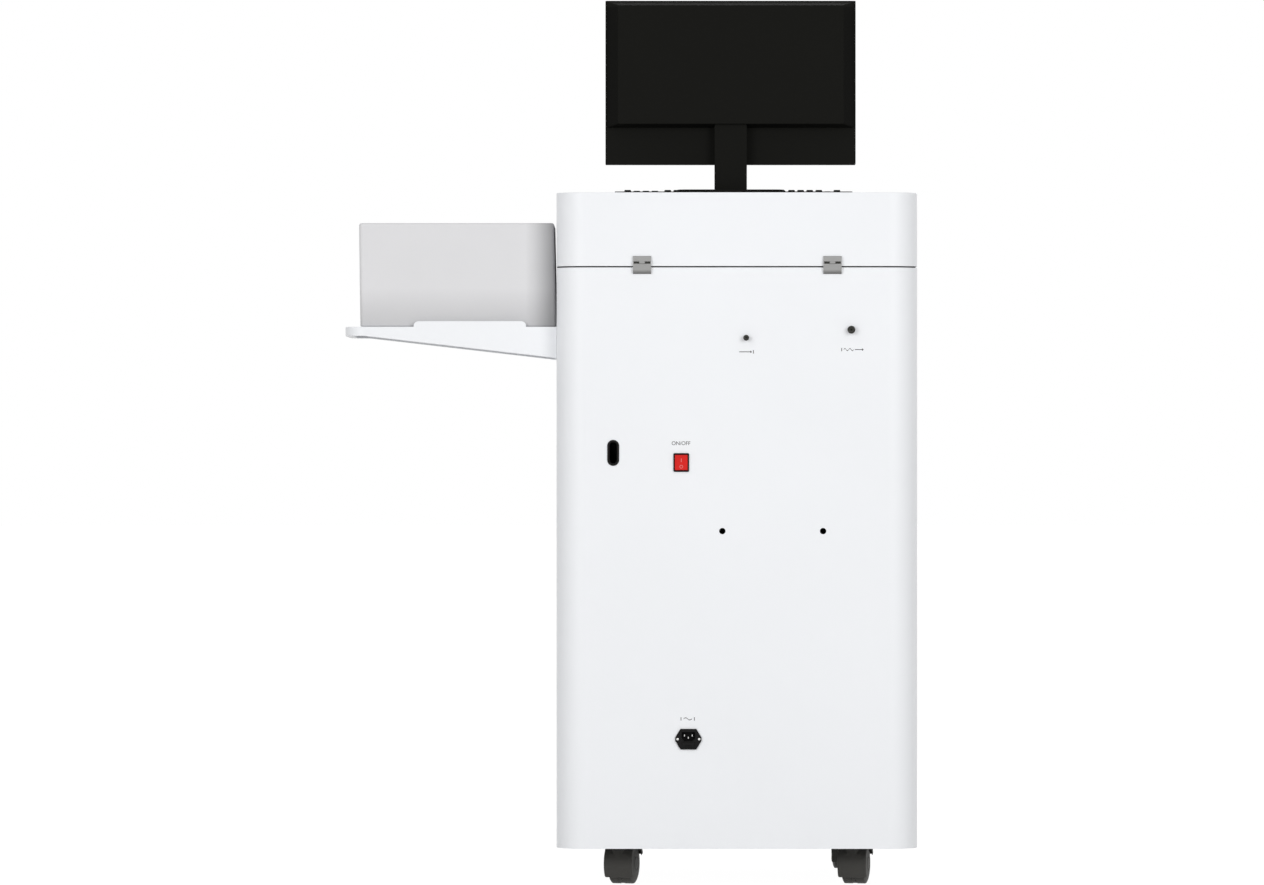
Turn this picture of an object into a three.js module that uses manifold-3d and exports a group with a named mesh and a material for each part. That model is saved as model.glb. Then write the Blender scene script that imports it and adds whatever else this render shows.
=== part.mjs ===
// Optical emission spectrometer: a floor-standing instrument cabinet on castors, with a hinged lid that
// carries a monitor and a keyboard, a recess with a spark stand, and a side shelf that carries a printer.
// Lengths are in millimetres and angles in degrees. The floor is Z = 0, +X is the operator's right,
// +Y is the rear and +Z is up. Sizes across the cabinet are counted from its own centre line, and heights
// on it from a datum level that the castors hold a little above the floor.
import * as THREE from "three";
import { mergeVertices } from "three/addons/utils/BufferGeometryUtils.js";
import Module from "manifold-3d";

const wasm = await Module();
wasm.setup();

// Fits, and how finely round shapes are drawn
const seatGap = 0.3;
const runningGap = 0.4;
const overrun = 12;
const cornerSteps = 4;
const fineSteps = 4;
const smallSteps = 2;
const largeSides = 20;
const roundSides = 16;
const smallSides = 10;

// Cabinet shell: rear wall and sides in one wrap that turns in at the front and ends in a hem
const cabinetWidth = 650;
const cabinetDepth = 730;
const cabinetFoot = 63;
const cabinetTop = 1107.1;
const cabinetCorner = 55;
const cabinetSheet = 2;
const frontReturn = 8;
const hemDepth = 20;
const accessHoleRadius = 5.65;
const accessHoleHeight = 633.6;
const accessHoleXs = [26.8, -154.1];

// Base frame: a plate on a ring of beams, with two cross beams for the castors and a kick plate in front
const frameBeamHeight = 40;
const frameBeamWidth = 40;
const castorBeamWidth = 74;
const framePlate = 3;
const kickTop = 110;
const kickSheet = 2;

// Castors: a hood round a pair of wheels on one axle, with a swivel stem
const datumLift = 6.5;
const castorSideInset = 114;
const castorEndInset = 110;
const castorHeight = 106.5;
const castorTrail = 25;
const wheelRadius = 37.5;
const wheelWidth = 21;
const wheelShoulder = 5;
const shoulderTurnShare = 0.29;
const wheelDish = 2.5;
const wheelHubRadius = 13;
const wheelRimRadius = 28;
const wheelSides = 18;
const axleRadius = 5;
const webHalf = 2.8;
const webRadius = 34;
const wheelWebGap = 0.7;
const hoodGap = 2;
const hoodWall = 2.5;
const hoodLip = 1.8;
const hoodLipDepth = 7;
const lipGap = 0.7;
const hoodFrontAngle = -24;
const hoodRearAngle = 150;
const stemRadius = 5.5;
const stemLength = 28;
const stemBossRadius = 15;
const castorHeadings = { rear_left: -12, rear_right: -16, front_left: 2, front_right: -4 };

// Inner deck under the optics, and the equipment shelf in the lower cabinet
const panelFoot = 813;
const panelSheet = 2;
const deckSheet = 3;
const deckFlange = 20;
const deckCablePort = 30;
const deckCablePortX = -215;
const deckCablePortInset = 65;
const shelfHeight = 470;
const shelfSheet = 2;
const shelfFlange = 25;
const shelfFrontInset = 65;
const shelfRearInset = 60;

// Front door, its pivot pins and its quarter-turn latch
const doorGap = 2;
const doorSheet = 2;
const doorDepth = 20;
const doorPivotInset = 12;
const doorPivotDepth = 6;
const doorPinRadius = 3;
const doorPinReach = 3.6;
const latchX = 225;
const latchHeight = 480;
const latchDiscRadius = 14;
const latchDisc = 2.5;
const latchShaftRadius = 7;
const latchGripLength = 34;
const latchGripWidth = 8;
const latchGripDepth = 12;
const latchCamReach = 42;
const latchCamWidth = 14;
const latchCamSheet = 3;
const latchCamGap = 1.5;

// Upper front panel, the recess behind it and the two push buttons
const nicheWidth = 410;
const nicheCeiling = 1088;
const nicheDepth = 215;
const nicheSheet = 2;
const buttonX = 232;
const startButtonDown = 107.1;
const stopButtonPitch = 45;
const buttonRadius = 8;
const buttonReach = 5;
const buttonCollarRadius = 11;
const buttonCollarProud = 1.5;
const buttonCollarLength = 14;
const buttonCrown = 1.2;

// Spark stand in the recess: body, plate, electrode and sample clamp
const standWidth = 110;
const standSetback = 75;
const standHeight = 94;
const standCorner = 10;
const sparkSetback = 143;
const chamberRadius = 15;
const chamberDepth = 60;
const lightBoreRadius = 8;
const lightBelowTop = 12;
const flushKnobRadius = 12;
const flushKnobReach = 10;
const platePlusX = 5;
const plateSetback = 81;
const plateLength = 124;
const plateThickness = 8;
const plateCorner = 9;
const plateBevel = 1.5;
const sparkHoleRadius = 6.5;
const electrodeRadius = 3;
const electrodeTipLength = 5;
const electrodeTipDepth = 4.6;
const electrodeHolderRadius = 9;
const electrodeHolderHeight = 14;
const clampPostX = 80;
const clampPostRadius = 8;
const clampPostFlange = 15;
const clampPostFlangeHeight = 6;
const clampPostTop = 1040;
const clampCollarRadius = 12;
const clampCollarHeight = 8;
const clampArmFoot = 985;
const clampArmHeight = 20;
const clampArmHubRadius = 15;
const clampArmEndRadius = 12;
const clampRodRadius = 5;
const clampRodTop = 1052;
const clampKnobRadius = 12;
const clampKnobHeight = 20;
const clampPadRadius = 7;
const clampPadHeight = 8;
const clampPadAbovePlate = 26;

// Optics chamber: a cast box with chamfered rear corners, its cover, the grating and the detector bar
const opticsHalfWidth = 270;
const snoutLength = 27.7;
const opticsRearInset = 75;
const opticsHeight = 240;
const opticsChamfer = 70;
const opticsWall = 14;
const snoutRadius = 15;
const coverOverhang = 8;
const coverThickness = 12;
const coverRibHeight = 10;
const coverRibWidth = 8;
const coverRibCount = 4;
const coverRibInset = 40;
const gratingRadius = 30;
const gratingThickness = 12;
const gratingAxisAboveFloor = 72;
const gratingRearInset = 55;
const gratingBlockWidth = 44;
const gratingBlockDepth = 26;
const detectorArcRadius = 170;
const detectorBarThickness = 14;
const detectorBarHeight = 95;
const detectorHalfAngle = 52;
const detectorFacing = -90;
const detectorArcCentreIn = 230;

// Electrical modules: covers that stand open side down on the frame plate and on the equipment shelf
const moduleSheet = 2;
const ventCount = 7;
const ventHeightShare = 0.5;
const ventWidthShare = 0.055;
const moduleSetback = 100;
const sourceBoxXs = [20, 280];
const sourceBoxLength = 395;
const sourceBoxHeight = 270;
const powerSupplyXs = [-280, -20];
const powerSupplyLength = 365;
const powerSupplyHeight = 160;
const computerXs = [-255, 175];
const computerFrontInset = 45;
const computerRearInset = 110;
const computerHeight = 175;

// Argon manifold: a valve block on a bracket, behind the argon inlet
const manifoldWidth = 90;
const manifoldHeight = 46;
const manifoldDepth = 38;
const manifoldBracketWidth = 44;
const manifoldBracketSheet = 3;
const valveCount = 3;
const valvePitch = 28;
const valveRadius = 11;
const valveHeight = 34;

// Gas fittings: bulkhead unions with an open bore
const argonX = -16;
const argonDown = 126.3;
const argonCollarRadius = 5.15;
const argonNoseRadius = 4.6;
const argonBoreRadius = 3.5;
const argonNutRadius = 8;
const wasteX = -204.9;
const wasteDown = 111.8;
const wasteCollarRadius = 7;
const wasteNoseRadius = 6.2;
const wasteBoreRadius = 4.6;
const wasteNutRadius = 10;
const fittingNeckWall = 1;
const fittingCollar = 3.5;
const fittingNose = 9;
const fittingNut = 7;
const fittingTail = 12;
const fittingBoreDepth = 16;

// Cable slot with its grommet
const slotX = 222.8;
const slotHeight = 774.1;
const grommetWidth = 21.3;
const grommetHeight = 46.6;
const grommetRim = 4;
const grommetLipOverlap = 1.8;
const grommetFlange = 1.6;

// Mains rocker switch
const rockerX = 100.6;
const rockerHeight = 756.8;
const bezelWidth = 28;
const bezelHeight = 33.5;
const bezelCorner = 2;
const bezelProud = 2.3;
const bezelLedge = 1;
const rockerBodyDepth = 26;
const rockerWidth = 22.7;
const rockerRadius = 14.1;
const rockerTravel = 14;
const rockerPivotDepth = 1;
const rockerRise = 4.4;
const rockerUnder = 4;
const rockerCavityDepth = 12;
const rockerCavityHeight = 29;
const rockerPinRadius = 1.6;
const rockerPinReach = 0.7;

// Power inlet: hexagonal flange, plug cavity with three pins, and a fuse drawer below
const inletX = 87.8;
const inletHeight = 260.1;
const inletFlangeHeight = 37;
const inletFlangeTop = 28.4;
const inletFlangeTip = 6;
const inletFlange = 3;
const inletBodyWidth = 27.6;
const inletBodyHeight = 32.4;
const inletBodyDepth = 30;
const inletScrewSpan = 38.8;
const inletScrewRadius = 1.7;
const inletScrewToTip = 4.1;
const plugWidth = 24.2;
const plugHeight = 16.6;
const plugChamfer = 5;
const plugCentreUp = 4.4;
const plugDepth = 18;
const pinLength = 13;
const pinWidth = 2;
const pinHeight = 4;
const pinPitch = 14;
const pinUp = 2;
const fuseWidth = 22.4;
const fuseHeight = 8.6;
const fuseCentreDown = 9.8;
const fuseDepth = 22;
const fuseWall = 1;
const fusePocketDepth = 6.2;
const fusePocketBack = 7;
const fuseGripHeight = 2;
const fuseGripDepth = 1.5;

// Lid: a deep cover open below, and its two rear hinges
const lidGap = 2.4;
const lidTop = 1242;
const lidEdge = 3;
const hingeX = 171;
const hingeWidth = 32.6;
const hingeFoot = 1095.3;
const hingeHead = 1127.6;
const hingeAxisHeight = 1115.6;
const hingeAxisOut = 3.2;
const hingePinRadius = 1.6;
const hingeSlot = 4;
const hingeTongue = 10;
const hingeKnuckleRadius = 2.9;
const hingeEar = 1.5;
const hingeLeaf = 5;
const hingeBend = 1121.4;
const hingeBendStep = 0.8;
const hingeFootRoll = 7.2;
const hingeRollSteps = 5;

// Side shelf: tray with a tapering skirt, an inward return under it and a raised stop tab
const trayLength = 382;
const trayTop = 1001.6;
const trayRearInset = 65;
const trayDepth = 320;
const traySheet = 2;
const trayCorner = 35;
const traySkirtRoot = 57;
const traySkirtTip = 17;
const trayReturn = 12;
const trayFlange = 2.5;
const stopTabStart = 55;
const stopTabEnd = 258;
const stopTabHeight = 10;
const stopTabRound = 9;

// Printer on the shelf: body, hinged top cover, front tray flap and button
const printerStart = 4.5;
const printerWidth = 352.3;
const printerDepth = 240;
const printerHeight = 187;
const printerBehindGap = 8;
const printerCorner = 5;
const printerEdge = 3;
const printerCoverInset = 16;
const printerCoverFoot = 160;
const printerCoverGap = 0.8;
const printerCoverLength = 176;
const printerCoverBarrel = 5.5;
const printerCoverNose = 10;
const printerCoverPinRadius = 2;
const printerPinReach = 5;
const printerBay = 24;
const printerBayDepth = 95;
const printerBayLength = 130;
const printerScoopWidth = 226;
const printerScoopStart = 34;
const printerScoopLength = 112;
const printerScoopDepth = 17;
const paperWidth = 230;
const paperFoot = 16;
const paperHeight = 26;
const paperDepth = 150;
const flapWidth = 252;
const flapHeight = 78;
const flapThickness = 6;
const flapFoot = 10;
const flapPinRadius = 1.6;
const flapGripWidth = 60;
const flapGripHeight = 12;
const flapGripDepth = 2.5;
const printerButtonRadius = 5;
const printerButtonInset = 8;
const printerButtonBack = 34;
const printerButtonLength = 6;
const printerButtonProud = 1.2;
const printerButtonTravel = 1.2;

// Keyboard: a tilted tray with its keys, and two flip feet
const keyboardX = -1;
const keyboardWidth = 444;
const keyboardDepth = 150;
const keyboardTray = 11;
const keyboardFrontInset = 8;
const keyboardRise = 9;
const keyboardEdge = 3;
const keyPitch = 17;
const keyRowPitch = 19;
const keyGap = 2.6;
const keyHeight = 4.2;
const keyTaper = 1.6;
const keySink = 1;
const keyGroupGap = 15;
const keyFrontMargin = 12;
const functionRowGap = 9;
const functionKeyGap = 8.5;
const keyWell = 2.5;
const keyStem = 3;
const keyStemGap = 0.6;
const keyboardFootX = 190;
const keyboardFootInset = 16;
const keyboardFootWidth = 18;
const keyboardFootThickness = 4;
const keyboardFootBarrel = 2.2;
const keyboardFootPocket = 6;
const keyboardFootPinRadius = 1.2;
const keyboardFootPinReach = 2;

// Monitor: rear cover with a raised box, bezel, screen, button, and a stand with a tilting head
const monitorX = 8;
const monitorWidth = 459.5;
const monitorHeight = 301;
const monitorFoot = 1303;
const monitorRearInset = 290;
const monitorCorner = 5;
const raisedBoxDepth = 31;
const raisedFaceWidth = 412.7;
const raisedFaceHeight = 217;
const raisedFaceTopInset = 10;
const raisedBevelSide = 21;
const raisedBevelTop = 8;
const raisedBevelFoot = 6.4;
const coverShellDepth = 18;
const bezelDepth = 8;
const bezelBorder = 14;
const bezelChin = 22;
const screenThickness = 6;
const screenRecess = 1.5;
const monitorButtonRadius = 4;
const monitorButtonSide = 30;
const monitorButtonProud = 1;
const monitorButtonTravel = 0.8;
const columnWidth = 59.4;
const columnThickness = 13;
const columnInFront = 15;
const columnHeadRadius = 9;
const columnHeadUp = 9;
const columnPinRadius = 4;
const columnPinReach = 6;
const tiltPocketSide = 1;
const tiltPocketDepth = 28.5;
const tiltPocketWall = 2;
const tiltPocketUp = 13;
const standBaseWidth = 201;
const standBaseDepth = 170;
const standBaseThickness = 10;
const standBaseCorner = 18;
const standBaseBevel = 5;
const standBaseBehindColumn = 42;

// Places that follow from the sizes above
const sideX = cabinetWidth / 2;
const rearY = cabinetDepth / 2;
const frontY = -cabinetDepth / 2;
const innerSideX = sideX - cabinetSheet;
const innerRearY = rearY - cabinetSheet;
const openingHalf = sideX - cabinetCorner - frontReturn;
const hemInnerY = frontY + hemDepth;
const carcassInset = cabinetSheet + seatGap;
const carcassFrontY = hemInnerY + seatGap;
const castorX = sideX - castorSideInset;
const castorY = rearY - castorEndInset;
const frameFoot = castorHeight - datumLift + seatGap;
const frameTop = frameFoot + frameBeamHeight + framePlate;
const doorFoot = kickTop + doorGap;
const doorTop = panelFoot - doorGap;
const doorHalf = openingHalf - doorGap;
const doorPivotX = doorPivotInset - doorHalf;
const doorPivotY = frontY + doorPivotDepth;
const doorSweep = Math.hypot(doorPivotInset, doorDepth - doorPivotDepth) + runningGap;
const deckFoot = panelFoot + panelSheet + seatGap;
const deckTop = deckFoot + deckSheet;
const deckCablePortY = rearY - deckCablePortInset;
const shelfFrontY = frontY + shelfFrontInset;
const shelfRearY = rearY - shelfRearInset;
const startButtonHeight = cabinetTop - startButtonDown;
const stopButtonHeight = startButtonHeight - stopButtonPitch;
const nicheFloor = deckTop + seatGap + nicheSheet;
const nicheHalf = nicheWidth / 2;
const nicheFrontY = frontY + panelSheet + seatGap;
const nicheBackY = nicheFrontY + nicheDepth;
const sparkY = frontY + sparkSetback;
const standFrontY = frontY + standSetback;
const standFoot = nicheFloor + seatGap;
const standTop = standFoot + standHeight;
const plateFrontY = frontY + plateSetback;
const plateRearY = plateFrontY + plateLength;
const plateFoot = standTop + seatGap;
const plateTop = plateFoot + plateThickness;
const lightHeight = standTop - lightBelowTop;
const opticsFrontY = nicheBackY + snoutLength;
const opticsRearY = rearY - opticsRearInset;
const gratingY = opticsRearY - gratingRearInset;
const detectorArcCentreY = opticsFrontY + detectorArcCentreIn;
const opticsFoot = deckTop + seatGap;
const opticsTop = opticsFoot + opticsHeight;
const opticsFloor = opticsFoot + opticsWall;
const sourceBoxYs = [frontY + moduleSetback, frontY + moduleSetback + sourceBoxLength];
const powerSupplyYs = [frontY + moduleSetback, frontY + moduleSetback + powerSupplyLength];
const computerYs = [shelfFrontY + computerFrontInset, shelfRearY - computerRearInset];
const lidFoot = cabinetTop + lidGap;
const axleHeight = wheelRadius * Math.cos(Math.PI / wheelSides);
const wheelInner = webHalf + wheelWebGap;
const wheelOuter = wheelInner + wheelWidth;
const hoodInner = wheelRadius + hoodGap;
const hoodOuter = hoodInner + hoodWall;
const hoodHalf = wheelOuter + lipGap + hoodLip;
const outerFaceY = rearY + seatGap;
const inletFlangeWidth = inletScrewSpan + 2 * inletScrewToTip;
const argonHeight = cabinetTop - argonDown;
const wasteHeight = cabinetTop - wasteDown;
const fittingTailY = innerRearY - seatGap - fittingNut - fittingTail;
const manifoldRearY = fittingTailY - seatGap;
const manifoldFrontY = manifoldRearY - manifoldDepth;
const trayRearY = rearY - trayRearInset;
const trayFrontY = trayRearY - trayDepth;
const trayRootX = sideX + seatGap;
const trayTipX = sideX + trayLength;
const printerFoot = trayTop + seatGap;
const printerTop = printerFoot + printerHeight;
const printerRearY = trayRearY - traySheet - printerBehindGap;
const printerFrontY = printerRearY - printerDepth;
const printerX0 = sideX + printerStart;
const printerX1 = printerX0 + printerWidth;
const printerMidX = (printerX0 + printerX1) / 2;
const flapAxisY = printerFrontY + flapThickness / 2 + seatGap;
const flapAxisHeight = printerFoot + flapFoot + flapThickness / 2;
const coverAxisY = printerFrontY + printerCoverLength - printerCoverBarrel;
const coverAxisHeight = printerTop - printerCoverBarrel;
const lidSurface = lidTop + seatGap;
const keyboardFrontY = frontY + keyboardFrontInset;
const monitorRearY = rearY - monitorRearInset;
const columnY = monitorRearY - columnInFront;
const baseTop = lidSurface + standBaseThickness;
const monitorTop = monitorFoot + monitorHeight;
const raisedTop = monitorTop - raisedFaceTopInset;
const raisedFoot = raisedTop - raisedFaceHeight;
const coverRearY = monitorRearY - raisedBoxDepth;
const coverFrontY = coverRearY - coverShellDepth;
const bezelRearY = coverFrontY - seatGap;
const bezelFrontY = bezelRearY - bezelDepth;
const tiltAxisHeight = raisedFoot + columnHeadUp;

// Finishes
const whitePaint = { color: 0xf0f2f5, roughness: 0.42, metalness: 0.05 };
const greyPaint = { color: 0x9aa0a6, roughness: 0.5, metalness: 0.15 };
const zinc = { color: 0xb4b8bc, roughness: 0.38, metalness: 0.85 };
const satinSteel = { color: 0xa9abac, roughness: 0.35, metalness: 0.7 };
const castAluminium = { color: 0xb9bcbf, roughness: 0.55, metalness: 0.8 };
const darkMetal = { color: 0x3c3c37, roughness: 0.4, metalness: 0.6 };
const brass = { color: 0xb08d4a, roughness: 0.35, metalness: 0.9 };
const darkPlastic = { color: 0x3a3935, roughness: 0.6, metalness: 0 };
const blackPlastic = { color: 0x1e1e1b, roughness: 0.55, metalness: 0 };
const blackRubber = { color: 0x161616, roughness: 0.8, metalness: 0 };
const redPlastic = { color: 0xe1322d, roughness: 0.35, metalness: 0 };
const greenPlastic = { color: 0x2f9a4a, roughness: 0.35, metalness: 0 };
const lightGreyPlastic = { color: 0xdddddf, roughness: 0.5, metalness: 0 };
const screenGlass = { color: 0x0c0d10, roughness: 0.12, metalness: 0 };
const gratingGlass = { color: 0xa7b6c4, roughness: 0.08, metalness: 0.9 };

const degree = Math.PI / 180;
const quarterTurn = Math.PI / 2;
const halfTurn = Math.PI;
const threeQuarterTurn = quarterTurn + halfTurn;

// Turn a closed geometry into a solid that can be joined and cut
function solid(geometry) {
  const bare = geometry.clone();
  bare.deleteAttribute("normal");
  bare.deleteAttribute("uv");
  const merged = mergeVertices(bare);
  const order = merged.index.array;
  const kept = [];
  for (let i = 0; i < order.length; i += 3) {
    const [a, b, c] = [order[i], order[i + 1], order[i + 2]];
    if (a !== b && b !== c && c !== a) kept.push(a, b, c);
  }
  const vertProperties = new Float32Array(merged.getAttribute("position").array);
  return new wasm.Manifold(new wasm.Mesh({ numProp: 3, vertProperties, triVerts: new Uint32Array(kept) }));
}

// Give a solid back as a geometry with flat facets
function geometryOf(body) {
  const { vertProperties, triVerts } = body.getMesh();
  const indexed = new THREE.BufferGeometry();
  indexed.setAttribute("position", new THREE.BufferAttribute(vertProperties, 3));
  indexed.setIndex(new THREE.BufferAttribute(triVerts, 1));
  const geometry = indexed.toNonIndexed();
  geometry.computeVertexNormals();
  return geometry;
}

function join(first, ...others) {
  return others.reduce((whole, other) => whole.add(other), first);
}

function cut(first, ...tools) {
  return tools.reduce((whole, tool) => whole.subtract(tool), first);
}

// Spans: a length laid out from a middle, and one laid out from a start
function about(middle, length) {
  return [middle - length / 2, middle + length / 2];
}

function from(start, length) {
  return [start, start + length];
}

function block([x0, x1], [y0, y1], [z0, z1]) {
  const box = new THREE.BoxGeometry(x1 - x0, y1 - y0, z1 - z0);
  box.translate((x0 + x1) / 2, (y0 + y1) / 2, (z0 + z1) / 2);
  return solid(box);
}

// Turn a geometry drawn along Z so that it runs along another axis: X keeps (Y, Z) as its drawing plane
// and Y keeps (X, Z)
function alongAxis(geometry, axis, start, end) {
  if (axis === "X") {
    const x = new THREE.Vector3(1, 0, 0);
    const y = new THREE.Vector3(0, 1, 0);
    const z = new THREE.Vector3(0, 0, 1);
    geometry.applyMatrix4(new THREE.Matrix4().makeBasis(y, z, x));
    geometry.translate(start, 0, 0);
  } else if (axis === "Y") {
    geometry.rotateX(quarterTurn);
    geometry.translate(0, end, 0);
  } else {
    geometry.translate(0, 0, start);
  }
  return geometry;
}

// A shape of the drawing plane, extruded along an axis between two places
function prism(axis, shape, [start, end], steps = smallSteps) {
  const geometry = new THREE.ExtrudeGeometry(shape, {
    depth: end - start,
    curveSegments: steps,
    bevelEnabled: false,
  });
  return solid(alongAxis(geometry, axis, start, end));
}

// A slab along Z whose upper edge is bevelled
function roundedSlab(shape, [foot, top], edge, steps = smallSteps) {
  const geometry = new THREE.ExtrudeGeometry(shape, {
    depth: top - foot,
    curveSegments: steps,
    bevelSize: edge,
    bevelOffset: -edge,
    bevelThickness: edge,
    bevelSegments: 1,
  });
  geometry.translate(0, 0, foot - edge);
  geometry.computeBoundingBox();
  const { min, max } = geometry.boundingBox;
  const below = block([min.x - overrun, max.x + overrun], [min.y - overrun, max.y + overrun],
    [min.z - overrun, foot]);
  return cut(solid(geometry), below);
}

// A round bar or cone along an axis; its place is given in the other two axes, in X, Y, Z order
function rod(axis, radius, [u, v], [start, end], sides = roundSides, endRadius = radius) {
  const geometry = new THREE.CylinderGeometry(endRadius, radius, end - start, sides);
  const middle = (start + end) / 2;
  if (axis === "X") {
    geometry.rotateZ(-quarterTurn);
    geometry.translate(middle, u, v);
  } else if (axis === "Y") {
    geometry.translate(u, middle, v);
  } else {
    geometry.rotateX(quarterTurn);
    geometry.translate(u, v, middle);
  }
  return solid(geometry);
}

// A turned piece: its profile holds radius and place along the axis, from the lower end to the upper;
// a phase turns its facets about the axis
function turned(axis, profile, [u, v], start, sides = roundSides, phase = 0) {
  const points = profile.map(([radius, place]) => new THREE.Vector2(radius, place));
  const geometry = new THREE.LatheGeometry(points, sides, phase);
  if (axis === "X") {
    geometry.rotateZ(-quarterTurn);
    geometry.translate(start, u, v);
  } else if (axis === "Y") {
    geometry.translate(u, start, v);
  } else {
    geometry.rotateX(quarterTurn);
    geometry.translate(u, v, start);
  }
  return solid(geometry);
}

function polygon(points) {
  return new THREE.Shape(points.map(([u, v]) => new THREE.Vector2(u, v)));
}

function roundedRect([u0, u1], [v0, v1], radius) {
  const shape = new THREE.Shape();
  shape.absarc(u1 - radius, v0 + radius, radius, -quarterTurn, 0);
  shape.absarc(u1 - radius, v1 - radius, radius, 0, quarterTurn);
  shape.absarc(u0 + radius, v1 - radius, radius, quarterTurn, halfTurn);
  shape.absarc(u0 + radius, v0 + radius, radius, halfTurn, threeQuarterTurn);
  shape.closePath();
  return shape;
}

// A ring sector, or with no inner radius a sector, between two angles
function sector([u, v], inner, outer, startAngle, endAngle) {
  const shape = new THREE.Shape();
  shape.absarc(u, v, outer, startAngle * degree, endAngle * degree);
  if (inner > 0) {
    shape.absarc(u, v, inner, endAngle * degree, startAngle * degree, true);
  } else {
    shape.lineTo(u, v);
  }
  shape.closePath();
  return shape;
}

// The cabinet's plan outline, drawn in from its outer face
function cabinetPlan(inset) {
  const width = cabinetWidth - 2 * inset;
  const depth = cabinetDepth - 2 * inset;
  return roundedRect(about(0, width), about(0, depth), cabinetCorner - inset);
}

// A carcass plate follows the inside of the shell and stops behind the front hems
function carcassPlate(inset, zs) {
  const plan = prism("Z", cabinetPlan(inset), zs, cornerSteps);
  const front = block(about(0, cabinetWidth), [frontY - overrun, carcassFrontY],
    [zs[0] - overrun, zs[1] + overrun]);
  return cut(plan, front);
}

const spectrometer = new THREE.Group();
spectrometer.name = "optical_emission_spectrometer";

// A named mesh in its group; a piece that is built round its own origin is placed by position and tilt
function piece(group, name, body, finish, { position = [0, 0, 0], tilt = 0 } = {}) {
  const mesh = new THREE.Mesh(geometryOf(body), new THREE.MeshStandardMaterial(finish));
  mesh.name = name;
  mesh.position.set(...position);
  mesh.rotation.x = tilt * degree;
  group.add(mesh);
  return mesh;
}

// Cabinet shell

function grommetOutline(inset) {
  const width = grommetWidth - 2 * inset;
  const height = grommetHeight - 2 * inset;
  return roundedRect(about(slotX, width), about(slotHeight, height), width / 2);
}

function rearCutouts() {
  const through = [innerRearY - overrun, rearY + overrun];
  const neck = (radius) => radius + fittingNeckWall + runningGap;
  const bezelBody = rockerBodyOutline();
  const cutouts = [
    rod("Y", neck(argonBoreRadius), [argonX, argonHeight], through, smallSides),
    rod("Y", neck(wasteBoreRadius), [wasteX, wasteHeight], through, smallSides),
    prism("Y", grommetOutline(grommetLipOverlap - runningGap), through),
    block(about(rockerX, bezelBody.width + 2 * seatGap), through,
      about(rockerHeight, bezelBody.height + 2 * seatGap)),
    block(about(inletX, inletBodyWidth + 2 * seatGap), through,
      about(inletHeight, inletBodyHeight + 2 * seatGap)),
  ];
  for (const x of accessHoleXs) {
    cutouts.push(rod("Y", accessHoleRadius, [x, accessHoleHeight], through, roundSides));
  }
  return cutouts;
}

function cabinetShell() {
  const height = [cabinetFoot, cabinetTop];
  const cleared = [cabinetFoot - overrun, cabinetTop + overrun];
  const wrap = cut(
    prism("Z", cabinetPlan(0), height, cornerSteps),
    prism("Z", cabinetPlan(cabinetSheet), cleared, cornerSteps),
    block(about(0, 2 * openingHalf), [frontY - overrun, hemInnerY], cleared),
  );
  const hems = [-1, 1].map((side) => {
    const edge = side * openingHalf;
    const back = side * (openingHalf + cabinetSheet);
    return block([Math.min(edge, back), Math.max(edge, back)], [frontY, hemInnerY], height);
  });
  return cut(join(wrap, ...hems), ...rearCutouts());
}

// Base frame

function baseFrame() {
  const beams = [frameFoot, frameTop - framePlate];
  const doorRoom = block(about(0, cabinetWidth), [frontY, doorPivotY + doorSweep],
    [kickTop, frameTop + overrun]);
  const ring = cut(
    carcassPlate(carcassInset, beams),
    block(about(0, 2 * (innerSideX - seatGap - frameBeamWidth)),
      [carcassFrontY + frameBeamWidth, innerRearY - seatGap - frameBeamWidth],
      [frameFoot - overrun, frameTop + overrun]),
  );
  const crossBeams = [-castorY, castorY].map((y) =>
    block(about(0, 2 * (innerSideX - seatGap - frameBeamWidth / 2)), about(y, castorBeamWidth), beams));
  const plate = carcassPlate(carcassInset, [frameTop - framePlate - seatGap / 2, frameTop]);
  const carcass = cut(join(ring, ...crossBeams, plate), doorRoom);
  const kickHalf = openingHalf - seatGap;
  const kickFace = block(about(0, 2 * kickHalf), from(frontY, kickSheet), [cabinetFoot, kickTop]);
  const kickShelf = block(about(0, 2 * kickHalf), [frontY, carcassFrontY + frameBeamWidth / 2],
    [kickTop - kickSheet, kickTop]);
  const stems = [];
  for (const x of [-castorX, castorX]) {
    for (const y of [-castorY, castorY]) {
      const bore = [frameFoot - overrun, castorHeight - datumLift + stemLength + runningGap];
      stems.push(rod("Z", stemRadius + runningGap, [x, y], bore, smallSides));
    }
  }
  const pinHole = rod("Z", doorPinRadius + runningGap, [doorPivotX, doorPivotY],
    [kickTop - overrun, kickTop + overrun], smallSides);
  return cut(join(carcass, kickFace, kickShelf), ...stems, pinHole);
}

// Castors, drawn round the swivel axis with the wheels trailing toward -Y

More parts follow.
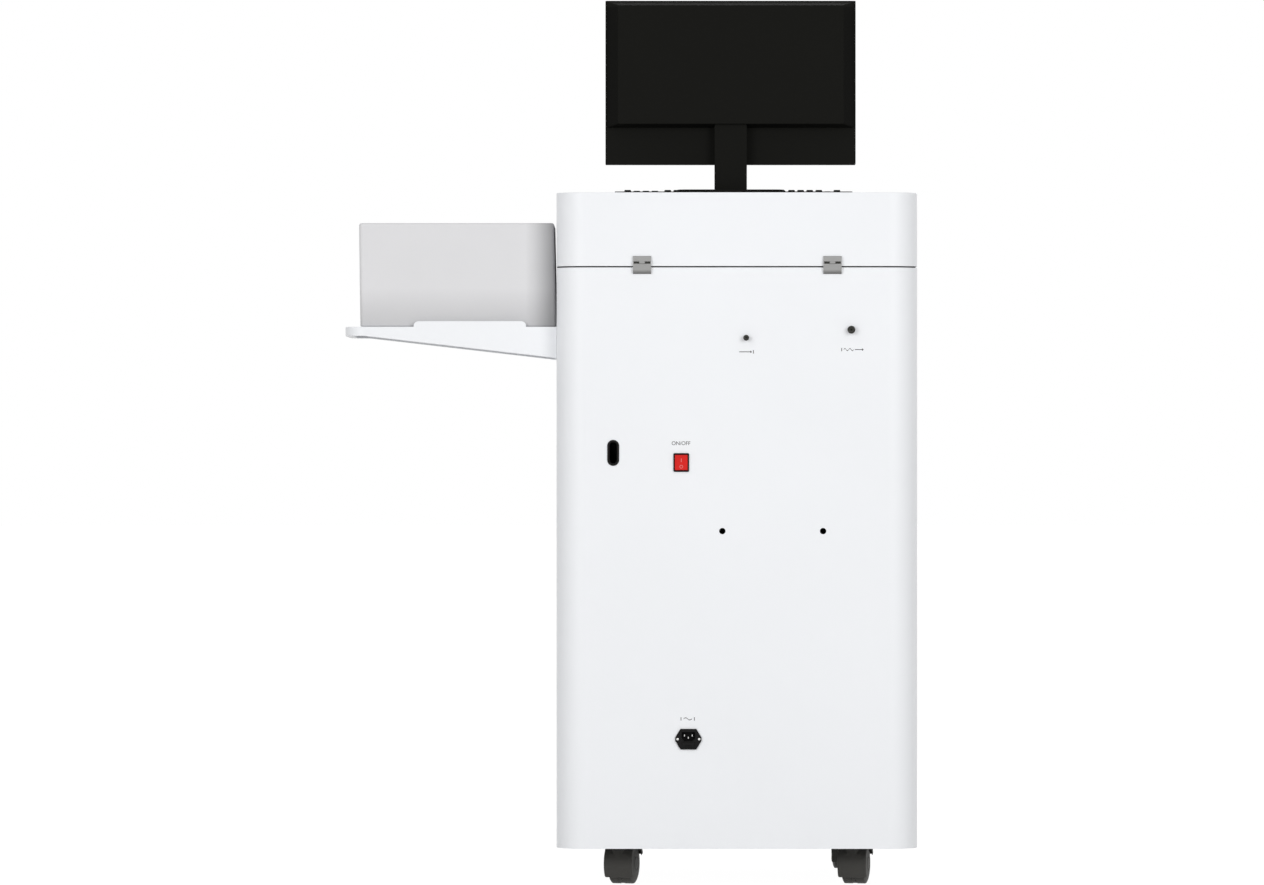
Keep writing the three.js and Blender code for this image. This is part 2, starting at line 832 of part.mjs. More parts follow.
function castorHood() {
  const axle = [-castorTrail, axleHeight];
  const arc = [hoodFrontAngle, hoodRearAngle];
  const arch = prism("X", sector(axle, hoodInner, hoodOuter, ...arc), about(0, 2 * hoodHalf), fineSteps);
  const lips = [-1, 1].map((side) => {
    const outer = side * hoodHalf;
    const inner = side * (hoodHalf - hoodLip);
    const span = [Math.min(outer, inner), Math.max(outer, inner)];
    return prism("X", sector(axle, hoodInner - hoodLipDepth, hoodOuter, ...arc), span, fineSteps);
  });
  const web = prism("X", sector(axle, 0, hoodInner + hoodWall / 2, ...arc), about(0, 2 * webHalf),
    fineSteps);
  const disc = rod("X", webRadius, axle, about(0, 2 * webHalf), largeSides);
  const boss = cut(
    rod("Z", stemBossRadius, [0, 0], [axleHeight, castorHeight], smallSides),
    rod("X", hoodInner, axle, about(0, 4 * hoodHalf), largeSides),
  );
  const stem = rod("Z", stemRadius, [0, 0], [castorHeight - hoodWall, castorHeight + stemLength],
    smallSides);
  const bore = rod("X", axleRadius + runningGap, axle, about(0, 4 * hoodHalf), smallSides);
  return cut(join(arch, ...lips, web, disc, boss, stem), bore);
}

function castorWheels() {
  const half = [
    [axleRadius, wheelInner],
    [wheelRadius, wheelInner],
    [wheelRadius, wheelOuter - wheelShoulder],
    [wheelRadius - wheelShoulder * shoulderTurnShare, wheelOuter - wheelShoulder * shoulderTurnShare],
    [wheelRadius - wheelShoulder, wheelOuter],
    [wheelRimRadius, wheelOuter],
    [wheelHubRadius, wheelOuter - wheelDish],
    [0, wheelOuter - wheelDish],
  ];
  const mirrored = half.map(([radius, place]) => [radius, -place]).reverse();
  const flatDown = Math.PI / wheelSides;
  return turned("X", [...mirrored, ...half], [-castorTrail, axleHeight], 0, wheelSides, flatDown);
}

function addCastors(group) {
  for (const [place, heading] of Object.entries(castorHeadings)) {
    const castor = new THREE.Group();
    const x = place.endsWith("right") ? castorX : -castorX;
    const y = place.startsWith("rear") ? castorY : -castorY;
    castor.position.set(x, y, -datumLift);
    castor.rotation.z = heading * degree;
    piece(castor, `castor_hood_${place}`, castorHood(), darkPlastic);
    piece(castor, `castor_wheels_${place}`, castorWheels(), darkPlastic);
    group.add(castor);
  }
}

// Inner deck and equipment shelf

function innerDeck() {
  const plate = carcassPlate(carcassInset, [deckFoot, deckTop]);
  const flange = cut(
    carcassPlate(carcassInset, [deckTop - deckFlange, deckTop]),
    carcassPlate(carcassInset + deckSheet, [deckFoot - deckFlange - overrun, deckTop + overrun]),
    block(about(0, cabinetWidth), [frontY, carcassFrontY + deckSheet],
      [deckFoot - deckFlange - overrun, deckFoot]),
  );
  const port = rod("Z", deckCablePort, [deckCablePortX, deckCablePortY],
    [deckFoot - overrun, deckTop + overrun]);
  return cut(join(plate, flange), port);
}

function equipmentShelf() {
  const half = innerSideX - seatGap;
  const tray = block(about(0, 2 * half), [shelfFrontY, shelfRearY],
    [shelfHeight - shelfFlange, shelfHeight]);
  const under = block(about(0, 2 * (half - shelfSheet)), [shelfFrontY + shelfSheet,
    shelfRearY - shelfSheet], [shelfHeight - shelfFlange - overrun, shelfHeight - shelfSheet]);
  return cut(tray, under);
}

// Front door, latch and upper front panel

// A sheet pan: a face with flanges that turn in all round
function frontPan(half, [foot, top], sheet, depth) {
  return cut(
    block(about(0, 2 * half), from(frontY, depth), [foot, top]),
    block(about(0, 2 * (half - sheet)), [frontY + sheet, frontY + depth + overrun],
      [foot + sheet, top - sheet]),
  );
}

function frontDoor() {
  const pan = frontPan(doorHalf, [doorFoot, doorTop], doorSheet, doorDepth);
  const lowerPin = rod("Z", doorPinRadius, [doorPivotX, doorPivotY],
    [doorFoot - doorPinReach, doorFoot + doorSheet], smallSides);
  const upperPin = rod("Z", doorPinRadius, [doorPivotX, doorPivotY],
    [doorTop - doorSheet, doorTop + doorPinReach], smallSides);
  const latchHole = rod("Y", latchShaftRadius + runningGap, [latchX, latchHeight],
    [frontY - overrun, frontY + doorDepth], roundSides);
  return cut(join(pan, lowerPin, upperPin), latchHole);
}

// Drawn unlatched, with its cam hanging down beside the front hem
function doorLatch() {
  const discRear = frontY - seatGap;
  const camFront = hemInnerY + latchCamGap;
  const disc = rod("Y", latchDiscRadius, [latchX, latchHeight], [discRear - latchDisc, discRear]);
  const grip = prism("Y", roundedRect(about(latchX, latchGripWidth), about(latchHeight, latchGripLength),
    latchGripWidth / 2), [discRear - latchDisc - latchGripDepth, discRear - seatGap]);
  const shaft = rod("Y", latchShaftRadius, [latchX, latchHeight],
    [discRear - seatGap, camFront + latchCamSheet]);
  const cam = prism("Y", roundedRect(about(latchX, latchCamWidth),
    [latchHeight - latchCamReach, latchHeight + latchCamWidth / 2], latchCamWidth / 2),
      from(camFront, latchCamSheet));
  return join(disc, grip, shaft, cam);
}

function frontUpperPanel() {
  const pan = frontPan(openingHalf - seatGap, [panelFoot, cabinetTop], panelSheet, hemDepth);
  const opening = block(about(0, nicheWidth), [frontY - overrun, frontY + panelSheet + overrun],
    [nicheFloor, nicheCeiling]);
  const heights = [startButtonHeight, stopButtonHeight];
  const collars = heights.map((z) => rod("Y", buttonCollarRadius, [buttonX, z],
    from(frontY - buttonCollarProud, buttonCollarLength), smallSides));
  const bores = heights.map((z) => rod("Y", buttonRadius + runningGap, [buttonX, z],
    [frontY - overrun, frontY + buttonCollarLength + overrun], smallSides));
  const pinHole = rod("Z", doorPinRadius + runningGap, [doorPivotX, doorPivotY],
    [panelFoot - overrun, panelFoot + overrun], smallSides);
  return cut(join(pan, ...collars), opening, ...bores, pinHole);
}

function pushButton(height) {
  const front = frontY - buttonCollarProud - buttonReach;
  const length = buttonReach + buttonCollarLength;
  return turned("Y", [
    [0, 0],
    [buttonRadius - buttonCrown, 0],
    [buttonRadius, buttonCrown],
    [buttonRadius, length],
    [0, length],
  ], [buttonX, height], front, smallSides);
}

function nicheLiner() {
  const outer = block(about(0, nicheWidth + 2 * nicheSheet), [nicheFrontY, nicheBackY],
    [nicheFloor - nicheSheet, nicheCeiling + nicheSheet]);
  const inner = block(about(0, nicheWidth), [nicheFrontY - overrun, nicheBackY - nicheSheet],
    [nicheFloor, nicheCeiling]);
  const lightPort = rod("Y", lightBoreRadius + runningGap, [0, lightHeight],
    about(nicheBackY, 2 * overrun));
  return cut(outer, inner, lightPort);
}

// Spark stand

function sparkStandBody() {
  const rear = nicheBackY - nicheSheet - seatGap;
  const bodyBlock = prism("Z", roundedRect(about(0, standWidth), [standFrontY, rear], standCorner),
    [standFoot, standTop]);
  const chamber = rod("Z", chamberRadius, [0, sparkY], [standTop - chamberDepth, standTop + overrun]);
  const lightBore = rod("Y", lightBoreRadius, [0, lightHeight], [sparkY, rear + overrun], smallSides);
  const knob = rod("Y", flushKnobRadius, [0, standFoot + standHeight / 2],
    [standFrontY - flushKnobReach, standFrontY + standCorner]);
  return cut(join(bodyBlock, knob), chamber, lightBore);
}

function sparkPlate() {
  const half = standWidth / 2 + platePlusX;
  const slab = roundedSlab(roundedRect([-half, half], [plateFrontY, plateRearY], plateCorner),
    [plateFoot, plateTop], plateBevel);
  return cut(slab, rod("Z", sparkHoleRadius, [0, sparkY], [plateFoot - overrun, plateTop + overrun]));
}

function counterElectrode() {
  const foot = standTop - chamberDepth + seatGap;
  const tip = plateTop - electrodeTipDepth - foot;
  return turned("Z", [
    [0, 0],
    [electrodeHolderRadius, 0],
    [electrodeHolderRadius, electrodeHolderHeight],
    [electrodeRadius, electrodeHolderHeight],
    [electrodeRadius, tip - electrodeTipLength],
    [0, tip],
  ], [0, sparkY], foot, smallSides);
}

function clampPost() {
  const collarTop = clampArmFoot - seatGap;
  return turned("Z", [
    [0, standFoot],
    [clampPostFlange, standFoot],
    [clampPostFlange, standFoot + clampPostFlangeHeight],
    [clampPostRadius, standFoot + clampPostFlangeHeight],
    [clampPostRadius, collarTop - clampCollarHeight],
    [clampCollarRadius, collarTop - clampCollarHeight],
    [clampCollarRadius, collarTop],
    [clampPostRadius, collarTop],
    [clampPostRadius, clampPostTop],
    [0, clampPostTop],
  ], [clampPostX, sparkY], 0);
}

function clampArm() {
  const height = from(clampArmFoot, clampArmHeight);
  const hub = rod("Z", clampArmHubRadius, [clampPostX, sparkY], height);
  const end = rod("Z", clampArmEndRadius, [0, sparkY], height);
  const bar = prism("Z", polygon([
    [0, sparkY - clampArmEndRadius],
    [clampPostX, sparkY - clampArmHubRadius],
    [clampPostX, sparkY + clampArmHubRadius],
    [0, sparkY + clampArmEndRadius],
  ]), height);
  const bores = [clampArmFoot - overrun, clampArmFoot + clampArmHeight + overrun];
  return cut(
    join(hub, end, bar),
    rod("Z", clampPostRadius + runningGap, [clampPostX, sparkY], bores),
    rod("Z", clampRodRadius + runningGap, [0, sparkY], bores),
  );
}

function clampRod() {
  const foot = plateTop + clampPadAbovePlate;
  return turned("Z", [
    [0, foot],
    [clampPadRadius, foot],
    [clampPadRadius, foot + clampPadHeight],
    [clampRodRadius, foot + clampPadHeight],
    [clampRodRadius, clampRodTop - clampKnobHeight],
    [clampKnobRadius, clampRodTop - clampKnobHeight],
    [clampKnobRadius, clampRodTop - clampKnobHeight / 4],
    [clampKnobRadius - clampKnobHeight / 4, clampRodTop],
    [0, clampRodTop],
  ], [0, sparkY], 0, smallSides);
}

// Optics chamber and what it holds

function opticsOutline(inset) {
  const side = opticsHalfWidth - inset;
  const front = opticsFrontY + inset;
  const rear = opticsRearY - inset;
  const chamfer = opticsChamfer - inset * (2 - Math.SQRT2);
  return polygon([
    [-side, front],
    [side, front],
    [side, rear - chamfer],
    [side - chamfer, rear],
    [chamfer - side, rear],
    [-side, rear - chamfer],
  ]);
}

function opticsChamber() {
  const box = prism("Z", opticsOutline(0), [opticsFoot, opticsTop]);
  const hollow = prism("Z", opticsOutline(opticsWall), [opticsFloor, opticsTop + overrun]);
  const snout = rod("Y", snoutRadius, [0, lightHeight], [nicheBackY + seatGap,
    opticsFrontY + opticsWall / 2]);
  const bore = rod("Y", lightBoreRadius, [0, lightHeight], [nicheBackY,
    opticsFrontY + opticsWall + overrun], smallSides);
  return cut(join(cut(box, hollow), snout), bore);
}

function opticsCover() {
  const foot = opticsTop + seatGap;
  const plate = prism("Z", opticsOutline(-coverOverhang), from(foot, coverThickness));
  const ribLength = opticsRearY - opticsFrontY - 2 * coverRibInset;
  const ribSpan = 2 * (opticsHalfWidth - opticsChamfer);
  const ribs = [];
  for (let i = 0; i < coverRibCount; i += 1) {
    const x = -ribSpan / 2 + (ribSpan * i) / (coverRibCount - 1);
    ribs.push(block(about(x, coverRibWidth), from(opticsFrontY + coverRibInset, ribLength),
      [foot + coverThickness / 2, foot + coverThickness + coverRibHeight]));
  }
  return join(plate, ...ribs);
}

function concaveGrating() {
  const foot = opticsFloor + seatGap;
  const axisHeight = foot + gratingAxisAboveFloor;
  const mount = block(about(0, gratingBlockWidth), from(gratingY, gratingBlockDepth), [foot, axisHeight]);
  const mirror = rod("Y", gratingRadius, [0, axisHeight], [gratingY - gratingThickness,
    gratingY + gratingThickness]);
  return join(mount, mirror);
}

function detectorBar() {
  const foot = opticsFloor + seatGap;
  const arc = sector([0, detectorArcCentreY], detectorArcRadius, detectorArcRadius + detectorBarThickness,
    detectorFacing - detectorHalfAngle, detectorFacing + detectorHalfAngle);
  const lightGate = block(about(0, 2 * snoutRadius), [opticsFrontY, detectorArcCentreY],
    [lightHeight - snoutRadius, lightHeight + detectorBarHeight]);
  return cut(prism("Z", arc, from(foot, detectorBarHeight), fineSteps), lightGate);
}

// Electrical modules

function moduleCover(xs, ys, foot, height) {
  const cover = block(xs, ys, [foot, foot + height]);
  const inside = block([xs[0] + moduleSheet, xs[1] - moduleSheet],
    [ys[0] + moduleSheet, ys[1] - moduleSheet], [foot - overrun, foot + height - moduleSheet]);
  const vents = [];
  const width = xs[1] - xs[0];
  for (let i = 0; i < ventCount; i += 1) {
    const x = xs[0] + (width * (i + 1)) / (ventCount + 1);
    vents.push(block(about(x, width * ventWidthShare), [ys[0] - overrun, ys[0] + overrun],
      about(foot + height / 2, height * ventHeightShare)));
  }
  return cut(cover, inside, ...vents);
}

function argonManifold() {
  const body = block(about(argonX, manifoldWidth), [manifoldFrontY, manifoldRearY],
    about(argonHeight, manifoldHeight));
  const bracketFoot = deckTop + seatGap;
  const leg = block(about(argonX, manifoldBracketWidth), from(manifoldFrontY, manifoldBracketSheet),
    [bracketFoot, argonHeight]);
  const shoe = block(about(argonX, manifoldBracketWidth), [manifoldFrontY, manifoldRearY],
    from(bracketFoot, manifoldBracketSheet));
  const valves = [];
  for (let i = 0; i < valveCount; i += 1) {
    const x = argonX + (i - (valveCount - 1) / 2) * valvePitch;
    const top = argonHeight + manifoldHeight / 2;
    valves.push(rod("Z", valveRadius, [x, (manifoldFrontY + manifoldRearY) / 2],
      [argonHeight, top + valveHeight], smallSides));
  }
  return join(body, leg, shoe, ...valves);
}

// Rear fittings

function gasFitting([x, z], collarRadius, noseRadius, boreRadius, nutRadius) {
  const neck = boreRadius + fittingNeckWall;
  const nutRear = innerRearY - seatGap;
  const nose = outerFaceY + fittingCollar + fittingNose;
  return turned("Y", [
    [0, fittingTailY],
    [neck, fittingTailY],
    [neck, nutRear - fittingNut],
    [nutRadius, nutRear - fittingNut],
    [nutRadius, nutRear],
    [neck, nutRear],
    [neck, outerFaceY],
    [collarRadius, outerFaceY],
    [collarRadius, outerFaceY + fittingCollar],
    [noseRadius, outerFaceY + fittingCollar],
    [noseRadius, nose],
    [boreRadius, nose],
    [boreRadius, nose - fittingBoreDepth],
    [0, nose - fittingBoreDepth],
  ], [x, z], 0, smallSides);
}

function cableSlotGrommet() {
  const lipFrontY = innerRearY - seatGap - grommetFlange;
  const rim = prism("Y", grommetOutline(0), from(outerFaceY, grommetFlange));
  const body = prism("Y", grommetOutline(grommetLipOverlap), [lipFrontY, outerFaceY + grommetFlange]);
  const lip = prism("Y", grommetOutline(grommetLipOverlap / 2), [lipFrontY, innerRearY - seatGap]);
  const slot = prism("Y", grommetOutline(grommetRim), [innerRearY - overrun, rearY + overrun]);
  return cut(join(rim, body, lip), slot);
}

function rockerBodyOutline() {
  return { width: bezelWidth - 2 * bezelLedge, height: bezelHeight - 2 * bezelLedge };
}

function rockerBezel() {
  const { width, height } = rockerBodyOutline();
  const face = outerFaceY + bezelProud;
  const pivotY = rearY - rockerPivotDepth;
  const cavityHalf = rockerWidth / 2 + runningGap;
  const plate = prism("Y", roundedRect(about(rockerX, bezelWidth), about(rockerHeight, bezelHeight),
    bezelCorner), [outerFaceY, face]);
  const body = block(about(rockerX, width), [rearY - rockerBodyDepth, face - bezelProud / 2],
    about(rockerHeight, height));
  const cavity = block(about(rockerX, 2 * cavityHalf), [pivotY - rockerCavityDepth, rearY + overrun],
    about(rockerHeight, rockerCavityHeight));
  const pinBore = rod("X", rockerPinRadius + runningGap, [pivotY, rockerHeight],
    about(rockerX, 2 * (cavityHalf + rockerPinReach)), smallSides);
  return cut(join(plate, body), cavity, pinBore);
}

// Drawn round its pivot, with both halves alike; it rests tilted with its lower half pressed in
function rockerKey() {
  const endRise = rockerRise + rockerRadius * Math.tan((rockerTravel / 2) * degree);
  const faces = polygon([
    [-rockerUnder, -rockerRadius],
    [endRise, -rockerRadius],
    [rockerRise, 0],
    [endRise, rockerRadius],
    [-rockerUnder, rockerRadius],
  ]);
  const width = about(0, rockerWidth);
  const round = rod("X", rockerRadius, [0, 0], width, largeSides);
  const pins = rod("X", rockerPinRadius, [0, 0], about(0, rockerWidth + 2 * rockerPinReach), smallSides);
  return join(prism("X", faces, width).intersect(round), pins);
}

function powerInlet() {
  const face = outerFaceY + inletFlange;
  const tipHalf = inletFlangeTip / 2;
  const topHalf = inletFlangeTop / 2;
  const sideHalf = inletFlangeWidth / 2;
  const upHalf = inletFlangeHeight / 2;
  const corners = [[topHalf, -upHalf], [sideHalf, -tipHalf], [sideHalf, tipHalf], [topHalf, upHalf]];
  const outline = [...corners, ...corners.map(([x, z]) => [-x, z]).reverse()];
  const flange = prism("Y", polygon(outline.map(([x, z]) => [inletX + x, inletHeight + z])),
    [outerFaceY, face]);
  const body = block(about(inletX, inletBodyWidth), [rearY - inletBodyDepth, face - inletFlange / 2],
    about(inletHeight, inletBodyHeight));
  const plugMiddle = inletHeight + plugCentreUp;
  const left = inletX - plugWidth / 2;
  const right = inletX + plugWidth / 2;
  const low = plugMiddle - plugHeight / 2;
  const high = plugMiddle + plugHeight / 2;
  const plug = prism("Y", polygon([
    [left + plugChamfer, low],
    [right - plugChamfer, low],
    [right, low + plugChamfer],
    [right, high],
    [left, high],
    [left, low + plugChamfer],
  ]), [face - plugDepth, face + overrun]);
  const pins = [[-pinPitch / 2, pinUp], [pinPitch / 2, pinUp], [0, -pinUp]].map(([x, up]) =>
    block(about(inletX + x, pinWidth), from(face - plugDepth - pinWidth, pinLength + pinWidth),
      about(plugMiddle + up, pinHeight)));
  const drawerBay = block(about(inletX, fuseWidth + 2 * seatGap),
    [face - fuseDepth - seatGap, face + overrun],
    about(inletHeight - fuseCentreDown, fuseHeight + 2 * seatGap));
  const screws = [-1, 1].map((side) => rod("Y", inletScrewRadius,
    [inletX + (side * inletScrewSpan) / 2, inletHeight],
    [outerFaceY - overrun, face + overrun], smallSides));
  return join(cut(join(flange, body), plug, drawerBay, ...screws), ...pins);
}

function fuseDrawer() {
  const face = outerFaceY + inletFlange;
  const middle = inletHeight - fuseCentreDown;
  const box = block(about(inletX, fuseWidth), [face - fuseDepth, face], about(middle, fuseHeight));
  const pocket = block(about(inletX, fuseWidth - 2 * fuseWall),
    from(face - fuseDepth + fuseWall, fusePocketBack),
    from(middle + fuseHeight / 2 - fusePocketDepth, fusePocketDepth + overrun));
  const grip = block(about(inletX, fuseWidth / 2), [face - fuseGripDepth, face + overrun],
    from(middle - fuseHeight / 2 + fuseWall, fuseGripHeight));
  return cut(box, pocket, grip);
}

// Lid and its hinges

function lidShell() {
  const outer = roundedSlab(cabinetPlan(0), [lidFoot, lidTop], lidEdge, cornerSteps);
  const inner = prism("Z", cabinetPlan(cabinetSheet), [lidFoot - overrun, lidTop - cabinetSheet],
    cornerSteps);
  return cut(outer, inner);
}

function hingeAxis() {
  return [rearY + hingeAxisOut, hingeAxisHeight];
}

function hingeEars(x, radius, extra) {
  return [-1, 1].map((side) => {
    const outer = x + side * (hingeWidth / 2 + extra);
    const inner = x + side * (hingeWidth / 2 - hingeEar - extra);
    return rod("X", radius, hingeAxis(), [Math.min(outer, inner), Math.max(outer, inner)], smallSides);
  });
}

// The leaf on the cabinet, whose lower end rolls back to the wall
function hingeLowerLeaf(x) {
  const plateTop = hingeAxisHeight - hingeSlot / 2;
  const roll = [];
  for (let i = 0; i <= hingeRollSteps; i += 1) {
    const turn = ((hingeRollSteps - i) / hingeRollSteps) * quarterTurn;
    roll.push([outerFaceY + hingeLeaf * Math.cos(turn), hingeFoot + hingeFootRoll * (1 - Math.sin(turn))]);
  }
  const side = polygon([...roll, [outerFaceY + hingeLeaf, plateTop], [outerFaceY, plateTop]]);
  const ears = hingeEars(x, hingeKnuckleRadius, 0);
  const earNecks = [-1, 1].map((end) => {
    const outer = x + end * (hingeWidth / 2);
    const inner = x + end * (hingeWidth / 2 - hingeEar);
    return block([Math.min(outer, inner), Math.max(outer, inner)], from(outerFaceY, hingeLeaf),
      [plateTop - hingeSlot, hingeAxisHeight]);
  });
  const pin = rod("X", hingePinRadius, hingeAxis(), about(x, hingeWidth), smallSides);
  const knuckleRoom = rod("X", hingeKnuckleRadius + runningGap, hingeAxis(),
    about(x, hingeTongue + 2 * runningGap));
  return join(cut(prism("X", side, about(x, hingeWidth)), knuckleRoom), ...ears, ...earNecks, pin);
}

// The leaf on the lid, with a thinner strip along its upper edge
function hingeUpperLeaf(x) {
  const plateFootZ = hingeAxisHeight + hingeSlot / 2;
  const leaf = from(outerFaceY, hingeLeaf);
  const low = block(about(x, hingeWidth), leaf, [plateFootZ, hingeBend]);
  const high = block(about(x, hingeWidth), from(outerFaceY, hingeLeaf - hingeBendStep),
    [hingeBend, hingeHead]);
  const knuckle = rod("X", hingeKnuckleRadius, hingeAxis(), about(x, hingeTongue));
  const tongue = block(about(x, hingeTongue), leaf, [hingeAxisHeight, hingeBend]);
  const bore = rod("X", hingePinRadius + runningGap, hingeAxis(), about(x, 2 * hingeWidth));
  const earRoom = hingeEars(x, hingeKnuckleRadius + runningGap, runningGap);
  return cut(join(low, high, knuckle, tongue), bore, ...earRoom);
}

// Side shelf

// The shelf's plan between its root at the cabinet and its outer end, drawn in by an inset
function trayPlan(inset) {
  const x0 = trayRootX - cabinetCorner;
  return roundedRect([x0, trayTipX - inset], [trayFrontY + inset, trayRearY - inset], trayCorner - inset);
}

// The room below a line that climbs from the skirt's root depth to its tip depth, raised by a lift
function belowSkirt(lift) {
  const rootZ = trayTop - traySkirtRoot + lift;
  const tipZ = trayTop - traySkirtTip + lift;
  const low = trayTop - 2 * traySkirtRoot;
  return prism("Y", polygon([
    [trayRootX, low],
    [trayTipX, low],
    [trayTipX, tipZ],
    [trayTipX - trayCorner, tipZ],
    [trayRootX, rootZ],
  ]), [trayFrontY - overrun, trayRearY + overrun]);
}

function shelfTray() {
  const inboard = block([trayRootX - 2 * cabinetCorner, trayRootX],
    [trayFrontY - overrun, trayRearY + overrun],
    [trayTop - 2 * traySkirtRoot - overrun, trayTop + overrun]);
  const height = [trayTop - traySkirtRoot, trayTop];
  const cleared = [trayTop - traySkirtRoot - overrun, trayTop + overrun];
  const top = prism("Z", trayPlan(0), [trayTop - traySheet, trayTop], cornerSteps);
  const outer = prism("Z", trayPlan(0), height, cornerSteps);
  const skirt = cut(outer, prism("Z", trayPlan(traySheet), cleared, cornerSteps), belowSkirt(0));
  const returns = cut(outer, prism("Z", trayPlan(traySheet + trayReturn), cleared, cornerSteps),
    belowSkirt(0))
    .intersect(belowSkirt(traySheet));
  const rootFlange = block(from(trayRootX, trayFlange), [trayFrontY, trayRearY], height);
  const tabStart = sideX + stopTabStart;
  const tabEnd = sideX + stopTabEnd;
  const tabTop = trayTop + stopTabHeight;
  const tab = new THREE.Shape();
  tab.moveTo(tabStart, trayTop - traySheet);
  tab.lineTo(tabEnd, trayTop - traySheet);
  tab.lineTo(tabEnd, tabTop - stopTabRound);
  tab.absarc(tabEnd - stopTabRound, tabTop - stopTabRound, stopTabRound, 0, quarterTurn);
  tab.absarc(tabStart + stopTabRound, tabTop - stopTabRound, stopTabRound, quarterTurn, halfTurn);
  tab.closePath();
  const stopTab = prism("Y", tab, [trayRearY - traySheet, trayRearY], cornerSteps);
  return join(cut(join(top, skirt, returns), inboard), rootFlange, stopTab);
}

// Printer

function printerBody() {
  const plan = roundedRect([printerX0, printerX1], [printerFrontY, printerRearY], printerCorner);
  const body = roundedSlab(plan, [printerFoot, printerTop], printerEdge);
  const coverXs = [printerX0 + printerCoverInset, printerX1 - printerCoverInset];
  const coverRoom = block(coverXs, [printerFrontY - overrun,
    coverAxisY + printerCoverBarrel + printerCoverGap],
    [printerFoot + printerCoverFoot, printerTop + overrun]);
  const bay = block([coverXs[0] + printerBay, coverXs[1] - printerBay],
    from(printerFrontY + printerBay, printerBayLength),
    [printerFoot + printerCoverFoot - printerBayDepth, printerFoot + printerCoverFoot + overrun]);
  const coverPins = rod("X", printerCoverPinRadius + runningGap, [coverAxisY, coverAxisHeight],
    [coverXs[0] - printerPinReach, coverXs[1] + printerPinReach], smallSides);
  const flapRoom = block(about(printerMidX, flapWidth + 2 * runningGap),
    [printerFrontY - overrun, flapAxisY + flapThickness / 2 + runningGap],
    [printerFoot + flapFoot - 2 * runningGap, printerFoot + flapFoot + flapHeight + runningGap]);
  const flapPins = rod("X", flapPinRadius + runningGap, [flapAxisY, flapAxisHeight],
    about(printerMidX, flapWidth + 2 * printerPinReach), smallSides);
  const paperPocket = block(about(printerMidX, paperWidth), [printerFrontY, printerFrontY + paperDepth],
    from(printerFoot + paperFoot, paperHeight));
  const button = rod("Z", printerButtonRadius + runningGap, printerButtonPlace(),
    [printerTop - printerButtonLength - printerButtonTravel, printerTop + overrun], smallSides);
  return cut(body, coverRoom, bay, coverPins, flapRoom, flapPins, paperPocket, button);
}

function printerButtonPlace() {
  return [printerX1 - printerButtonInset, printerFrontY + printerButtonBack];
}

function printerTopCover() {
  const foot = printerFoot + printerCoverFoot + seatGap;
  const xs = [printerX0 + printerCoverInset + printerCoverGap,
    printerX1 - printerCoverInset - printerCoverGap];
  const side = new THREE.Shape();
  side.moveTo(printerFrontY, foot);
  side.lineTo(coverAxisY, foot);
  side.absarc(coverAxisY, coverAxisHeight, printerCoverBarrel, -quarterTurn, quarterTurn);
  side.lineTo(printerFrontY + printerCoverNose, printerTop);
  side.absarc(printerFrontY + printerCoverNose, printerTop - printerCoverNose, printerCoverNose,
    quarterTurn, halfTurn);
  side.closePath();
  const cover = prism("X", side, xs, cornerSteps);
  const scoopFront = printerFrontY + printerScoopStart;
  const scoop = prism("X", polygon([
    [scoopFront, printerTop],
    [scoopFront + printerScoopLength, printerTop - printerScoopDepth],
    [scoopFront + printerScoopLength, printerTop + overrun],
    [scoopFront, printerTop + overrun],
  ]), about(printerMidX, printerScoopWidth));
  const pins = rod("X", printerCoverPinRadius, [coverAxisY, coverAxisHeight],
    [xs[0] - printerPinReach, xs[1] + printerPinReach], smallSides);
  return join(cut(cover, scoop), pins);
}

function printerTrayFlap() {
  const thickness = about(flapAxisY, flapThickness);
  const panel = block(about(printerMidX, flapWidth), thickness,
    [flapAxisHeight, printerFoot + flapFoot + flapHeight]);
  const barrel = rod("X", flapThickness / 2, [flapAxisY, flapAxisHeight], about(printerMidX, flapWidth),
    smallSides);
  const pins = rod("X", flapPinRadius, [flapAxisY, flapAxisHeight],
    about(printerMidX, flapWidth + 2 * printerPinReach - 2 * runningGap), smallSides);
  const grip = block(about(printerMidX, flapGripWidth), [printerFrontY - overrun,
    thickness[0] + flapGripDepth],
    from(printerFoot + flapFoot + flapHeight - flapGripHeight, flapGripHeight + overrun));
  return join(cut(join(panel, barrel), grip), pins);
}

function printerButton() {
  return rod("Z", printerButtonRadius, printerButtonPlace(),
    [printerTop - printerButtonLength, printerTop + printerButtonProud], smallSides);
}

// Keyboard, drawn flat from the middle of its front lower edge and tilted by its feet

const keyboardTilt = Math.asin(keyboardRise / keyboardDepth) / degree;
const mainUnits = 15;
const navUnits = 3;
const padUnits = 4;
const keyBlockWidth = (mainUnits + navUnits + padUnits) * keyPitch + 2 * keyGroupGap;
const mainStart = -keyBlockWidth / 2;
const navStart = mainStart + mainUnits * keyPitch + keyGroupGap;
const padStart = navStart + navUnits * keyPitch + keyGroupGap;

// Key widths in key units, from the front row to the number row
const mainRows = [
  [1.25, 1.25, 1.25, 6.25, 1.25, 1.25, 1.25, 1.25],
  [2.25, 1, 1, 1, 1, 1, 1, 1, 1, 1, 1, 2.75],
  [1.75, 1, 1, 1, 1, 1, 1, 1, 1, 1, 1, 1, 2.25],
  [1.5, 1, 1, 1, 1, 1, 1, 1, 1, 1, 1, 1, 1, 1.5],
  [1, 1, 1, 1, 1, 1, 1, 1, 1, 1, 1, 1, 1, 2],
];
const spaceBarAt = { row: 0, key: 3 };
const enterKeyAt = { row: 2, key: 12 };
const functionGroups = [1, 4, 4, 4];

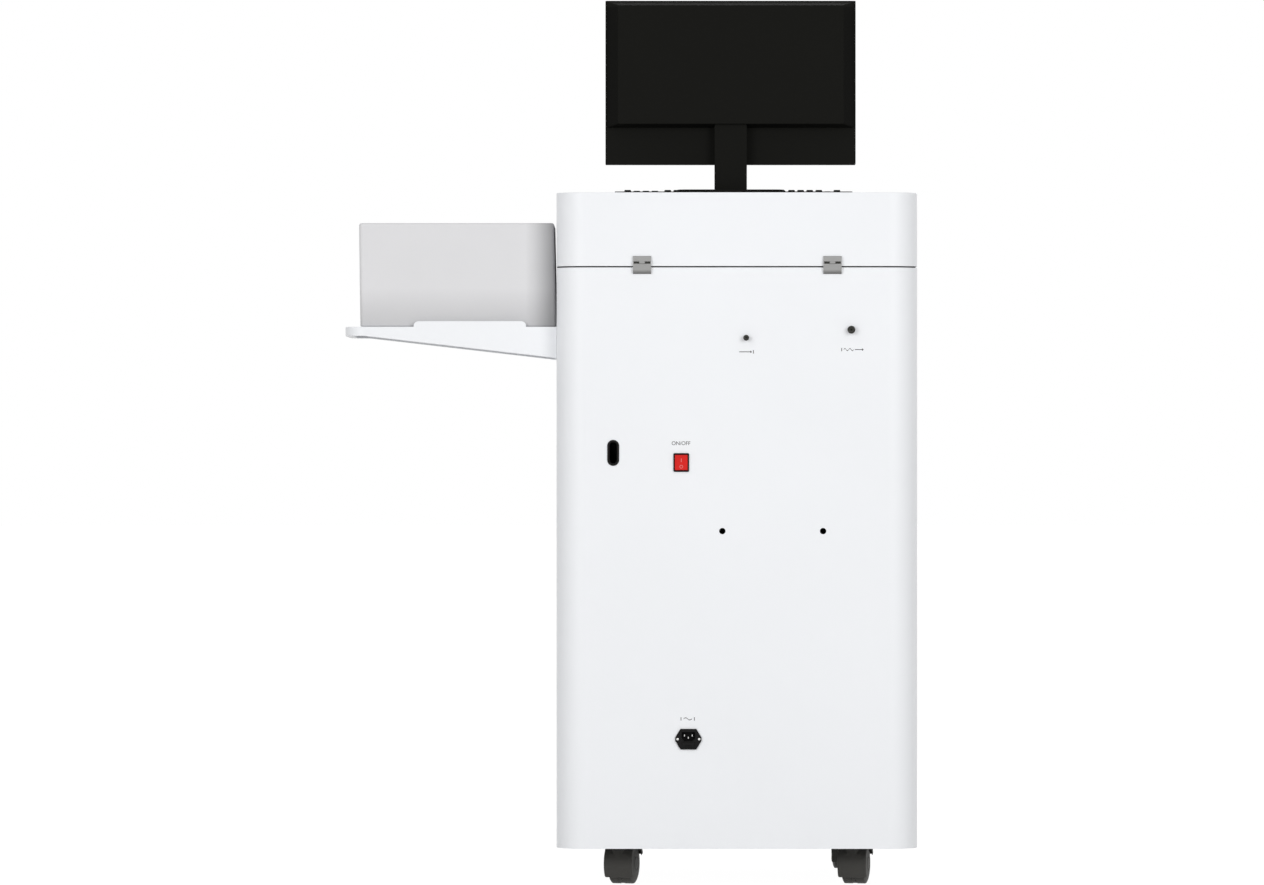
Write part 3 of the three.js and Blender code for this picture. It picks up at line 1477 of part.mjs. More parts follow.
function keyRowY(row) {
  const last = mainRows.length;
  return keyFrontMargin + row * keyRowPitch + (row === last ? functionRowGap : 0);
}

function keycap([x0, x1], [y0, y1], [z0, z1]) {
  const box = new THREE.BoxGeometry(x1 - x0, y1 - y0, z1 - z0);
  const place = box.getAttribute("position");
  for (let i = 0; i < place.count; i += 1) {
    if (place.getZ(i) > 0) {
      place.setX(i, place.getX(i) - Math.sign(place.getX(i)) * keyTaper);
      place.setY(i, place.getY(i) - Math.sign(place.getY(i)) * keyTaper);
    }
  }
  box.translate((x0 + x1) / 2, (y0 + y1) / 2, (z0 + z1) / 2);
  return solid(box);
}

// The footprint of a key that starts at a place in its row and is some key units wide
function keySpan(start, row, units) {
  return {
    xs: [start + keyGap / 2, start + units * keyPitch - keyGap / 2],
    ys: [keyRowY(row) + keyGap / 2, keyRowY(row) + keyRowPitch - keyGap / 2],
  };
}

function fixedKeys() {
  const spans = [];
  mainRows.forEach((row, rowIndex) => {
    let start = mainStart;
    row.forEach((units, keyIndex) => {
      const moves = [spaceBarAt, enterKeyAt].some(({ row: r, key }) => r === rowIndex && key === keyIndex);
      if (!moves) spans.push(keySpan(start, rowIndex, units));
      start += units * keyPitch;
    });
  });
  const top = mainRows.length;
  let groupStart = mainStart;
  for (const count of functionGroups) {
    for (let i = 0; i < count; i += 1) spans.push(keySpan(groupStart + i * keyPitch, top, 1));
    groupStart += count * keyPitch + functionKeyGap * (count === 1 ? 2 : 1);
  }
  const navRows = [[0, 1, 2], [1], [], [0, 1, 2], [0, 1, 2], [0, 1, 2]];
  navRows.forEach((columns, row) => {
    for (const column of columns) spans.push(keySpan(navStart + column * keyPitch, row, 1));
  });
  const padRows = [[[0, 2], [2, 1]], [[0, 1], [1, 1], [2, 1]], [[0, 1], [1, 1], [2, 1]],
    [[0, 1], [1, 1], [2, 1]], [[0, 1], [1, 1], [2, 1], [3, 1]], [[0, 1], [1, 1], [2, 1], [3, 1]]];
  padRows.forEach((keys, row) => {
    for (const [column, units] of keys) spans.push(keySpan(padStart + column * keyPitch, row, units));
  });
  for (const row of [0, 2]) {
    const tall = keySpan(padStart + navUnits * keyPitch, row, 1);
    tall.ys[1] += keyRowPitch;
    spans.push(tall);
  }
  return spans;
}

function movingKeySpan({ row, key }) {
  const before = mainRows[row].slice(0, key).reduce((sum, units) => sum + units, 0);
  return keySpan(mainStart + before * keyPitch, row, mainRows[row][key]);
}

function keyStemSpans({ xs, ys }, gap) {
  const middleX = (xs[0] + xs[1]) / 2;
  const middleY = (ys[0] + ys[1]) / 2;
  return [about(middleX, 2 * (keyStem + gap)), about(middleY, 2 * (keyStem + gap))];
}

function keyboardBody() {
  const profile = polygon([
    [keyboardEdge, 0],
    [keyboardDepth - keyboardEdge, 0],
    [keyboardDepth, keyboardEdge],
    [keyboardDepth, keyboardTray - keyboardEdge],
    [keyboardDepth - keyboardEdge, keyboardTray],
    [2 * keyboardEdge, keyboardTray],
    [0, keyboardTray / 2],
  ]);
  const tray = prism("X", profile, about(0, keyboardWidth));
  const caps = fixedKeys().map(({ xs, ys }) => keycap(xs, ys,
    [keyboardTray - keySink, keyboardTray + keyHeight]));
  const wells = [spaceBarAt, enterKeyAt].flatMap((at) => {
    const span = movingKeySpan(at);
    const stem = keyStemSpans(span, keyStemGap);
    return [
      block([span.xs[0] - keyStemGap, span.xs[1] + keyStemGap],
        [span.ys[0] - keyStemGap, span.ys[1] + keyStemGap],
        [keyboardTray - keyWell, keyboardTray + overrun]),
      block(stem[0], stem[1], [keyboardTray - 3 * keyWell, keyboardTray]),
    ];
  });
  const feet = [-keyboardFootX, keyboardFootX].flatMap((x) => {
    const axis = keyboardFootAxis();
    const length = keyboardRise + 2 * keyboardFootBarrel;
    return [
      block(about(x, keyboardFootWidth + 2 * runningGap),
        [axis[0] - length - overrun / 4, axis[0] + keyboardFootBarrel + runningGap],
        [-overrun, keyboardFootPocket]),
      rod("X", keyboardFootPinRadius + runningGap, axis,
        about(x, keyboardFootWidth + 2 * keyboardFootPinReach + 2 * runningGap), smallSides),
    ];
  });
  return cut(join(tray, ...caps), ...wells, ...feet);
}

function movingKey(at) {
  const span = movingKeySpan(at);
  const stem = keyStemSpans(span, 0);
  return join(
    keycap(span.xs, span.ys, [keyboardTray + seatGap, keyboardTray + keyHeight]),
    block(stem[0], stem[1], [keyboardTray - keyWell, keyboardTray + keyHeight / 2]),
  );
}

function keyboardFootAxis() {
  return [keyboardDepth - keyboardFootInset, keyboardFootBarrel + runningGap];
}

// A flip foot stands square to the lid, so it leans by the keyboard's tilt in the keyboard's own frame
function keyboardFoot(x) {
  const [axisY, axisZ] = keyboardFootAxis();
  const lift = axisY * Math.sin(keyboardTilt * degree) + axisZ * Math.cos(keyboardTilt * degree);
  const leg = block(about(x, keyboardFootWidth), about(0, keyboardFootThickness), [-lift, 0]);
  const barrel = rod("X", keyboardFootBarrel, [0, 0], about(x, keyboardFootWidth), smallSides);
  const pins = rod("X", keyboardFootPinRadius, [0, 0], about(x,
    keyboardFootWidth + 2 * keyboardFootPinReach), smallSides);
  return join(leg, barrel, pins);
}

function addKeyboard(group) {
  const keyboard = new THREE.Group();
  keyboard.position.set(keyboardX, keyboardFrontY, lidSurface);
  keyboard.rotation.x = keyboardTilt * degree;
  piece(keyboard, "keyboard_body", keyboardBody(), blackPlastic);
  piece(keyboard, "space_bar", movingKey(spaceBarAt), blackPlastic);
  piece(keyboard, "enter_key", movingKey(enterKeyAt), blackPlastic);
  const place = { position: [0, ...keyboardFootAxis()], tilt: -keyboardTilt };
  piece(keyboard, "keyboard_foot_left", keyboardFoot(-keyboardFootX), blackPlastic, place);
  piece(keyboard, "keyboard_foot_right", keyboardFoot(keyboardFootX), blackPlastic, place);
  group.add(keyboard);
}

// Monitor

function monitorOutline(inset) {
  return roundedRect(about(monitorX, monitorWidth - 2 * inset), [monitorFoot + inset, monitorTop - inset],
    monitorCorner);
}

// The raised box on the rear cover narrows to its rear face
function raisedBox() {
  const box = new THREE.BoxGeometry(raisedFaceWidth, raisedBoxDepth, raisedFaceHeight);
  const place = box.getAttribute("position");
  for (let i = 0; i < place.count; i += 1) {
    if (place.getY(i) < 0) {
      const up = place.getZ(i) > 0;
      place.setX(i, place.getX(i) + Math.sign(place.getX(i)) * raisedBevelSide);
      place.setZ(i, place.getZ(i) + (up ? raisedBevelTop : -raisedBevelFoot));
    }
  }
  box.translate(monitorX, monitorRearY - raisedBoxDepth / 2, (raisedFoot + raisedTop) / 2);
  return solid(box);
}

function monitorRearCover() {
  const shell = prism("Y", monitorOutline(0), [coverFrontY, coverRearY]);
  const pocketHalf = columnWidth / 2 + tiltPocketSide;
  const pocket = block(about(monitorX, 2 * pocketHalf),
    [monitorRearY - tiltPocketDepth, monitorRearY - tiltPocketWall],
    [raisedFoot - overrun, tiltAxisHeight + tiltPocketUp]);
  const pinBore = rod("X", columnPinRadius + runningGap, [columnY, tiltAxisHeight],
    about(monitorX, columnWidth + 2 * columnPinReach + 2 * runningGap), smallSides);
  return cut(join(shell, raisedBox()), pocket, pinBore);
}

function bezelWindow(gap) {
  return roundedRect(about(monitorX, monitorWidth - 2 * bezelBorder + 2 * gap),
    [monitorFoot + bezelChin - gap, monitorTop - bezelBorder + gap], screenRecess);
}

function monitorButtonPlace() {
  return [monitorX + monitorWidth / 2 - monitorButtonSide, monitorFoot + bezelChin / 2];
}

function monitorBezel() {
  const frame = prism("Y", monitorOutline(0), [bezelFrontY, bezelRearY]);
  const window = prism("Y", bezelWindow(0), [bezelFrontY - overrun, bezelRearY + overrun]);
  const buttonHole = rod("Y", monitorButtonRadius + runningGap, monitorButtonPlace(),
    [bezelFrontY - overrun, bezelRearY + overrun], smallSides);
  return cut(frame, window, buttonHole);
}

function monitorScreen() {
  return prism("Y", bezelWindow(-seatGap), from(bezelFrontY + screenRecess, screenThickness));
}

function monitorButton() {
  return rod("Y", monitorButtonRadius, monitorButtonPlace(),
    [bezelFrontY - monitorButtonProud, bezelRearY - 2 * monitorButtonTravel], smallSides);
}

function monitorColumn() {
  const width = about(monitorX, columnWidth);
  const post = block(width, about(columnY, columnThickness), [baseTop + seatGap, tiltAxisHeight]);
  const head = rod("X", columnHeadRadius, [columnY, tiltAxisHeight], width);
  const pins = rod("X", columnPinRadius, [columnY, tiltAxisHeight],
    about(monitorX, columnWidth + 2 * columnPinReach), smallSides);
  return join(post, head, pins);
}

function monitorBase() {
  const rear = columnY + standBaseBehindColumn;
  const plan = roundedRect(about(monitorX, standBaseWidth), [rear - standBaseDepth, rear], standBaseCorner);
  return roundedSlab(plan, [lidSurface, baseTop], standBaseBevel);
}

// Assembly, moved so that the whole object stands over the middle of its own footprint
const assembly = new THREE.Group();
const footprintX = (trayTipX - sideX) / 2;
assembly.position.set(-footprintX, 0, datumLift);
spectrometer.add(assembly);

piece(assembly, "cabinet_shell", cabinetShell(), whitePaint);
piece(assembly, "base_frame", baseFrame(), greyPaint);
piece(assembly, "inner_deck", innerDeck(), greyPaint);
piece(assembly, "equipment_shelf", equipmentShelf(), greyPaint);
piece(assembly, "front_upper_panel", frontUpperPanel(), whitePaint);
piece(assembly, "niche_liner", nicheLiner(), greyPaint);
piece(assembly, "front_door", frontDoor(), whitePaint);
piece(assembly, "door_latch", doorLatch(), darkMetal);
addCastors(assembly);

piece(assembly, "spark_stand_body", sparkStandBody(), castAluminium);
piece(assembly, "spark_plate", sparkPlate(), satinSteel);
piece(assembly, "counter_electrode", counterElectrode(), darkMetal);
piece(assembly, "clamp_post", clampPost(), satinSteel);
piece(assembly, "clamp_arm", clampArm(), castAluminium);
piece(assembly, "clamp_rod", clampRod(), darkMetal);
piece(assembly, "start_button", pushButton(startButtonHeight), greenPlastic);
piece(assembly, "stop_button", pushButton(stopButtonHeight), redPlastic);

piece(assembly, "optics_chamber", opticsChamber(), castAluminium);
piece(assembly, "optics_cover", opticsCover(), castAluminium);
piece(assembly, "concave_grating", concaveGrating(), gratingGlass);
piece(assembly, "detector_bar", detectorBar(), darkMetal);
piece(assembly, "spark_source_box", moduleCover(sourceBoxXs, sourceBoxYs, frameTop + seatGap,
  sourceBoxHeight), zinc);
piece(assembly, "power_supply", moduleCover(powerSupplyXs, powerSupplyYs, frameTop + seatGap,
  powerSupplyHeight), zinc);
piece(assembly, "computer_case", moduleCover(computerXs, computerYs, shelfHeight + seatGap, computerHeight),
  darkPlastic);
piece(assembly, "argon_manifold", argonManifold(), brass);

piece(assembly, "argon_inlet_fitting",
  gasFitting([argonX, argonHeight], argonCollarRadius, argonNoseRadius, argonBoreRadius, argonNutRadius),
  darkMetal);
piece(assembly, "waste_gas_fitting",
  gasFitting([wasteX, wasteHeight], wasteCollarRadius, wasteNoseRadius, wasteBoreRadius, wasteNutRadius),
  darkMetal);
piece(assembly, "cable_slot_grommet", cableSlotGrommet(), blackRubber);
piece(assembly, "rocker_bezel", rockerBezel(), blackPlastic);
piece(assembly, "rocker_key", rockerKey(), redPlastic,
  { position: [rockerX, rearY - rockerPivotDepth, rockerHeight], tilt: -rockerTravel / 2 });
piece(assembly, "power_inlet", powerInlet(), blackPlastic);
piece(assembly, "fuse_drawer", fuseDrawer(), blackPlastic);

piece(assembly, "lid_shell", lidShell(), whitePaint);
for (const [side, x] of [["left", -hingeX], ["right", hingeX]]) {
  piece(assembly, `hinge_lower_leaf_${side}`, hingeLowerLeaf(x), satinSteel);
  piece(assembly, `hinge_upper_leaf_${side}`, hingeUpperLeaf(x), satinSteel);
}

piece(assembly, "shelf_tray", shelfTray(), whitePaint);
piece(assembly, "printer_body", printerBody(), lightGreyPlastic);
piece(assembly, "printer_top_cover", printerTopCover(), lightGreyPlastic);
piece(assembly, "printer_tray_flap", printerTrayFlap(), lightGreyPlastic);
piece(assembly, "printer_button", printerButton(), darkPlastic);

addKeyboard(assembly);

piece(assembly, "monitor_rear_cover", monitorRearCover(), blackPlastic);
piece(assembly, "monitor_bezel", monitorBezel(), blackPlastic);
piece(assembly, "monitor_screen", monitorScreen(), screenGlass);
piece(assembly, "monitor_button", monitorButton(), darkPlastic);
piece(assembly, "monitor_column", monitorColumn(), blackPlastic);
piece(assembly, "monitor_base", monitorBase(), blackPlastic);

export default spectrometer;
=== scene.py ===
"""Looks of a floor-standing optical emission spectrometer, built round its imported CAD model.

Sizes are in millimetres. Across the object they are counted from the cabinet's own centre line, and heights
from a datum level a little above the floor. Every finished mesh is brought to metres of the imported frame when
it becomes a piece.
"""
import logging
import math
from dataclasses import dataclass, field
from enum import Enum
from typing import Any, Callable, Sequence

import bmesh
import bpy
from mathutils import Matrix, Vector

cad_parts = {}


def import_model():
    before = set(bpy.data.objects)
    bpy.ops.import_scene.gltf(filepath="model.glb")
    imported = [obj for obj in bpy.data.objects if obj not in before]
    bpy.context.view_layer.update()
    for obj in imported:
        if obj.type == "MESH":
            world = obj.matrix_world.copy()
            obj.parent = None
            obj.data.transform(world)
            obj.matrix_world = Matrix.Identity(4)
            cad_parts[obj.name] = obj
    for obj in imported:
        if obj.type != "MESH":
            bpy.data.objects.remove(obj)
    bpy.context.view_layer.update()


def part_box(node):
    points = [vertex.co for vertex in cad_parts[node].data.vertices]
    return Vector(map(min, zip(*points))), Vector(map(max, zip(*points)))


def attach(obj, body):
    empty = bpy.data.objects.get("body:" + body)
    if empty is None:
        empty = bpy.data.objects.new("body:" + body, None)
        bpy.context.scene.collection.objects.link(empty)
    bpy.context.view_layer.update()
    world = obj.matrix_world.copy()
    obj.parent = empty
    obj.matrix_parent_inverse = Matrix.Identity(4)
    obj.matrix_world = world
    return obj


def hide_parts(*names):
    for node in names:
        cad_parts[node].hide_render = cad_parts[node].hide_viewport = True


log = logging.getLogger("spectrometer")

Loop = list[tuple[float, float]]
Span = tuple[float, float]
Outline = Callable[[float], Loop]

MILLIMETRE = 0.001
CENTRE_X = -191.0
DATUM_Z = 6.5
OVERRUN = 12.0
SEAT_GAP = 0.3
RUNNING_GAP = 0.4
SMOOTH_ANGLE = math.radians(35)
FLAT_ANGLE = math.radians(0.1)
WELD = 1e-4


class Axis(Enum):
    """The direction in which a drawn outline gets its depth."""

    X = "X"
    Y = "Y"
    Z = "Z"

    def point(self, u: float, v: float, along: float) -> Vector:
        """A point of the drawing plane, at a place along the axis."""
        if self is Axis.X:
            return Vector((along, u, v))
        if self is Axis.Y:
            return Vector((u, along, v))
        return Vector((u, v, along))


class Corner(Enum):
    """The four places of the castors, with the heading that each one stands at in degrees."""

    REAR_LEFT = ("rear_left", -1, 1, -12.0)
    REAR_RIGHT = ("rear_right", 1, 1, -16.0)
    FRONT_LEFT = ("front_left", -1, -1, 2.0)
    FRONT_RIGHT = ("front_right", 1, -1, -4.0)


def about(middle: float, length: float) -> Span:
    """A length laid out from its middle."""
    return middle - length / 2, middle + length / 2


def reach(start: float, length: float) -> Span:
    """A length laid out from its start."""
    return start, start + length


def between(first: float, second: float) -> Span:
    """A span from its two ends, given in either order."""
    return min(first, second), max(first, second)


def stepped(profile: Sequence[tuple[float, float]], start: float) -> Loop:
    """A turned profile of radii and places, with its places counted from a start."""
    return [(radius, start + place) for radius, place in profile]


def linked(name: str, data: Any) -> bpy.types.Object:
    """An object of the given data, linked to the scene."""
    obj = bpy.data.objects.new(name, data)
    bpy.context.scene.collection.objects.link(obj)
    return obj


def arc(centre: tuple[float, float], radius: float, start: float, end: float, steps: int) -> Loop:
    """Points along an arc.

    Args:
        centre: the arc's centre in the drawing plane.
        radius: its radius.
        start: the first angle in degrees.
        end: the last angle in degrees.
        steps: how many chords it has.

    Returns:
        The points from the first angle to the last.
    """
    made = []
    for i in range(steps + 1):
        angle = math.radians(start + (end - start) * i / steps)
        made.append((centre[0] + radius * math.cos(angle), centre[1] + radius * math.sin(angle)))
    return made


def circle(centre: tuple[float, float], radius: float, sides: int = 32) -> Loop:
    """A full circle of points."""
    return arc(centre, radius, 0, 360, sides)[:-1]


def rounded_rect(us: Span, vs: Span, radius: float, steps: int = 6) -> Loop:
    """A rectangle with round corners.

    Args:
        us: its span across.
        vs: its span upward.
        radius: the corners' radius.
        steps: chords in each corner.

    Returns:
        The outline, anticlockwise.
    """
    return (arc((us[1] - radius, vs[0] + radius), radius, -90, 0, steps)
            + arc((us[1] - radius, vs[1] - radius), radius, 0, 90, steps)
            + arc((us[0] + radius, vs[1] - radius), radius, 90, 180, steps)
            + arc((us[0] + radius, vs[0] + radius), radius, 180, 270, steps))


class Solid:
    """A closed mesh in millimetres, counted across from the cabinet's centre line."""

    def __init__(self, mesh: bpy.types.Mesh) -> None:
        """Keep a mesh that is already closed."""
        self.mesh = mesh

    @classmethod
    def _of(cls, made: bmesh.types.BMesh) -> "Solid":
        """Close a bmesh into a solid whose faces point outward."""
        bmesh.ops.recalc_face_normals(made, faces=made.faces)
        mesh = bpy.data.meshes.new("solid")
        made.to_mesh(mesh)
        made.free()
        return cls(mesh)

    @classmethod
    def lofted(cls, axis: Axis, rings: Sequence[tuple[Loop, float]]) -> "Solid":
        """Join outlines that have the same number of points.

        Args:
            axis: the direction from ring to ring.
            rings: each outline and its place along the axis.

        Returns:
            The closed form between the first ring and the last.
        """
        made = bmesh.new()
        layers = [[made.verts.new(axis.point(u, v, place)) for u, v in loop] for loop, place in rings]
        count = len(layers[0])
        for low, high in zip(layers, layers[1:]):
            for i in range(count):
                j = (i + 1) % count
                made.faces.new((low[i], low[j], high[j], high[i]))
        made.faces.new(layers[0][::-1])
        made.faces.new(layers[-1])
        return cls._of(made)

    @classmethod
    def prism(cls, axis: Axis, loop: Loop, span: Span) -> "Solid":
        """An outline with a depth along an axis."""
        return cls.lofted(axis, [(loop, span[0]), (loop, span[1])])

    @classmethod
    def box(cls, xs: Span, ys: Span, zs: Span) -> "Solid":
        """A block between three pairs of faces."""
        return cls.prism(Axis.Z, [(xs[0], ys[0]), (xs[1], ys[0]), (xs[1], ys[1]), (xs[0], ys[1])], zs)

    @classmethod
    def rod(cls, axis: Axis, radius: float, centre: tuple[float, float], span: Span,
            sides: int = 32) -> "Solid":
        """A round bar; its centre is given in the other two axes."""
        return cls.prism(axis, circle(centre, radius, sides), span)

    @classmethod
    def turned(cls, axis: Axis, profile: Loop, centre: tuple[float, float],
               sides: int = 40) -> "Solid":
        """A turned piece.

        Args:
            axis: the turning axis.
            profile: radius and place along the axis; it ends on the axis, or closes on itself as a tube.
            centre: where the axis stands in the other two axes.
            sides: how many facets go round.

        Returns:
            The closed turned form.
        """
        made = bmesh.new()
        rings = []
        for radius, place in profile:
            if radius == 0:
                rings.append([made.verts.new(axis.point(centre[0], centre[1], place))])
            else:
                rings.append([made.verts.new(axis.point(u, v, place))
                              for u, v in circle(centre, radius, sides)])
        pairs = list(zip(rings, rings[1:]))
        if profile[0][0] > 0:
            pairs.append((rings[-1], rings[0]))
        for low, high in pairs:
            for i in range(sides):
                j = (i + 1) % sides
                corners = [low[i % len(low)], low[j % len(low)], high[j % len(high)], high[i % len(high)]]
                kept = [v for k, v in enumerate(corners) if v not in corners[:k]]
                if len(kept) > 2:
                    made.faces.new(kept)
        return cls._of(made)

    @classmethod
    def slab(cls, outline: Outline, span: Span, top_edge: float = 0.0, foot_edge: float = 0.0,
             steps: int = 5) -> "Solid":
        """A slab whose upper and lower edges are rounded.

        Args:
            outline: gives the plan outline, drawn in by an inset.
            span: its foot and top.
            top_edge: the upper edge's radius.
            foot_edge: the lower edge's radius.
            steps: chords in each rounded edge.

        Returns:
            The slab, standing along Z.
        """
        rings = []
        for i in range(steps + 1 if foot_edge else 0):
            angle = math.pi / 2 * i / steps
            rings.append((outline(foot_edge * (1 - math.sin(angle))),
                          span[0] + foot_edge * (1 - math.cos(angle))))
        if not foot_edge:
            rings.append((outline(0), span[0]))
        for i in range(steps + 1 if top_edge else 0):
            angle = math.pi / 2 * i / steps
            rings.append((outline(top_edge * (1 - math.cos(angle))),
                          span[1] - top_edge * (1 - math.sin(angle))))
        if not top_edge:
            rings.append((outline(0), span[1]))
        return cls.lofted(Axis.Z, rings)

    def _worked(self, prepare: Callable[[bpy.types.Object], None]) -> "Solid":
        """Run modifiers over the mesh and keep what they make."""
        loose = linked("loose", self.mesh.copy())
        prepare(loose)
        bpy.context.view_layer.update()
        depsgraph = bpy.context.evaluated_depsgraph_get()
        result = bpy.data.meshes.new_from_object(loose.evaluated_get(depsgraph))
        bpy.data.objects.remove(loose)
        return Solid(result)

    def _combined(self, operation: str, others: Sequence["Solid"]) -> "Solid":
        """Cut by or join with other solids, one after another."""
        tools = []

        def prepare(loose: bpy.types.Object) -> None:
            """Add one modifier for each tool."""
            for other in others:
                tool = linked("tool", other.mesh)
                tools.append(tool)
                modifier = loose.modifiers.new("combine", "BOOLEAN")
                modifier.operation = operation
                modifier.solver = "EXACT"
                modifier.object = tool

        result = self._worked(prepare)
        for tool in tools:
            bpy.data.objects.remove(tool)
        made = bmesh.new()
        made.from_mesh(result.mesh)
        bmesh.ops.remove_doubles(made, verts=made.verts, dist=WELD)
        bmesh.ops.dissolve_limit(made, angle_limit=FLAT_ANGLE, verts=made.verts, edges=made.edges,
                                 delimit={"NORMAL"})
        made.to_mesh(result.mesh)
        made.free()
        return result

    def cut(self, *others: "Solid") -> "Solid":
        """Take other solids away."""
        return self._combined("DIFFERENCE", others)

    def join(self, *others: "Solid") -> "Solid":
        """Add other solids."""
        return self._combined("UNION", others)

    def kept_inside(self, other: "Solid") -> "Solid":
        """Keep only what lies inside another solid."""
        return self._combined("INTERSECT", [other])

    def softened(self, width: float, segments: int = 3, angle: float = 38.0) -> "Solid":
        """Round the sharp edges.

        Args:
            width: the rounding's width.
            segments: chords in each rounding.
            angle: edges that turn by less than this many degrees stay as they are.

        Returns:
            The solid with soft edges.
        """

        def prepare(loose: bpy.types.Object) -> None:
            """Add the bevel."""
            modifier = loose.modifiers.new("soften", "BEVEL")
            modifier.width = width
            modifier.segments = segments
            modifier.limit_method = "ANGLE"
            modifier.angle_limit = math.radians(angle)
            modifier.use_clamp_overlap = True

        return self._worked(prepare)

    def moved(self, matrix: Matrix) -> "Solid":
        """A copy in another place."""
        mesh = self.mesh.copy()
        mesh.transform(matrix)
        return Solid(mesh)

    def beside(self, *others: "Solid") -> "Solid":
        """This solid and others in one mesh, not joined."""
        made = bmesh.new()
        for solid in (self, *others):
            made.from_mesh(solid.mesh)
        mesh = bpy.data.meshes.new("solid")
        made.to_mesh(mesh)
        made.free()
        return Solid(mesh)

    def piece(self, name: str, body: str, stands_for: Sequence[str] = ()) -> bpy.types.Object:
        """Make the shown piece.

        Args:
            name: the piece's name.
            body: the CAD body that it moves with.
            stands_for: the CAD nodes that it is shown in place of.

        Returns:
            The object, at the origin, in metres.
        """
        placed = self.moved(Matrix.Scale(MILLIMETRE, 4) @ Matrix.Translation((CENTRE_X, 0, DATUM_Z)))
        placed.mesh.shade_smooth()
        placed.mesh.set_sharp_from_angle(angle=SMOOTH_ANGLE)

        def prepare(loose: bpy.types.Object) -> None:
            """Add the weighted normals."""
            loose.modifiers.new("normals", "WEIGHTED_NORMAL").keep_sharp = True

        mesh = placed._worked(prepare).mesh
        mesh.name = name
        obj = linked(name, mesh)
        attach(obj, body)
        if stands_for:
            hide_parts(*stands_for)
        return obj


def feed(tree: bpy.types.NodeTree, socket: bpy.types.NodeSocket, value: Any) -> None:
    """Give a socket a link or a value; a colour may come without its alpha."""
    if isinstance(value, Channel):
        value = value.socket
    if isinstance(value, bpy.types.NodeSocket):
        tree.links.new(value, socket)
    elif socket.type == "RGBA" and len(value) == 3:
        socket.default_value = (*value, 1)
    else:
        socket.default_value = value


def add_node(tree: bpy.types.NodeTree, kind: str, settings: dict[str, Any] | None = None,
             inputs: dict[str | int, Any] | None = None) -> bpy.types.Node:
    """Add a node to a tree.

    Args:
        tree: the tree of a recipe, a material or the world.
        kind: the node's type.
        settings: its options, set before its sockets.
        inputs: a value, a socket or a channel for each input.

    Returns:
        The node.
    """
    node = tree.nodes.new(kind)
    for label, value in (settings or {}).items():
        setattr(node, label, value)
    for label, value in (inputs or {}).items():
        feed(tree, node.inputs[label], value)
    return node


class Recipe:
    """A Geometry Nodes tree with named inputs, worked once over a mesh in millimetres."""

    def __init__(self, name: str, inputs: dict[str, float | int]) -> None:
        """Start a tree.

        Args:
            name: the tree's name.
            inputs: its named inputs with their usual values.
        """
        self.tree = bpy.data.node_groups.new(name, "GeometryNodeTree")
        self.tree.is_modifier = True
        self.tree.interface.new_socket("Geometry", in_out="INPUT", socket_type="NodeSocketGeometry")
        self.tree.interface.new_socket("Geometry", in_out="OUTPUT", socket_type="NodeSocketGeometry")
        self.keys: dict[str, str] = {}
        for label, value in inputs.items():
            kind = "NodeSocketInt" if isinstance(value, int) else "NodeSocketFloat"
            socket = self.tree.interface.new_socket(label, in_out="INPUT", socket_type=kind)
            socket.default_value = value
            self.keys[label] = socket.identifier
        self.start = self.tree.nodes.new("NodeGroupInput")
        self.end = self.tree.nodes.new("NodeGroupOutput")

    def add(self, kind: str, settings: dict[str, Any] | None = None,
            inputs: dict[str | int, Any] | None = None) -> bpy.types.Node:
        """Add a node of a kind, with its settings and inputs."""
        return add_node(self.tree, kind, settings, inputs)

    def given(self, label: str) -> bpy.types.NodeSocket:
        """The socket of a named input."""
        return self.start.outputs[label]

    def close(self, geometry: bpy.types.NodeSocket) -> None:
        """End the tree in real geometry with its material."""
        real = self.add("GeometryNodeRealizeInstances", inputs={"Geometry": geometry})
        named = self.add("GeometryNodeSetMaterial", inputs={"Geometry": real.outputs[0]})
        self.tree.links.new(named.outputs[0], self.end.inputs[0])

    def worked(self, seed: bpy.types.Mesh, values: dict[str, float | int], finish: "Finish",
               soften: float = 0.0) -> Solid:
        """Run the tree.

        Args:
            seed: the mesh that it starts from.
            values: what its named inputs are given.
            finish: the finish that Set Material names.
            soften: the width of a bevel that follows it, if any.

        Returns:
            The plain mesh that it makes.
        """
        for node in self.tree.nodes:
            if node.bl_idname == "GeometryNodeSetMaterial":
                node.inputs["Material"].default_value = finish.material()

        def prepare(loose: bpy.types.Object) -> None:
            """Set the modifier's inputs by their identifiers."""
            modifier = loose.modifiers.new("recipe", "NODES")
            modifier.node_group = self.tree
            for label, value in values.items():
                modifier[self.keys[label]] = value
            if soften:
                bevel = loose.modifiers.new("soften", "BEVEL")
                bevel.width = soften
                bevel.segments = 2
                bevel.limit_method = "ANGLE"

        return Solid(seed)._worked(prepare)


def seed_points(points: Sequence[tuple[float, float, float]]) -> bpy.types.Mesh:
    """A mesh of loose points for a recipe to start from."""
    mesh = bpy.data.meshes.new("seed")
    mesh.from_pydata([tuple(p) for p in points], [], [])
    return mesh


def cap_screws(points: Sequence[tuple[float, float, float]], sizes: dict[str, float], soften: float) -> Solid:
    """Bright socket-head screws, upright on points."""
    return cap_screw_recipe().worked(seed_points(points), sizes, BRIGHT_STEEL, soften)


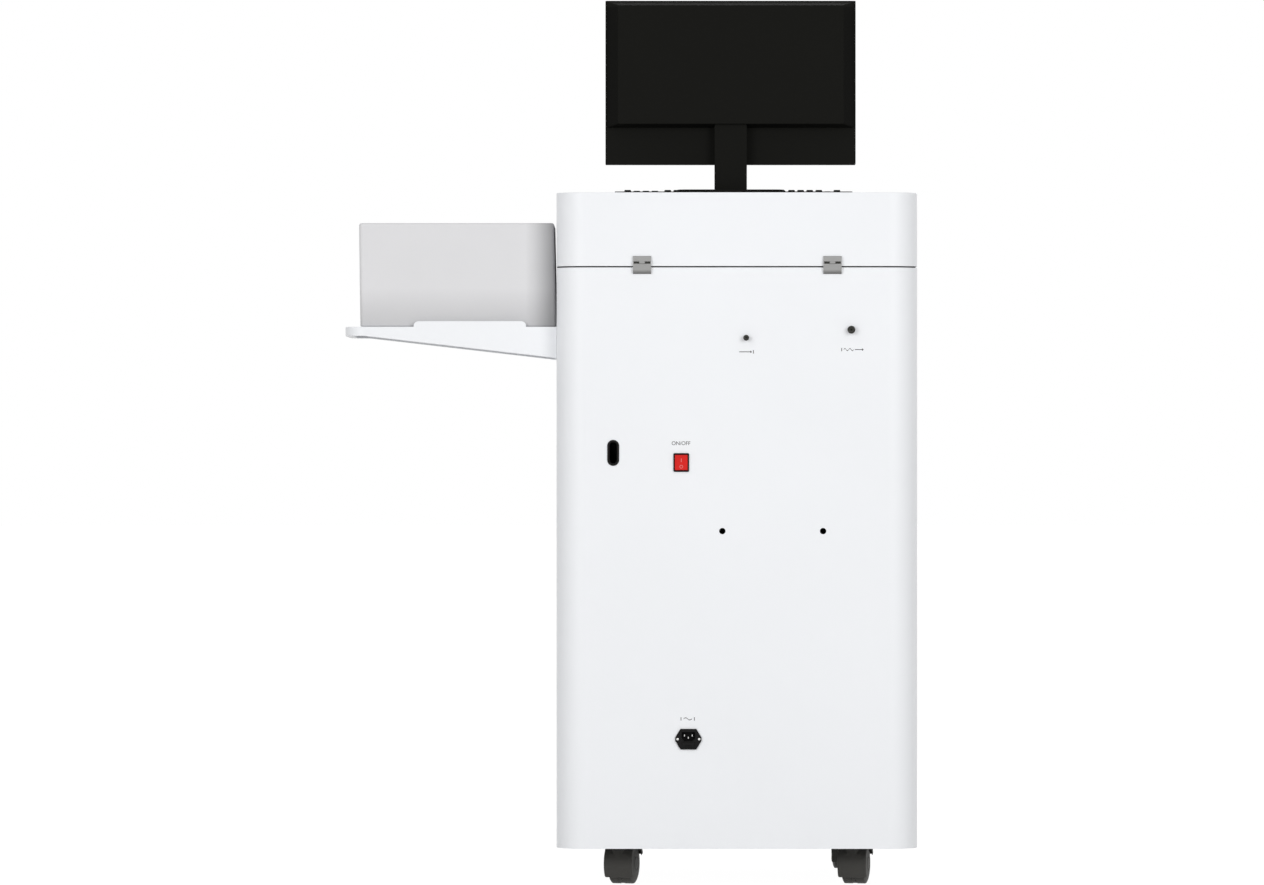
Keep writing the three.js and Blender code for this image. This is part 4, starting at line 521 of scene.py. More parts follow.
def cap_screw_recipe() -> Recipe:
    """Socket-head screws, upright on the given points."""
    recipe = Recipe("cap_screws",
                    {"Head Radius": 4.2, "Head Height": 5.0, "Socket Radius": 2.4, "Socket Depth": 2.6})
    head = recipe.add("GeometryNodeMeshCylinder", inputs={
        "Vertices": 24, "Radius": recipe.given("Head Radius"), "Depth": recipe.given("Head Height")})
    half = recipe.add("ShaderNodeMath", {"operation": "MULTIPLY"}, {0: recipe.given("Head Height"), 1: 0.5})
    rise = recipe.add("ShaderNodeCombineXYZ", inputs={"Z": half.outputs[0]})
    lifted = recipe.add("GeometryNodeTransform",
                        inputs={"Geometry": head.outputs[0], "Translation": rise.outputs[0]})
    bore = recipe.add("GeometryNodeMeshCylinder", inputs={
        "Vertices": 6, "Radius": recipe.given("Socket Radius"), "Depth": recipe.given("Socket Depth")})
    top = recipe.add("ShaderNodeCombineXYZ", inputs={"Z": recipe.given("Head Height")})
    raised = recipe.add("GeometryNodeTransform",
                        inputs={"Geometry": bore.outputs[0], "Translation": top.outputs[0]})
    screw = recipe.add("GeometryNodeMeshBoolean", {"operation": "DIFFERENCE"}, {
        "Mesh 1": lifted.outputs[0], "Mesh 2": raised.outputs[0]})
    points = recipe.add("GeometryNodeMeshToPoints", inputs={"Mesh": recipe.given("Geometry")})
    placed = recipe.add("GeometryNodeInstanceOnPoints", inputs={
        "Points": points.outputs[0], "Instance": screw.outputs[0]})
    recipe.close(placed.outputs[0])
    return recipe


def rib_ring_recipe() -> Recipe:
    """Straight ribs that stand out from a circle about Z, centred on the origin."""
    recipe = Recipe("rib_ring",
                    {"Count": 24, "Radius": 10.0, "Rib Length": 8.0, "Rib Width": 1.0, "Rib Depth": 1.0})
    ring = recipe.add("GeometryNodeMeshCircle", inputs={
        "Vertices": recipe.given("Count"), "Radius": recipe.given("Radius")})
    size = recipe.add("ShaderNodeCombineXYZ", inputs={
        "X": recipe.given("Rib Depth"), "Y": recipe.given("Rib Width"), "Z": recipe.given("Rib Length")})
    rib = recipe.add("GeometryNodeMeshCube", inputs={"Size": size.outputs[0]})
    place = recipe.add("GeometryNodeInputPosition")
    turn = recipe.add("FunctionNodeAlignRotationToVector", {"axis": "X", "pivot_axis": "Z"},
                      {"Vector": place.outputs[0]})
    placed = recipe.add("GeometryNodeInstanceOnPoints", inputs={
        "Points": ring.outputs[0], "Instance": rib.outputs[0], "Rotation": turn.outputs[0]})
    recipe.close(placed.outputs[0])
    return recipe


def keycap_recipe() -> Recipe:
    """Key caps that rise from flat footprints and narrow toward their tops.

    Each footprint face carries the share of its width and depth that its top keeps.
    """
    recipe = Recipe("key_caps", {"Cap Height": 8.5})
    raised = recipe.add("GeometryNodeExtrudeMesh", {"mode": "FACES"}, {
        "Mesh": recipe.given("Geometry"), "Offset Scale": recipe.given("Cap Height"), "Individual": True})
    shape = raised.outputs["Mesh"]
    for share, axis in (("top_width_share", (1, 0, 0)), ("top_depth_share", (0, 1, 0))):
        kept = recipe.add("GeometryNodeInputNamedAttribute", {"data_type": "FLOAT"}, {"Name": share})
        narrowed = recipe.add("GeometryNodeScaleElements", {"domain": "FACE", "scale_mode": "SINGLE_AXIS"}, {
            "Geometry": shape, "Selection": raised.outputs["Top"], "Scale": kept.outputs[0], "Axis": axis})
        shape = narrowed.outputs[0]
    under = recipe.add("GeometryNodeFlipFaces", inputs={"Mesh": recipe.given("Geometry")})
    both = recipe.add("GeometryNodeJoinGeometry")
    recipe.tree.links.new(shape, both.inputs[0])
    recipe.tree.links.new(under.outputs[0], both.inputs[0])
    closed = recipe.add("GeometryNodeMergeByDistance",
                        inputs={"Geometry": both.outputs[0], "Distance": 0.001})
    recipe.close(closed.outputs[0])
    return recipe


class Channel:
    """A socket of a material, on which sums are written as Python expressions."""

    def __init__(self, sheet: "NodeSheet", socket: bpy.types.NodeSocket) -> None:
        """Wrap a socket."""
        self.sheet = sheet
        self.socket = socket

    def _sum(self, operation: str, first: Any, second: Any) -> "Channel":
        """A Math node on two values."""
        return self.sheet.add("ShaderNodeMath", {"operation": operation}, {0: first, 1: second})

    def __add__(self, other: Any) -> "Channel":
        """This plus another."""
        return self._sum("ADD", self, other)

    def __sub__(self, other: Any) -> "Channel":
        """This less another."""
        return self._sum("SUBTRACT", self, other)

    def __rsub__(self, other: Any) -> "Channel":
        """Another less this."""
        return self._sum("SUBTRACT", other, self)

    def __mul__(self, other: Any) -> "Channel":
        """This times another."""
        return self._sum("MULTIPLY", self, other)

    def __truediv__(self, other: Any) -> "Channel":
        """This over another."""
        return self._sum("DIVIDE", self, other)

    __radd__ = __add__
    __rmul__ = __mul__


class NodeSheet:
    """A material and the one way in which its nodes are made."""

    def __init__(self, name: str) -> None:
        """Start a material with its shader."""
        self.material = bpy.data.materials.new(name)
        self.material.use_nodes = True
        self.tree = self.material.node_tree
        self.shader = self.tree.nodes["Principled BSDF"]

    def add(self, kind: str, settings: dict[str, Any] | None = None,
            inputs: dict[str | int, Any] | None = None,
            output: str | int = 0) -> Channel:
        """Add a node.

        Args:
            kind: the node's type.
            settings: its options, set before its sockets.
            inputs: a value or a channel for each input.
            output: which output to go on with.

        Returns:
            The output as a channel.
        """
        return Channel(self, add_node(self.tree, kind, settings, inputs).outputs[output])

    def surface(self, **values: Any) -> None:
        """Set the shader's sockets; an underscore stands for a space."""
        for label, value in values.items():
            feed(self.tree, self.shader.inputs[label.replace("_", " ")], value)

    def colour(self) -> Channel:
        """The base colour as it is drawn so far."""
        return Channel(self, self.shader.inputs["Base Color"].links[0].from_socket)

    def along(self, axis: str) -> Channel:
        """The place along one axis of the object, in metres."""
        return self.add("ShaderNodeSeparateXYZ", inputs={0: self.place()}, output=axis)

    def place(self, stretch: tuple[float, float, float] = (1, 1, 1)) -> Channel:
        """The place on the object, stretched along its axes."""
        point = self.add("ShaderNodeTexCoord", output="Object")
        return self.add("ShaderNodeMapping", inputs={"Vector": point, "Scale": stretch})

    def noise(self, place: Channel, scale: float, detail: float = 2.0, roughness: float = 0.5) -> Channel:
        """Soft noise from 0 to 1."""
        return self.add("ShaderNodeTexNoise", inputs={
            "Vector": place, "Scale": scale, "Detail": detail, "Roughness": roughness})

    def cells(self, place: Channel, scale: float) -> Channel:
        """The distance to the middle of the nearest of many small cells."""
        return self.add("ShaderNodeTexVoronoi", {"feature": "F1"}, {"Vector": place, "Scale": scale})

    def ramp(self, factor: Channel, low: float, high: float) -> Channel:
        """A factor stretched so that it runs from 0 at low to 1 at high."""
        return self.add("ShaderNodeMapRange", {"clamp": True},
                        {"Value": factor, "From Min": low, "From Max": high})

    def blend(self, factor: Channel, first: tuple, second: tuple) -> Channel:
        """A colour between two colours."""
        return self.add("ShaderNodeMix", {"data_type": "RGBA"}, {0: factor, 6: first, 7: second}, output=2)

    def relief(self, height: Channel, depth: float) -> Channel:
        """A bumped normal; the depth is in metres."""
        return self.add("ShaderNodeBump", inputs={"Height": height, "Distance": depth, "Strength": 1.0})


@dataclass(frozen=True)
class Finish:
    """A surface finish: its colour as it is seen, how it shines and the record's slot that it belongs to."""

    name: str
    slot: str
    colour: tuple[int, int, int]
    roughness: float
    metallic: float = 0.0
    gloss: float = 0.5

    def linear(self, shade: float = 1.0) -> tuple[float, ...]:
        """The colour as the shader takes it, made lighter or darker by a share."""
        made = []
        for channel in self.colour:
            value = channel / 255
            value = value / 12.92 if value <= 0.04045 else ((value + 0.055) / 1.055) ** 2.4
            made.append(min(value * shade, 1.0))
        return tuple(made)

    def texture(self, sheet: NodeSheet) -> None:
        """Draw the finish's own pattern."""
        raise NotImplementedError

    def material(self) -> bpy.types.Material:
        """The finish as a material, made once."""
        title = f"finish_{self.name}"
        found = bpy.data.materials.get(title)
        if found:
            return found
        sheet = NodeSheet(title)
        sheet.surface(Base_Color=self.linear(), Roughness=self.roughness, Metallic=self.metallic,
                      Specular_IOR_Level=self.gloss)
        self.texture(sheet)
        return sheet.material

    def dress(self, obj: bpy.types.Object) -> None:
        """Give the finish to a piece or a CAD node."""
        if not obj.data.materials:
            obj.data.materials.append(None)
        for slot in obj.material_slots:
            slot.material = self.material()


@dataclass(frozen=True)
class PowderPaint(Finish):
    """Baked powder paint with a faint orange peel."""

    peel: float = 0.00006
    cloud: float = 0.012

    def texture(self, sheet: NodeSheet) -> None:
        """Faint clouds of tone, fine peel and a gloss that varies with them."""
        place = sheet.place()
        tone = sheet.noise(place, 3.0, 3)
        speck = sheet.noise(place, 900, 1)
        both = tone * 0.7 + speck * 0.3
        sheet.surface(
            Base_Color=sheet.blend(sheet.ramp(both, 0.3, 0.7), self.linear(1 - self.cloud),
                                   self.linear(1 + self.cloud)),
            Roughness=tone * 0.08 + speck * 0.05 + (self.roughness - 0.065),
            Normal=sheet.relief(sheet.noise(place, 260, 2) + speck * 0.35, self.peel),
        )


@dataclass(frozen=True)
class MouldedPlastic(Finish):
    """Moulded plastic with a fine spark-eroded grain."""

    grain: float = 0.00003
    cell: float = 1300.0
    tone: float = 0.05

    def texture(self, sheet: NodeSheet) -> None:
        """A grain of small cells, and the slight sheen marks that handling leaves."""
        place = sheet.place()
        cells = sheet.cells(place, self.cell)
        marks = sheet.noise(place, 11, 4, 0.6)
        sheet.surface(
            Base_Color=sheet.blend(sheet.ramp(marks * 0.7 + cells * 0.4, 0.3, 0.75),
                                   self.linear(1 - self.tone),
                                   self.linear(1 + self.tone)),
            Roughness=marks * 0.12 + cells * 0.06 + (self.roughness - 0.08),
            Normal=sheet.relief(cells, self.grain),
        )


@dataclass(frozen=True)
class GrainedMetal(Finish):
    """Metal with a ground grain along one axis."""

    stretch: tuple[float, float, float] = (1.0, 1.0, 0.03)
    lines: float = 2600.0
    depth: float = 0.000008

    def texture(self, sheet: NodeSheet) -> None:
        """Long fine scratches in the gloss, the tone and the relief."""
        streak = sheet.noise(sheet.place(self.stretch), self.lines, 3, 0.65)
        cloud = sheet.noise(sheet.place(), 24, 3)
        sheet.surface(
            Base_Color=sheet.blend(sheet.ramp(streak * 0.6 + cloud * 0.4, 0.3, 0.7), self.linear(0.88),
                                   self.linear(1.1)),
            Roughness=streak * 0.22 + cloud * 0.1 + (self.roughness - 0.16),
            Normal=sheet.relief(streak, self.depth),
        )


@dataclass(frozen=True)
class RollShadedSteel(GrainedMetal):
    """Ground steel with painted shade that deepens down its rolled lower end."""

    roll: Span = (1.1018, 1.1095)
    painted_roll_shade: float = 0.6
    dark: tuple = (0.02, 0.02, 0.018)

    def texture(self, sheet: NodeSheet) -> None:
        """The grain, below painted shade that deepens down the roll."""
        super().texture(sheet)
        grain = sheet.colour()
        # painted shade: the tone deepens down the leaf's rolled foot, where its curve turns from the light
        down = sheet.ramp(sheet.along("Z"), self.roll[1], self.roll[0])
        sheet.surface(Base_Color=sheet.blend(down * self.painted_roll_shade, grain, self.dark))


@dataclass(frozen=True)
class ShadePaintedPlastic(MouldedPlastic):
    """Moulded plastic with painted shade: each shade has a depth and its ramps, as axis, start and end."""

    painted_shades: tuple = ()
    deepest_shade: float = 0.12

    def texture(self, sheet: NodeSheet) -> None:
        """The grain, below the painted shade."""
        super().texture(sheet)
        tone = sheet.colour()
        for share, *ramps in self.painted_shades:
            for axis, start, end in ramps:
                share = sheet.ramp(sheet.along(axis), start, end) * share
            # painted shade: each ramped share darkens the colour toward the deepest shade
            tone = sheet.blend(share, tone, self.linear(self.deepest_shade))
        sheet.surface(Base_Color=tone)


@dataclass(frozen=True)
class CastMetal(Finish):
    """Sand-cast or die-cast metal with a pebbled skin."""

    pebble: float = 0.00012
    size: float = 420.0

    def texture(self, sheet: NodeSheet) -> None:
        """Pebbles, with darker hollows between them."""
        place = sheet.place()
        pebbles = sheet.cells(place, self.size)
        fine = sheet.noise(place, self.size * 3, 3, 0.6)
        hollow = sheet.ramp(pebbles * 0.7 + fine * 0.3, 0.2, 0.75)
        sheet.surface(
            Base_Color=sheet.blend(hollow, self.linear(1.06), self.linear(0.8)),
            Roughness=hollow * 0.2 + (self.roughness - 0.1),
            Normal=sheet.relief(1 - hollow, self.pebble),
        )


@dataclass(frozen=True)
class SoftRubber(Finish):
    """Rubber with a dusty bloom."""

    bloom: float = 0.5

    def texture(self, sheet: NodeSheet) -> None:
        """Cloudy bloom over a fine matt skin."""
        place = sheet.place()
        cloud = sheet.noise(place, 30, 5, 0.65)
        skin = sheet.noise(place, 1500, 2)
        sheet.surface(
            Base_Color=sheet.blend(sheet.ramp(cloud, 0.4, 0.75), self.linear(), self.linear(1 + self.bloom)),
            Roughness=cloud * 0.15 + (self.roughness - 0.08),
            Normal=sheet.relief(skin, 0.00003),
        )


@dataclass(frozen=True)
class ScreenFace(Finish):
    """A dark display behind its anti-glare film."""

    film: float = 0.25

    def texture(self, sheet: NodeSheet) -> None:
        """A faint grid of picture lines below a softly sparkling film."""
        place = sheet.place()
        lines = sheet.add("ShaderNodeTexWave", {"wave_type": "BANDS", "bands_direction": "Z"}, {
            "Vector": place, "Scale": 560.0}, output="Fac")
        sparkle = sheet.noise(place, 2600, 1)
        sheet.surface(
            Base_Color=sheet.blend(lines, self.linear(0.85), self.linear(1.15)),
            Roughness=sparkle * 0.14 + (self.roughness - 0.07),
            Normal=sheet.relief(sparkle, 0.00001),
            Coat_Weight=self.film,
        )


@dataclass(frozen=True)
class RuledMirror(Finish):
    """A mirror ruled with close grooves, with painted bands of diffraction colour."""

    rulings: float = 900.0

    def texture(self, sheet: NodeSheet) -> None:
        """Slow bands of painted diffraction colour over close ruled lines."""
        place = sheet.place()
        bands = sheet.add("ShaderNodeTexWave", {"wave_type": "BANDS", "bands_direction": "X"}, {
            "Vector": place, "Scale": 9.0, "Distortion": 1.5}, output="Fac")
        rules = sheet.add("ShaderNodeTexWave", {"wave_type": "BANDS", "bands_direction": "X"}, {
            "Vector": place, "Scale": self.rulings}, output="Fac")
        sheet.surface(
            # painted reflection: fixed blue-to-amber bands stand in for the grating's diffracted light
            Base_Color=sheet.blend(bands, (0.35, 0.62, 0.85), (0.85, 0.66, 0.5)),
            Normal=sheet.relief(rules, 0.000004),
        )


@dataclass(frozen=True)
class PrintedInk(Finish):
    """Screen-printed ink, a little worn."""

    wear: float = 0.25

    def texture(self, sheet: NodeSheet) -> None:
        """Thin spots where the paint below shows a little."""
        thin = sheet.ramp(sheet.noise(sheet.place(), 1400, 3, 0.7), 0.55, 0.8)
        sheet.surface(Base_Color=sheet.blend(thin, self.linear(), self.linear(1 + self.wear * 4)),
                      Roughness=thin * 0.15 + self.roughness)


WHITE_PAINT = PowderPaint("white_powder_paint", "white_paint", (244, 246, 249), 0.4, gloss=0.25)
GREY_PAINT = PowderPaint("grey_powder_paint", "grey_paint", (150, 155, 160), 0.5)
ZINC = GrainedMetal("zinc_sheet", "zinc_plate", (186, 189, 193), 0.42, 0.9, stretch=(1.0, 0.05, 1.0),
                    lines=900.0)
# satin steel whose hinge leaves carry painted shade down their rolled feet
SATIN_STEEL = RollShadedSteel("satin_steel", "satin_steel", (150, 150, 149), 0.5, 0.25, stretch=(0.04, 1.0, 1.0))
BRIGHT_STEEL = GrainedMetal("bright_steel", "satin_steel", (214, 214, 212), 0.3, 0.85,
                            stretch=(0.04, 1.0, 1.0))
CAST_ALUMINIUM = CastMetal("cast_aluminium", "cast_aluminium", (178, 181, 184), 0.5, 0.85)
DARK_METAL = CastMetal("dark_metal", "dark_metal", (60, 60, 56), 0.5, 0.3, 0.2, pebble=0.00004, size=900.0)
BRASS = GrainedMetal("valve_brass", "valve_brass", (190, 155, 90), 0.34, 1.0, stretch=(1.0, 1.0, 0.1))
CASTOR_PLASTIC = MouldedPlastic("castor_plastic", "castor_plastic", (80, 79, 76), 0.55, gloss=0.2, cell=900.0)
BLACK_PLASTIC = MouldedPlastic("black_plastic", "black_plastic", (25, 25, 23), 0.65, gloss=0.02)
INLET_PLASTIC = MouldedPlastic("inlet_plastic", "black_plastic", (20, 20, 20), 0.5, gloss=0.1, cell=1600.0)
BLACK_RUBBER = SoftRubber("black_rubber", "black_rubber", (24, 24, 23), 0.75, gloss=0.1)
RED_PLASTIC = MouldedPlastic("red_plastic", "red_plastic", (216, 40, 36), 0.4, gloss=0.12, grain=0.00001)
GREEN_PLASTIC = MouldedPlastic("green_plastic", "green_plastic", (47, 154, 74), 0.4, gloss=0.2, grain=0.00001)
# painted shadow that deepens toward the cabinet's side wall, and painted shade low down above the shelf
PRINTER_PLASTIC = ShadePaintedPlastic("printer_plastic", "light_grey_plastic", (222, 222, 224), 0.5, gloss=0.2,
                               tone=0.012,
                               painted_shades=((0.55, ("X", 0.19, 0.1385)), (0.28, ("Z", 1.078, 1.008))))
# painted shade on the side and lower bevels of the rear cover's raised box
MONITOR_PLASTIC = ShadePaintedPlastic("monitor_plastic", "black_plastic", (25, 25, 23), 0.65, gloss=0.02, painted_shades=(
    (0.42, ("Y", 0.0443, 0.0453), ("Y", 0.0748, 0.0738), ("Z", 1.5995, 1.5975)),))
SCREEN = ScreenFace("screen_face", "screen_face", (13, 14, 17), 0.24)
GRATING = RuledMirror("grating_face", "grating_face", (170, 182, 196), 0.12, 1.0)
INK = PrintedInk("printed_ink", "", (52, 49, 49), 0.55)
PALE_INK = PrintedInk("pale_ink", "", (226, 122, 120), 0.5)


@dataclass
class SubAssembly:
    """Pieces that are built and dressed together."""

    made: dict[str, bpy.types.Object] = field(default_factory=dict, init=False, repr=False)

    def keep(self, name: str, solid: Solid, body: str, *stands_for: str) -> None:
        """Make a piece of a solid and remember it."""
        self.made[name] = solid.piece(name, body, stands_for)

    def build(self) -> None:
        """Build the meshes."""
        raise NotImplementedError

    def dress(self) -> None:
        """Give every piece its finish."""
        raise NotImplementedError

    def paint(self, finish: Finish, *names: str) -> None:
        """Give a finish to pieces by name, or to all that have none yet."""
        for name in names or [n for n, obj in self.made.items() if not obj.data.materials]:
            finish.dress(self.made[name])


@dataclass
class Enclosure(SubAssembly):
    """The cabinet's wrap with its rear cut-outs, and the lid over it."""

    width: float = 650.0
    depth: float = 730.0
    foot: float = 63.0
    top: float = 1107.1
    corner: float = 55.0
    sheet: float = 2.0
    opening_half: float = 262.0
    hem_depth: float = 20.0
    lid_foot: float = 1109.5
    lid_top: float = 1242.0
    lid_edge: float = 1.2
    corner_steps: int = 20
    gas_holes: tuple = ((-16.0, 980.8, 4.9), (-204.9, 995.3, 6.0))
    access_holes: tuple = ((26.8, 633.6, 5.65), (-154.1, 633.6, 5.65))
    slot_hole: tuple = (222.8, 774.1, 18.5, 43.8)
    rocker_hole: tuple = (100.6, 756.8, 26.6, 32.1)
    inlet_hole: tuple = (87.8, 260.1, 28.2, 33.0)

    def plan(self, inset: float) -> Loop:
        """The cabinet's outline in plan, drawn in from its outer face."""
        return rounded_rect(about(0, self.width - 2 * inset), about(0, self.depth - 2 * inset),
                            self.corner - inset, self.corner_steps)

    def rear_cutouts(self) -> list[Solid]:
        """The tools that open the rear wall."""
        rear = self.depth / 2
        through = (rear - self.sheet - OVERRUN, rear + OVERRUN)
        tools = [Solid.rod(Axis.Y, r, (x, z), through, 32) for x, z, r in self.gas_holes + self.access_holes]
        x, z, wide, high = self.slot_hole
        tools.append(Solid.prism(Axis.Y, rounded_rect(about(x, wide), about(z, high), wide / 2, 12), through))
        for x, z, wide, high in (self.rocker_hole, self.inlet_hole):
            tools.append(Solid.box(about(x, wide), through, about(z, high)))
        return tools

    def wrap(self) -> Solid:
        """Rear wall and sides in one bend, open at the front between two hems."""
        front = -self.depth / 2
        zs = (self.foot, self.top)
        clear = (self.foot - OVERRUN, self.top + OVERRUN)
        hem = front + self.hem_depth
        body = Solid.prism(Axis.Z, self.plan(0), zs).cut(
            Solid.prism(Axis.Z, self.plan(self.sheet), clear),
            Solid.box((-self.opening_half, self.opening_half), (front - OVERRUN, hem), clear))
        hems = [Solid.box(between(side * self.opening_half, side * (self.opening_half + self.sheet)),
                          (front, hem), zs)
                for side in (-1, 1)]
        return body.join(*hems).cut(*self.rear_cutouts()).softened(0.35, 2)

    def lid(self) -> Solid:
        """The deep lid, open below."""
        outer = Solid.slab(self.plan, (self.lid_foot, self.lid_top), self.lid_edge)
        inner = Solid.prism(Axis.Z, self.plan(self.sheet),
                            (self.lid_foot - OVERRUN, self.lid_top - self.sheet))
        return outer.cut(inner).softened(0.35, 2)

    def build(self) -> None:
        """Build the wrap and the lid."""
        self.keep("cabinet_wrap", self.wrap(), "cabinet", "cabinet_shell")
        self.keep("lid_cover", self.lid(), "lid", "lid_shell")

    def dress(self) -> None:
        """White powder paint all over."""
        self.paint(WHITE_PAINT)


@dataclass
class LidHinges(SubAssembly):
    """Two short hinges across the rear joint between cabinet and lid."""

    centres: tuple = (("left", -171.0), ("right", 171.0))
    width: float = 32.6
    foot: float = 1095.3
    head: float = 1127.6
    axis_y: float = 368.2
    axis_z: float = 1115.6
    wall_y: float = 365.3
    leaf: float = 5.0
    slot: float = 4.0
    tongue: float = 10.0
    knuckle: float = 2.9
    pin: float = 1.6
    ear: float = 1.5
    roll: float = 7.2
    step_down: float = 6.2
    upper_edge: tuple = ((0.0, 6.2), (0.7, 5.2), (0.7, 1.2), (1.9, 0.0))

    def ears(self, x: float, radius: float, extra: float) -> list[Solid]:
        """The two outer knuckles, or the room for them."""
        made = []
        for side in (-1, 1):
            ends = between(x + side * (self.width / 2 + extra),
                           x + side * (self.width / 2 - self.ear - extra))
            made.append(Solid.rod(Axis.X, radius, (self.axis_y, self.axis_z), ends, 24))
        return made

    def lower_leaf(self, x: float) -> Solid:
        """The leaf on the cabinet, whose lower end rolls back to the wall."""
        face = self.wall_y + self.leaf
        top = self.axis_z - self.slot / 2
        turns = [math.radians(degrees) for degrees in range(90, -1, -10)]
        roll = [(self.wall_y + self.leaf * math.cos(a), self.foot + self.roll * (1 - math.sin(a)))
                for a in turns]
        side = roll + [(face, top), (self.wall_y, top)]
        body = Solid.prism(Axis.X, side, about(x, self.width)).cut(
            Solid.rod(Axis.X, self.knuckle + RUNNING_GAP, (self.axis_y, self.axis_z),
                      about(x, self.tongue + 2 * RUNNING_GAP), 24))
        necks = []
        for end in (-1, 1):
            xs = between(x + end * self.width / 2, x + end * (self.width / 2 - self.ear))
            necks.append(Solid.box(xs, (self.wall_y, face), (top - self.slot, self.axis_z)))
        return body.join(*necks, *self.ears(x, self.knuckle, 0)).softened(0.4)

    def upper_leaf(self, x: float) -> Solid:
        """The leaf on the lid, with its middle knuckle."""
        face = self.wall_y + self.leaf
        low = self.axis_z + self.slot / 2
        edge = [(face - back, self.head - down) for back, down in self.upper_edge]
        side = [(self.wall_y, low), (face, low), *edge, (self.wall_y, self.head)]
        body = Solid.prism(Axis.X, side, about(x, self.width)).softened(0.4)
        tongue = Solid.box(about(x, self.tongue), (self.wall_y, face),
                           (self.axis_z, self.head - self.step_down))
        knuckle = Solid.rod(Axis.X, self.knuckle, (self.axis_y, self.axis_z), about(x, self.tongue), 24)
        bore = Solid.rod(Axis.X, self.pin + RUNNING_GAP, (self.axis_y, self.axis_z),
                         about(x, 2 * self.width), 20)
        return body.join(tongue, knuckle).cut(bore, *self.ears(x, self.knuckle + RUNNING_GAP, RUNNING_GAP))

    def build(self) -> None:
        """Build both leaves and the pin of each hinge."""
        for side, x in self.centres:
            self.keep(f"hinge_lower_{side}", self.lower_leaf(x), "cabinet", f"hinge_lower_leaf_{side}")
            self.keep(f"hinge_upper_{side}", self.upper_leaf(x), "lid", f"hinge_upper_leaf_{side}")
            pin = Solid.rod(Axis.X, self.pin, (self.axis_y, self.axis_z), about(x, self.width - 0.6), 20)
            self.keep(f"hinge_pin_{side}", pin.softened(0.25, 2), "cabinet")

    def dress(self) -> None:
        """Satin steel leaves with painted shade on their rolled feet, on dark pins."""
        self.paint(DARK_METAL, *[f"hinge_pin_{side}" for side, _ in self.centres])
        self.paint(SATIN_STEEL)


@dataclass
class GasFittings(SubAssembly):
    """The two bulkhead unions on the rear wall: gas in and gas out."""

    wall_y: float = 365.3
    tail_y: float = 343.7
    nut_rear_y: float = 362.7
    nut: float = 7.0
    collar: float = 3.5
    nose: float = 9.0
    bore_depth: float = 16.0
    neck_wall: float = 1.0
    seat: float = 1.2
    throat_share: float = 0.4
    unions: tuple = (("argon_union", "argon_inlet_fitting", -16.0, 980.8, 5.15, 4.6, 3.5, 8.0),
                     ("waste_gas_union", "waste_gas_fitting", -204.9, 995.3, 7.0, 6.2, 4.6, 10.0))

    def union_body(self, x: float, z: float, collar: float, nose: float, bore: float) -> Solid:
        """The turned body with its collar, nose, grip ring and bore."""
        neck = bore + self.neck_wall
        face = self.wall_y + self.collar
        end = face + self.nose
        groove = nose - 0.7
        throat = bore * self.throat_share
        return Solid.turned(Axis.Y, [
            (0, self.tail_y), (neck - 0.5, self.tail_y), (neck, self.tail_y + 0.5),
            (neck, self.wall_y), (collar - 0.4, self.wall_y), (collar, self.wall_y + 0.4),
            (collar, face - 0.7), (collar - 0.7, face), (nose, face), (nose, face + 4.2),
            (groove, face + 4.5), (groove, face + 5.6), (nose, face + 5.9), (nose, end - 0.8),
            (nose - 0.8, end), (bore + 0.5, end), (bore, end - 0.5),
            (bore, end - self.seat), (throat, end - self.seat - 0.4), (throat, end - self.bore_depth),
            (0, end - self.bore_depth),
        ], (x, z), 48)

    def build(self) -> None:
        """Build each union and its six-sided nut inside the wall."""
        for name, node, x, z, collar, nose, bore, nut in self.unions:
            self.keep(name, self.union_body(x, z, collar, nose, bore), "cabinet", node)
            ring = Solid.rod(Axis.Y, nut * 1.08, (x, z), (self.nut_rear_y - self.nut, self.nut_rear_y), 6)
            hole = Solid.rod(Axis.Y, bore + self.neck_wall + 0.05, (x, z), (self.tail_y, self.wall_y), 32)
            self.keep(f"{name}_nut", ring.cut(hole).softened(0.4, 2), "cabinet")

    def dress(self) -> None:
        """Dark bodies with bright nuts."""
        self.paint(BRIGHT_STEEL, *[n for n in self.made if n.endswith("_nut")])
        self.paint(DARK_METAL)


@dataclass
class CableSlot(SubAssembly):
    """The long slot in the rear wall, edged with a grommet."""

    x: float = 222.8
    z: float = 774.1
    width: float = 21.3
    height: float = 46.6
    rim: float = 4.0
    overlap: float = 1.8
    flange: float = 1.6
    inner_wall_y: float = 363.0
    wall_y: float = 365.3

    def outline(self, inset: float) -> Loop:
        """The slot's outline, drawn in by an inset."""
        wide = self.width - 2 * inset
        return rounded_rect(about(self.x, wide), about(self.z, self.height - 2 * inset), wide / 2, 14)

    def build(self) -> None:
        """Build the grommet: a lip inside, a neck and a rolled rim outside."""
        lip = self.inner_wall_y - SEAT_GAP
        rings = [(self.outline(inset), y) for inset, y in (
            (self.overlap / 2 + 0.5, lip - self.flange), (self.overlap / 2, lip - self.flange + 0.5),
            (self.overlap / 2, lip), (self.overlap, lip), (self.overlap, self.wall_y), (0.0, self.wall_y),
            (0.0, self.wall_y + self.flange - 1.1), (0.3, self.wall_y + self.flange - 0.4),
            (1.0, self.wall_y + self.flange))]
        slot = Solid.prism(Axis.Y, self.outline(self.rim), (lip - OVERRUN, self.wall_y + OVERRUN))
        self.keep("slot_grommet", Solid.lofted(Axis.Y, rings).cut(slot).softened(0.4, 2), "cabinet",
                  "cable_slot_grommet")

    def dress(self) -> None:
        """Black rubber."""
        self.paint(BLACK_RUBBER)


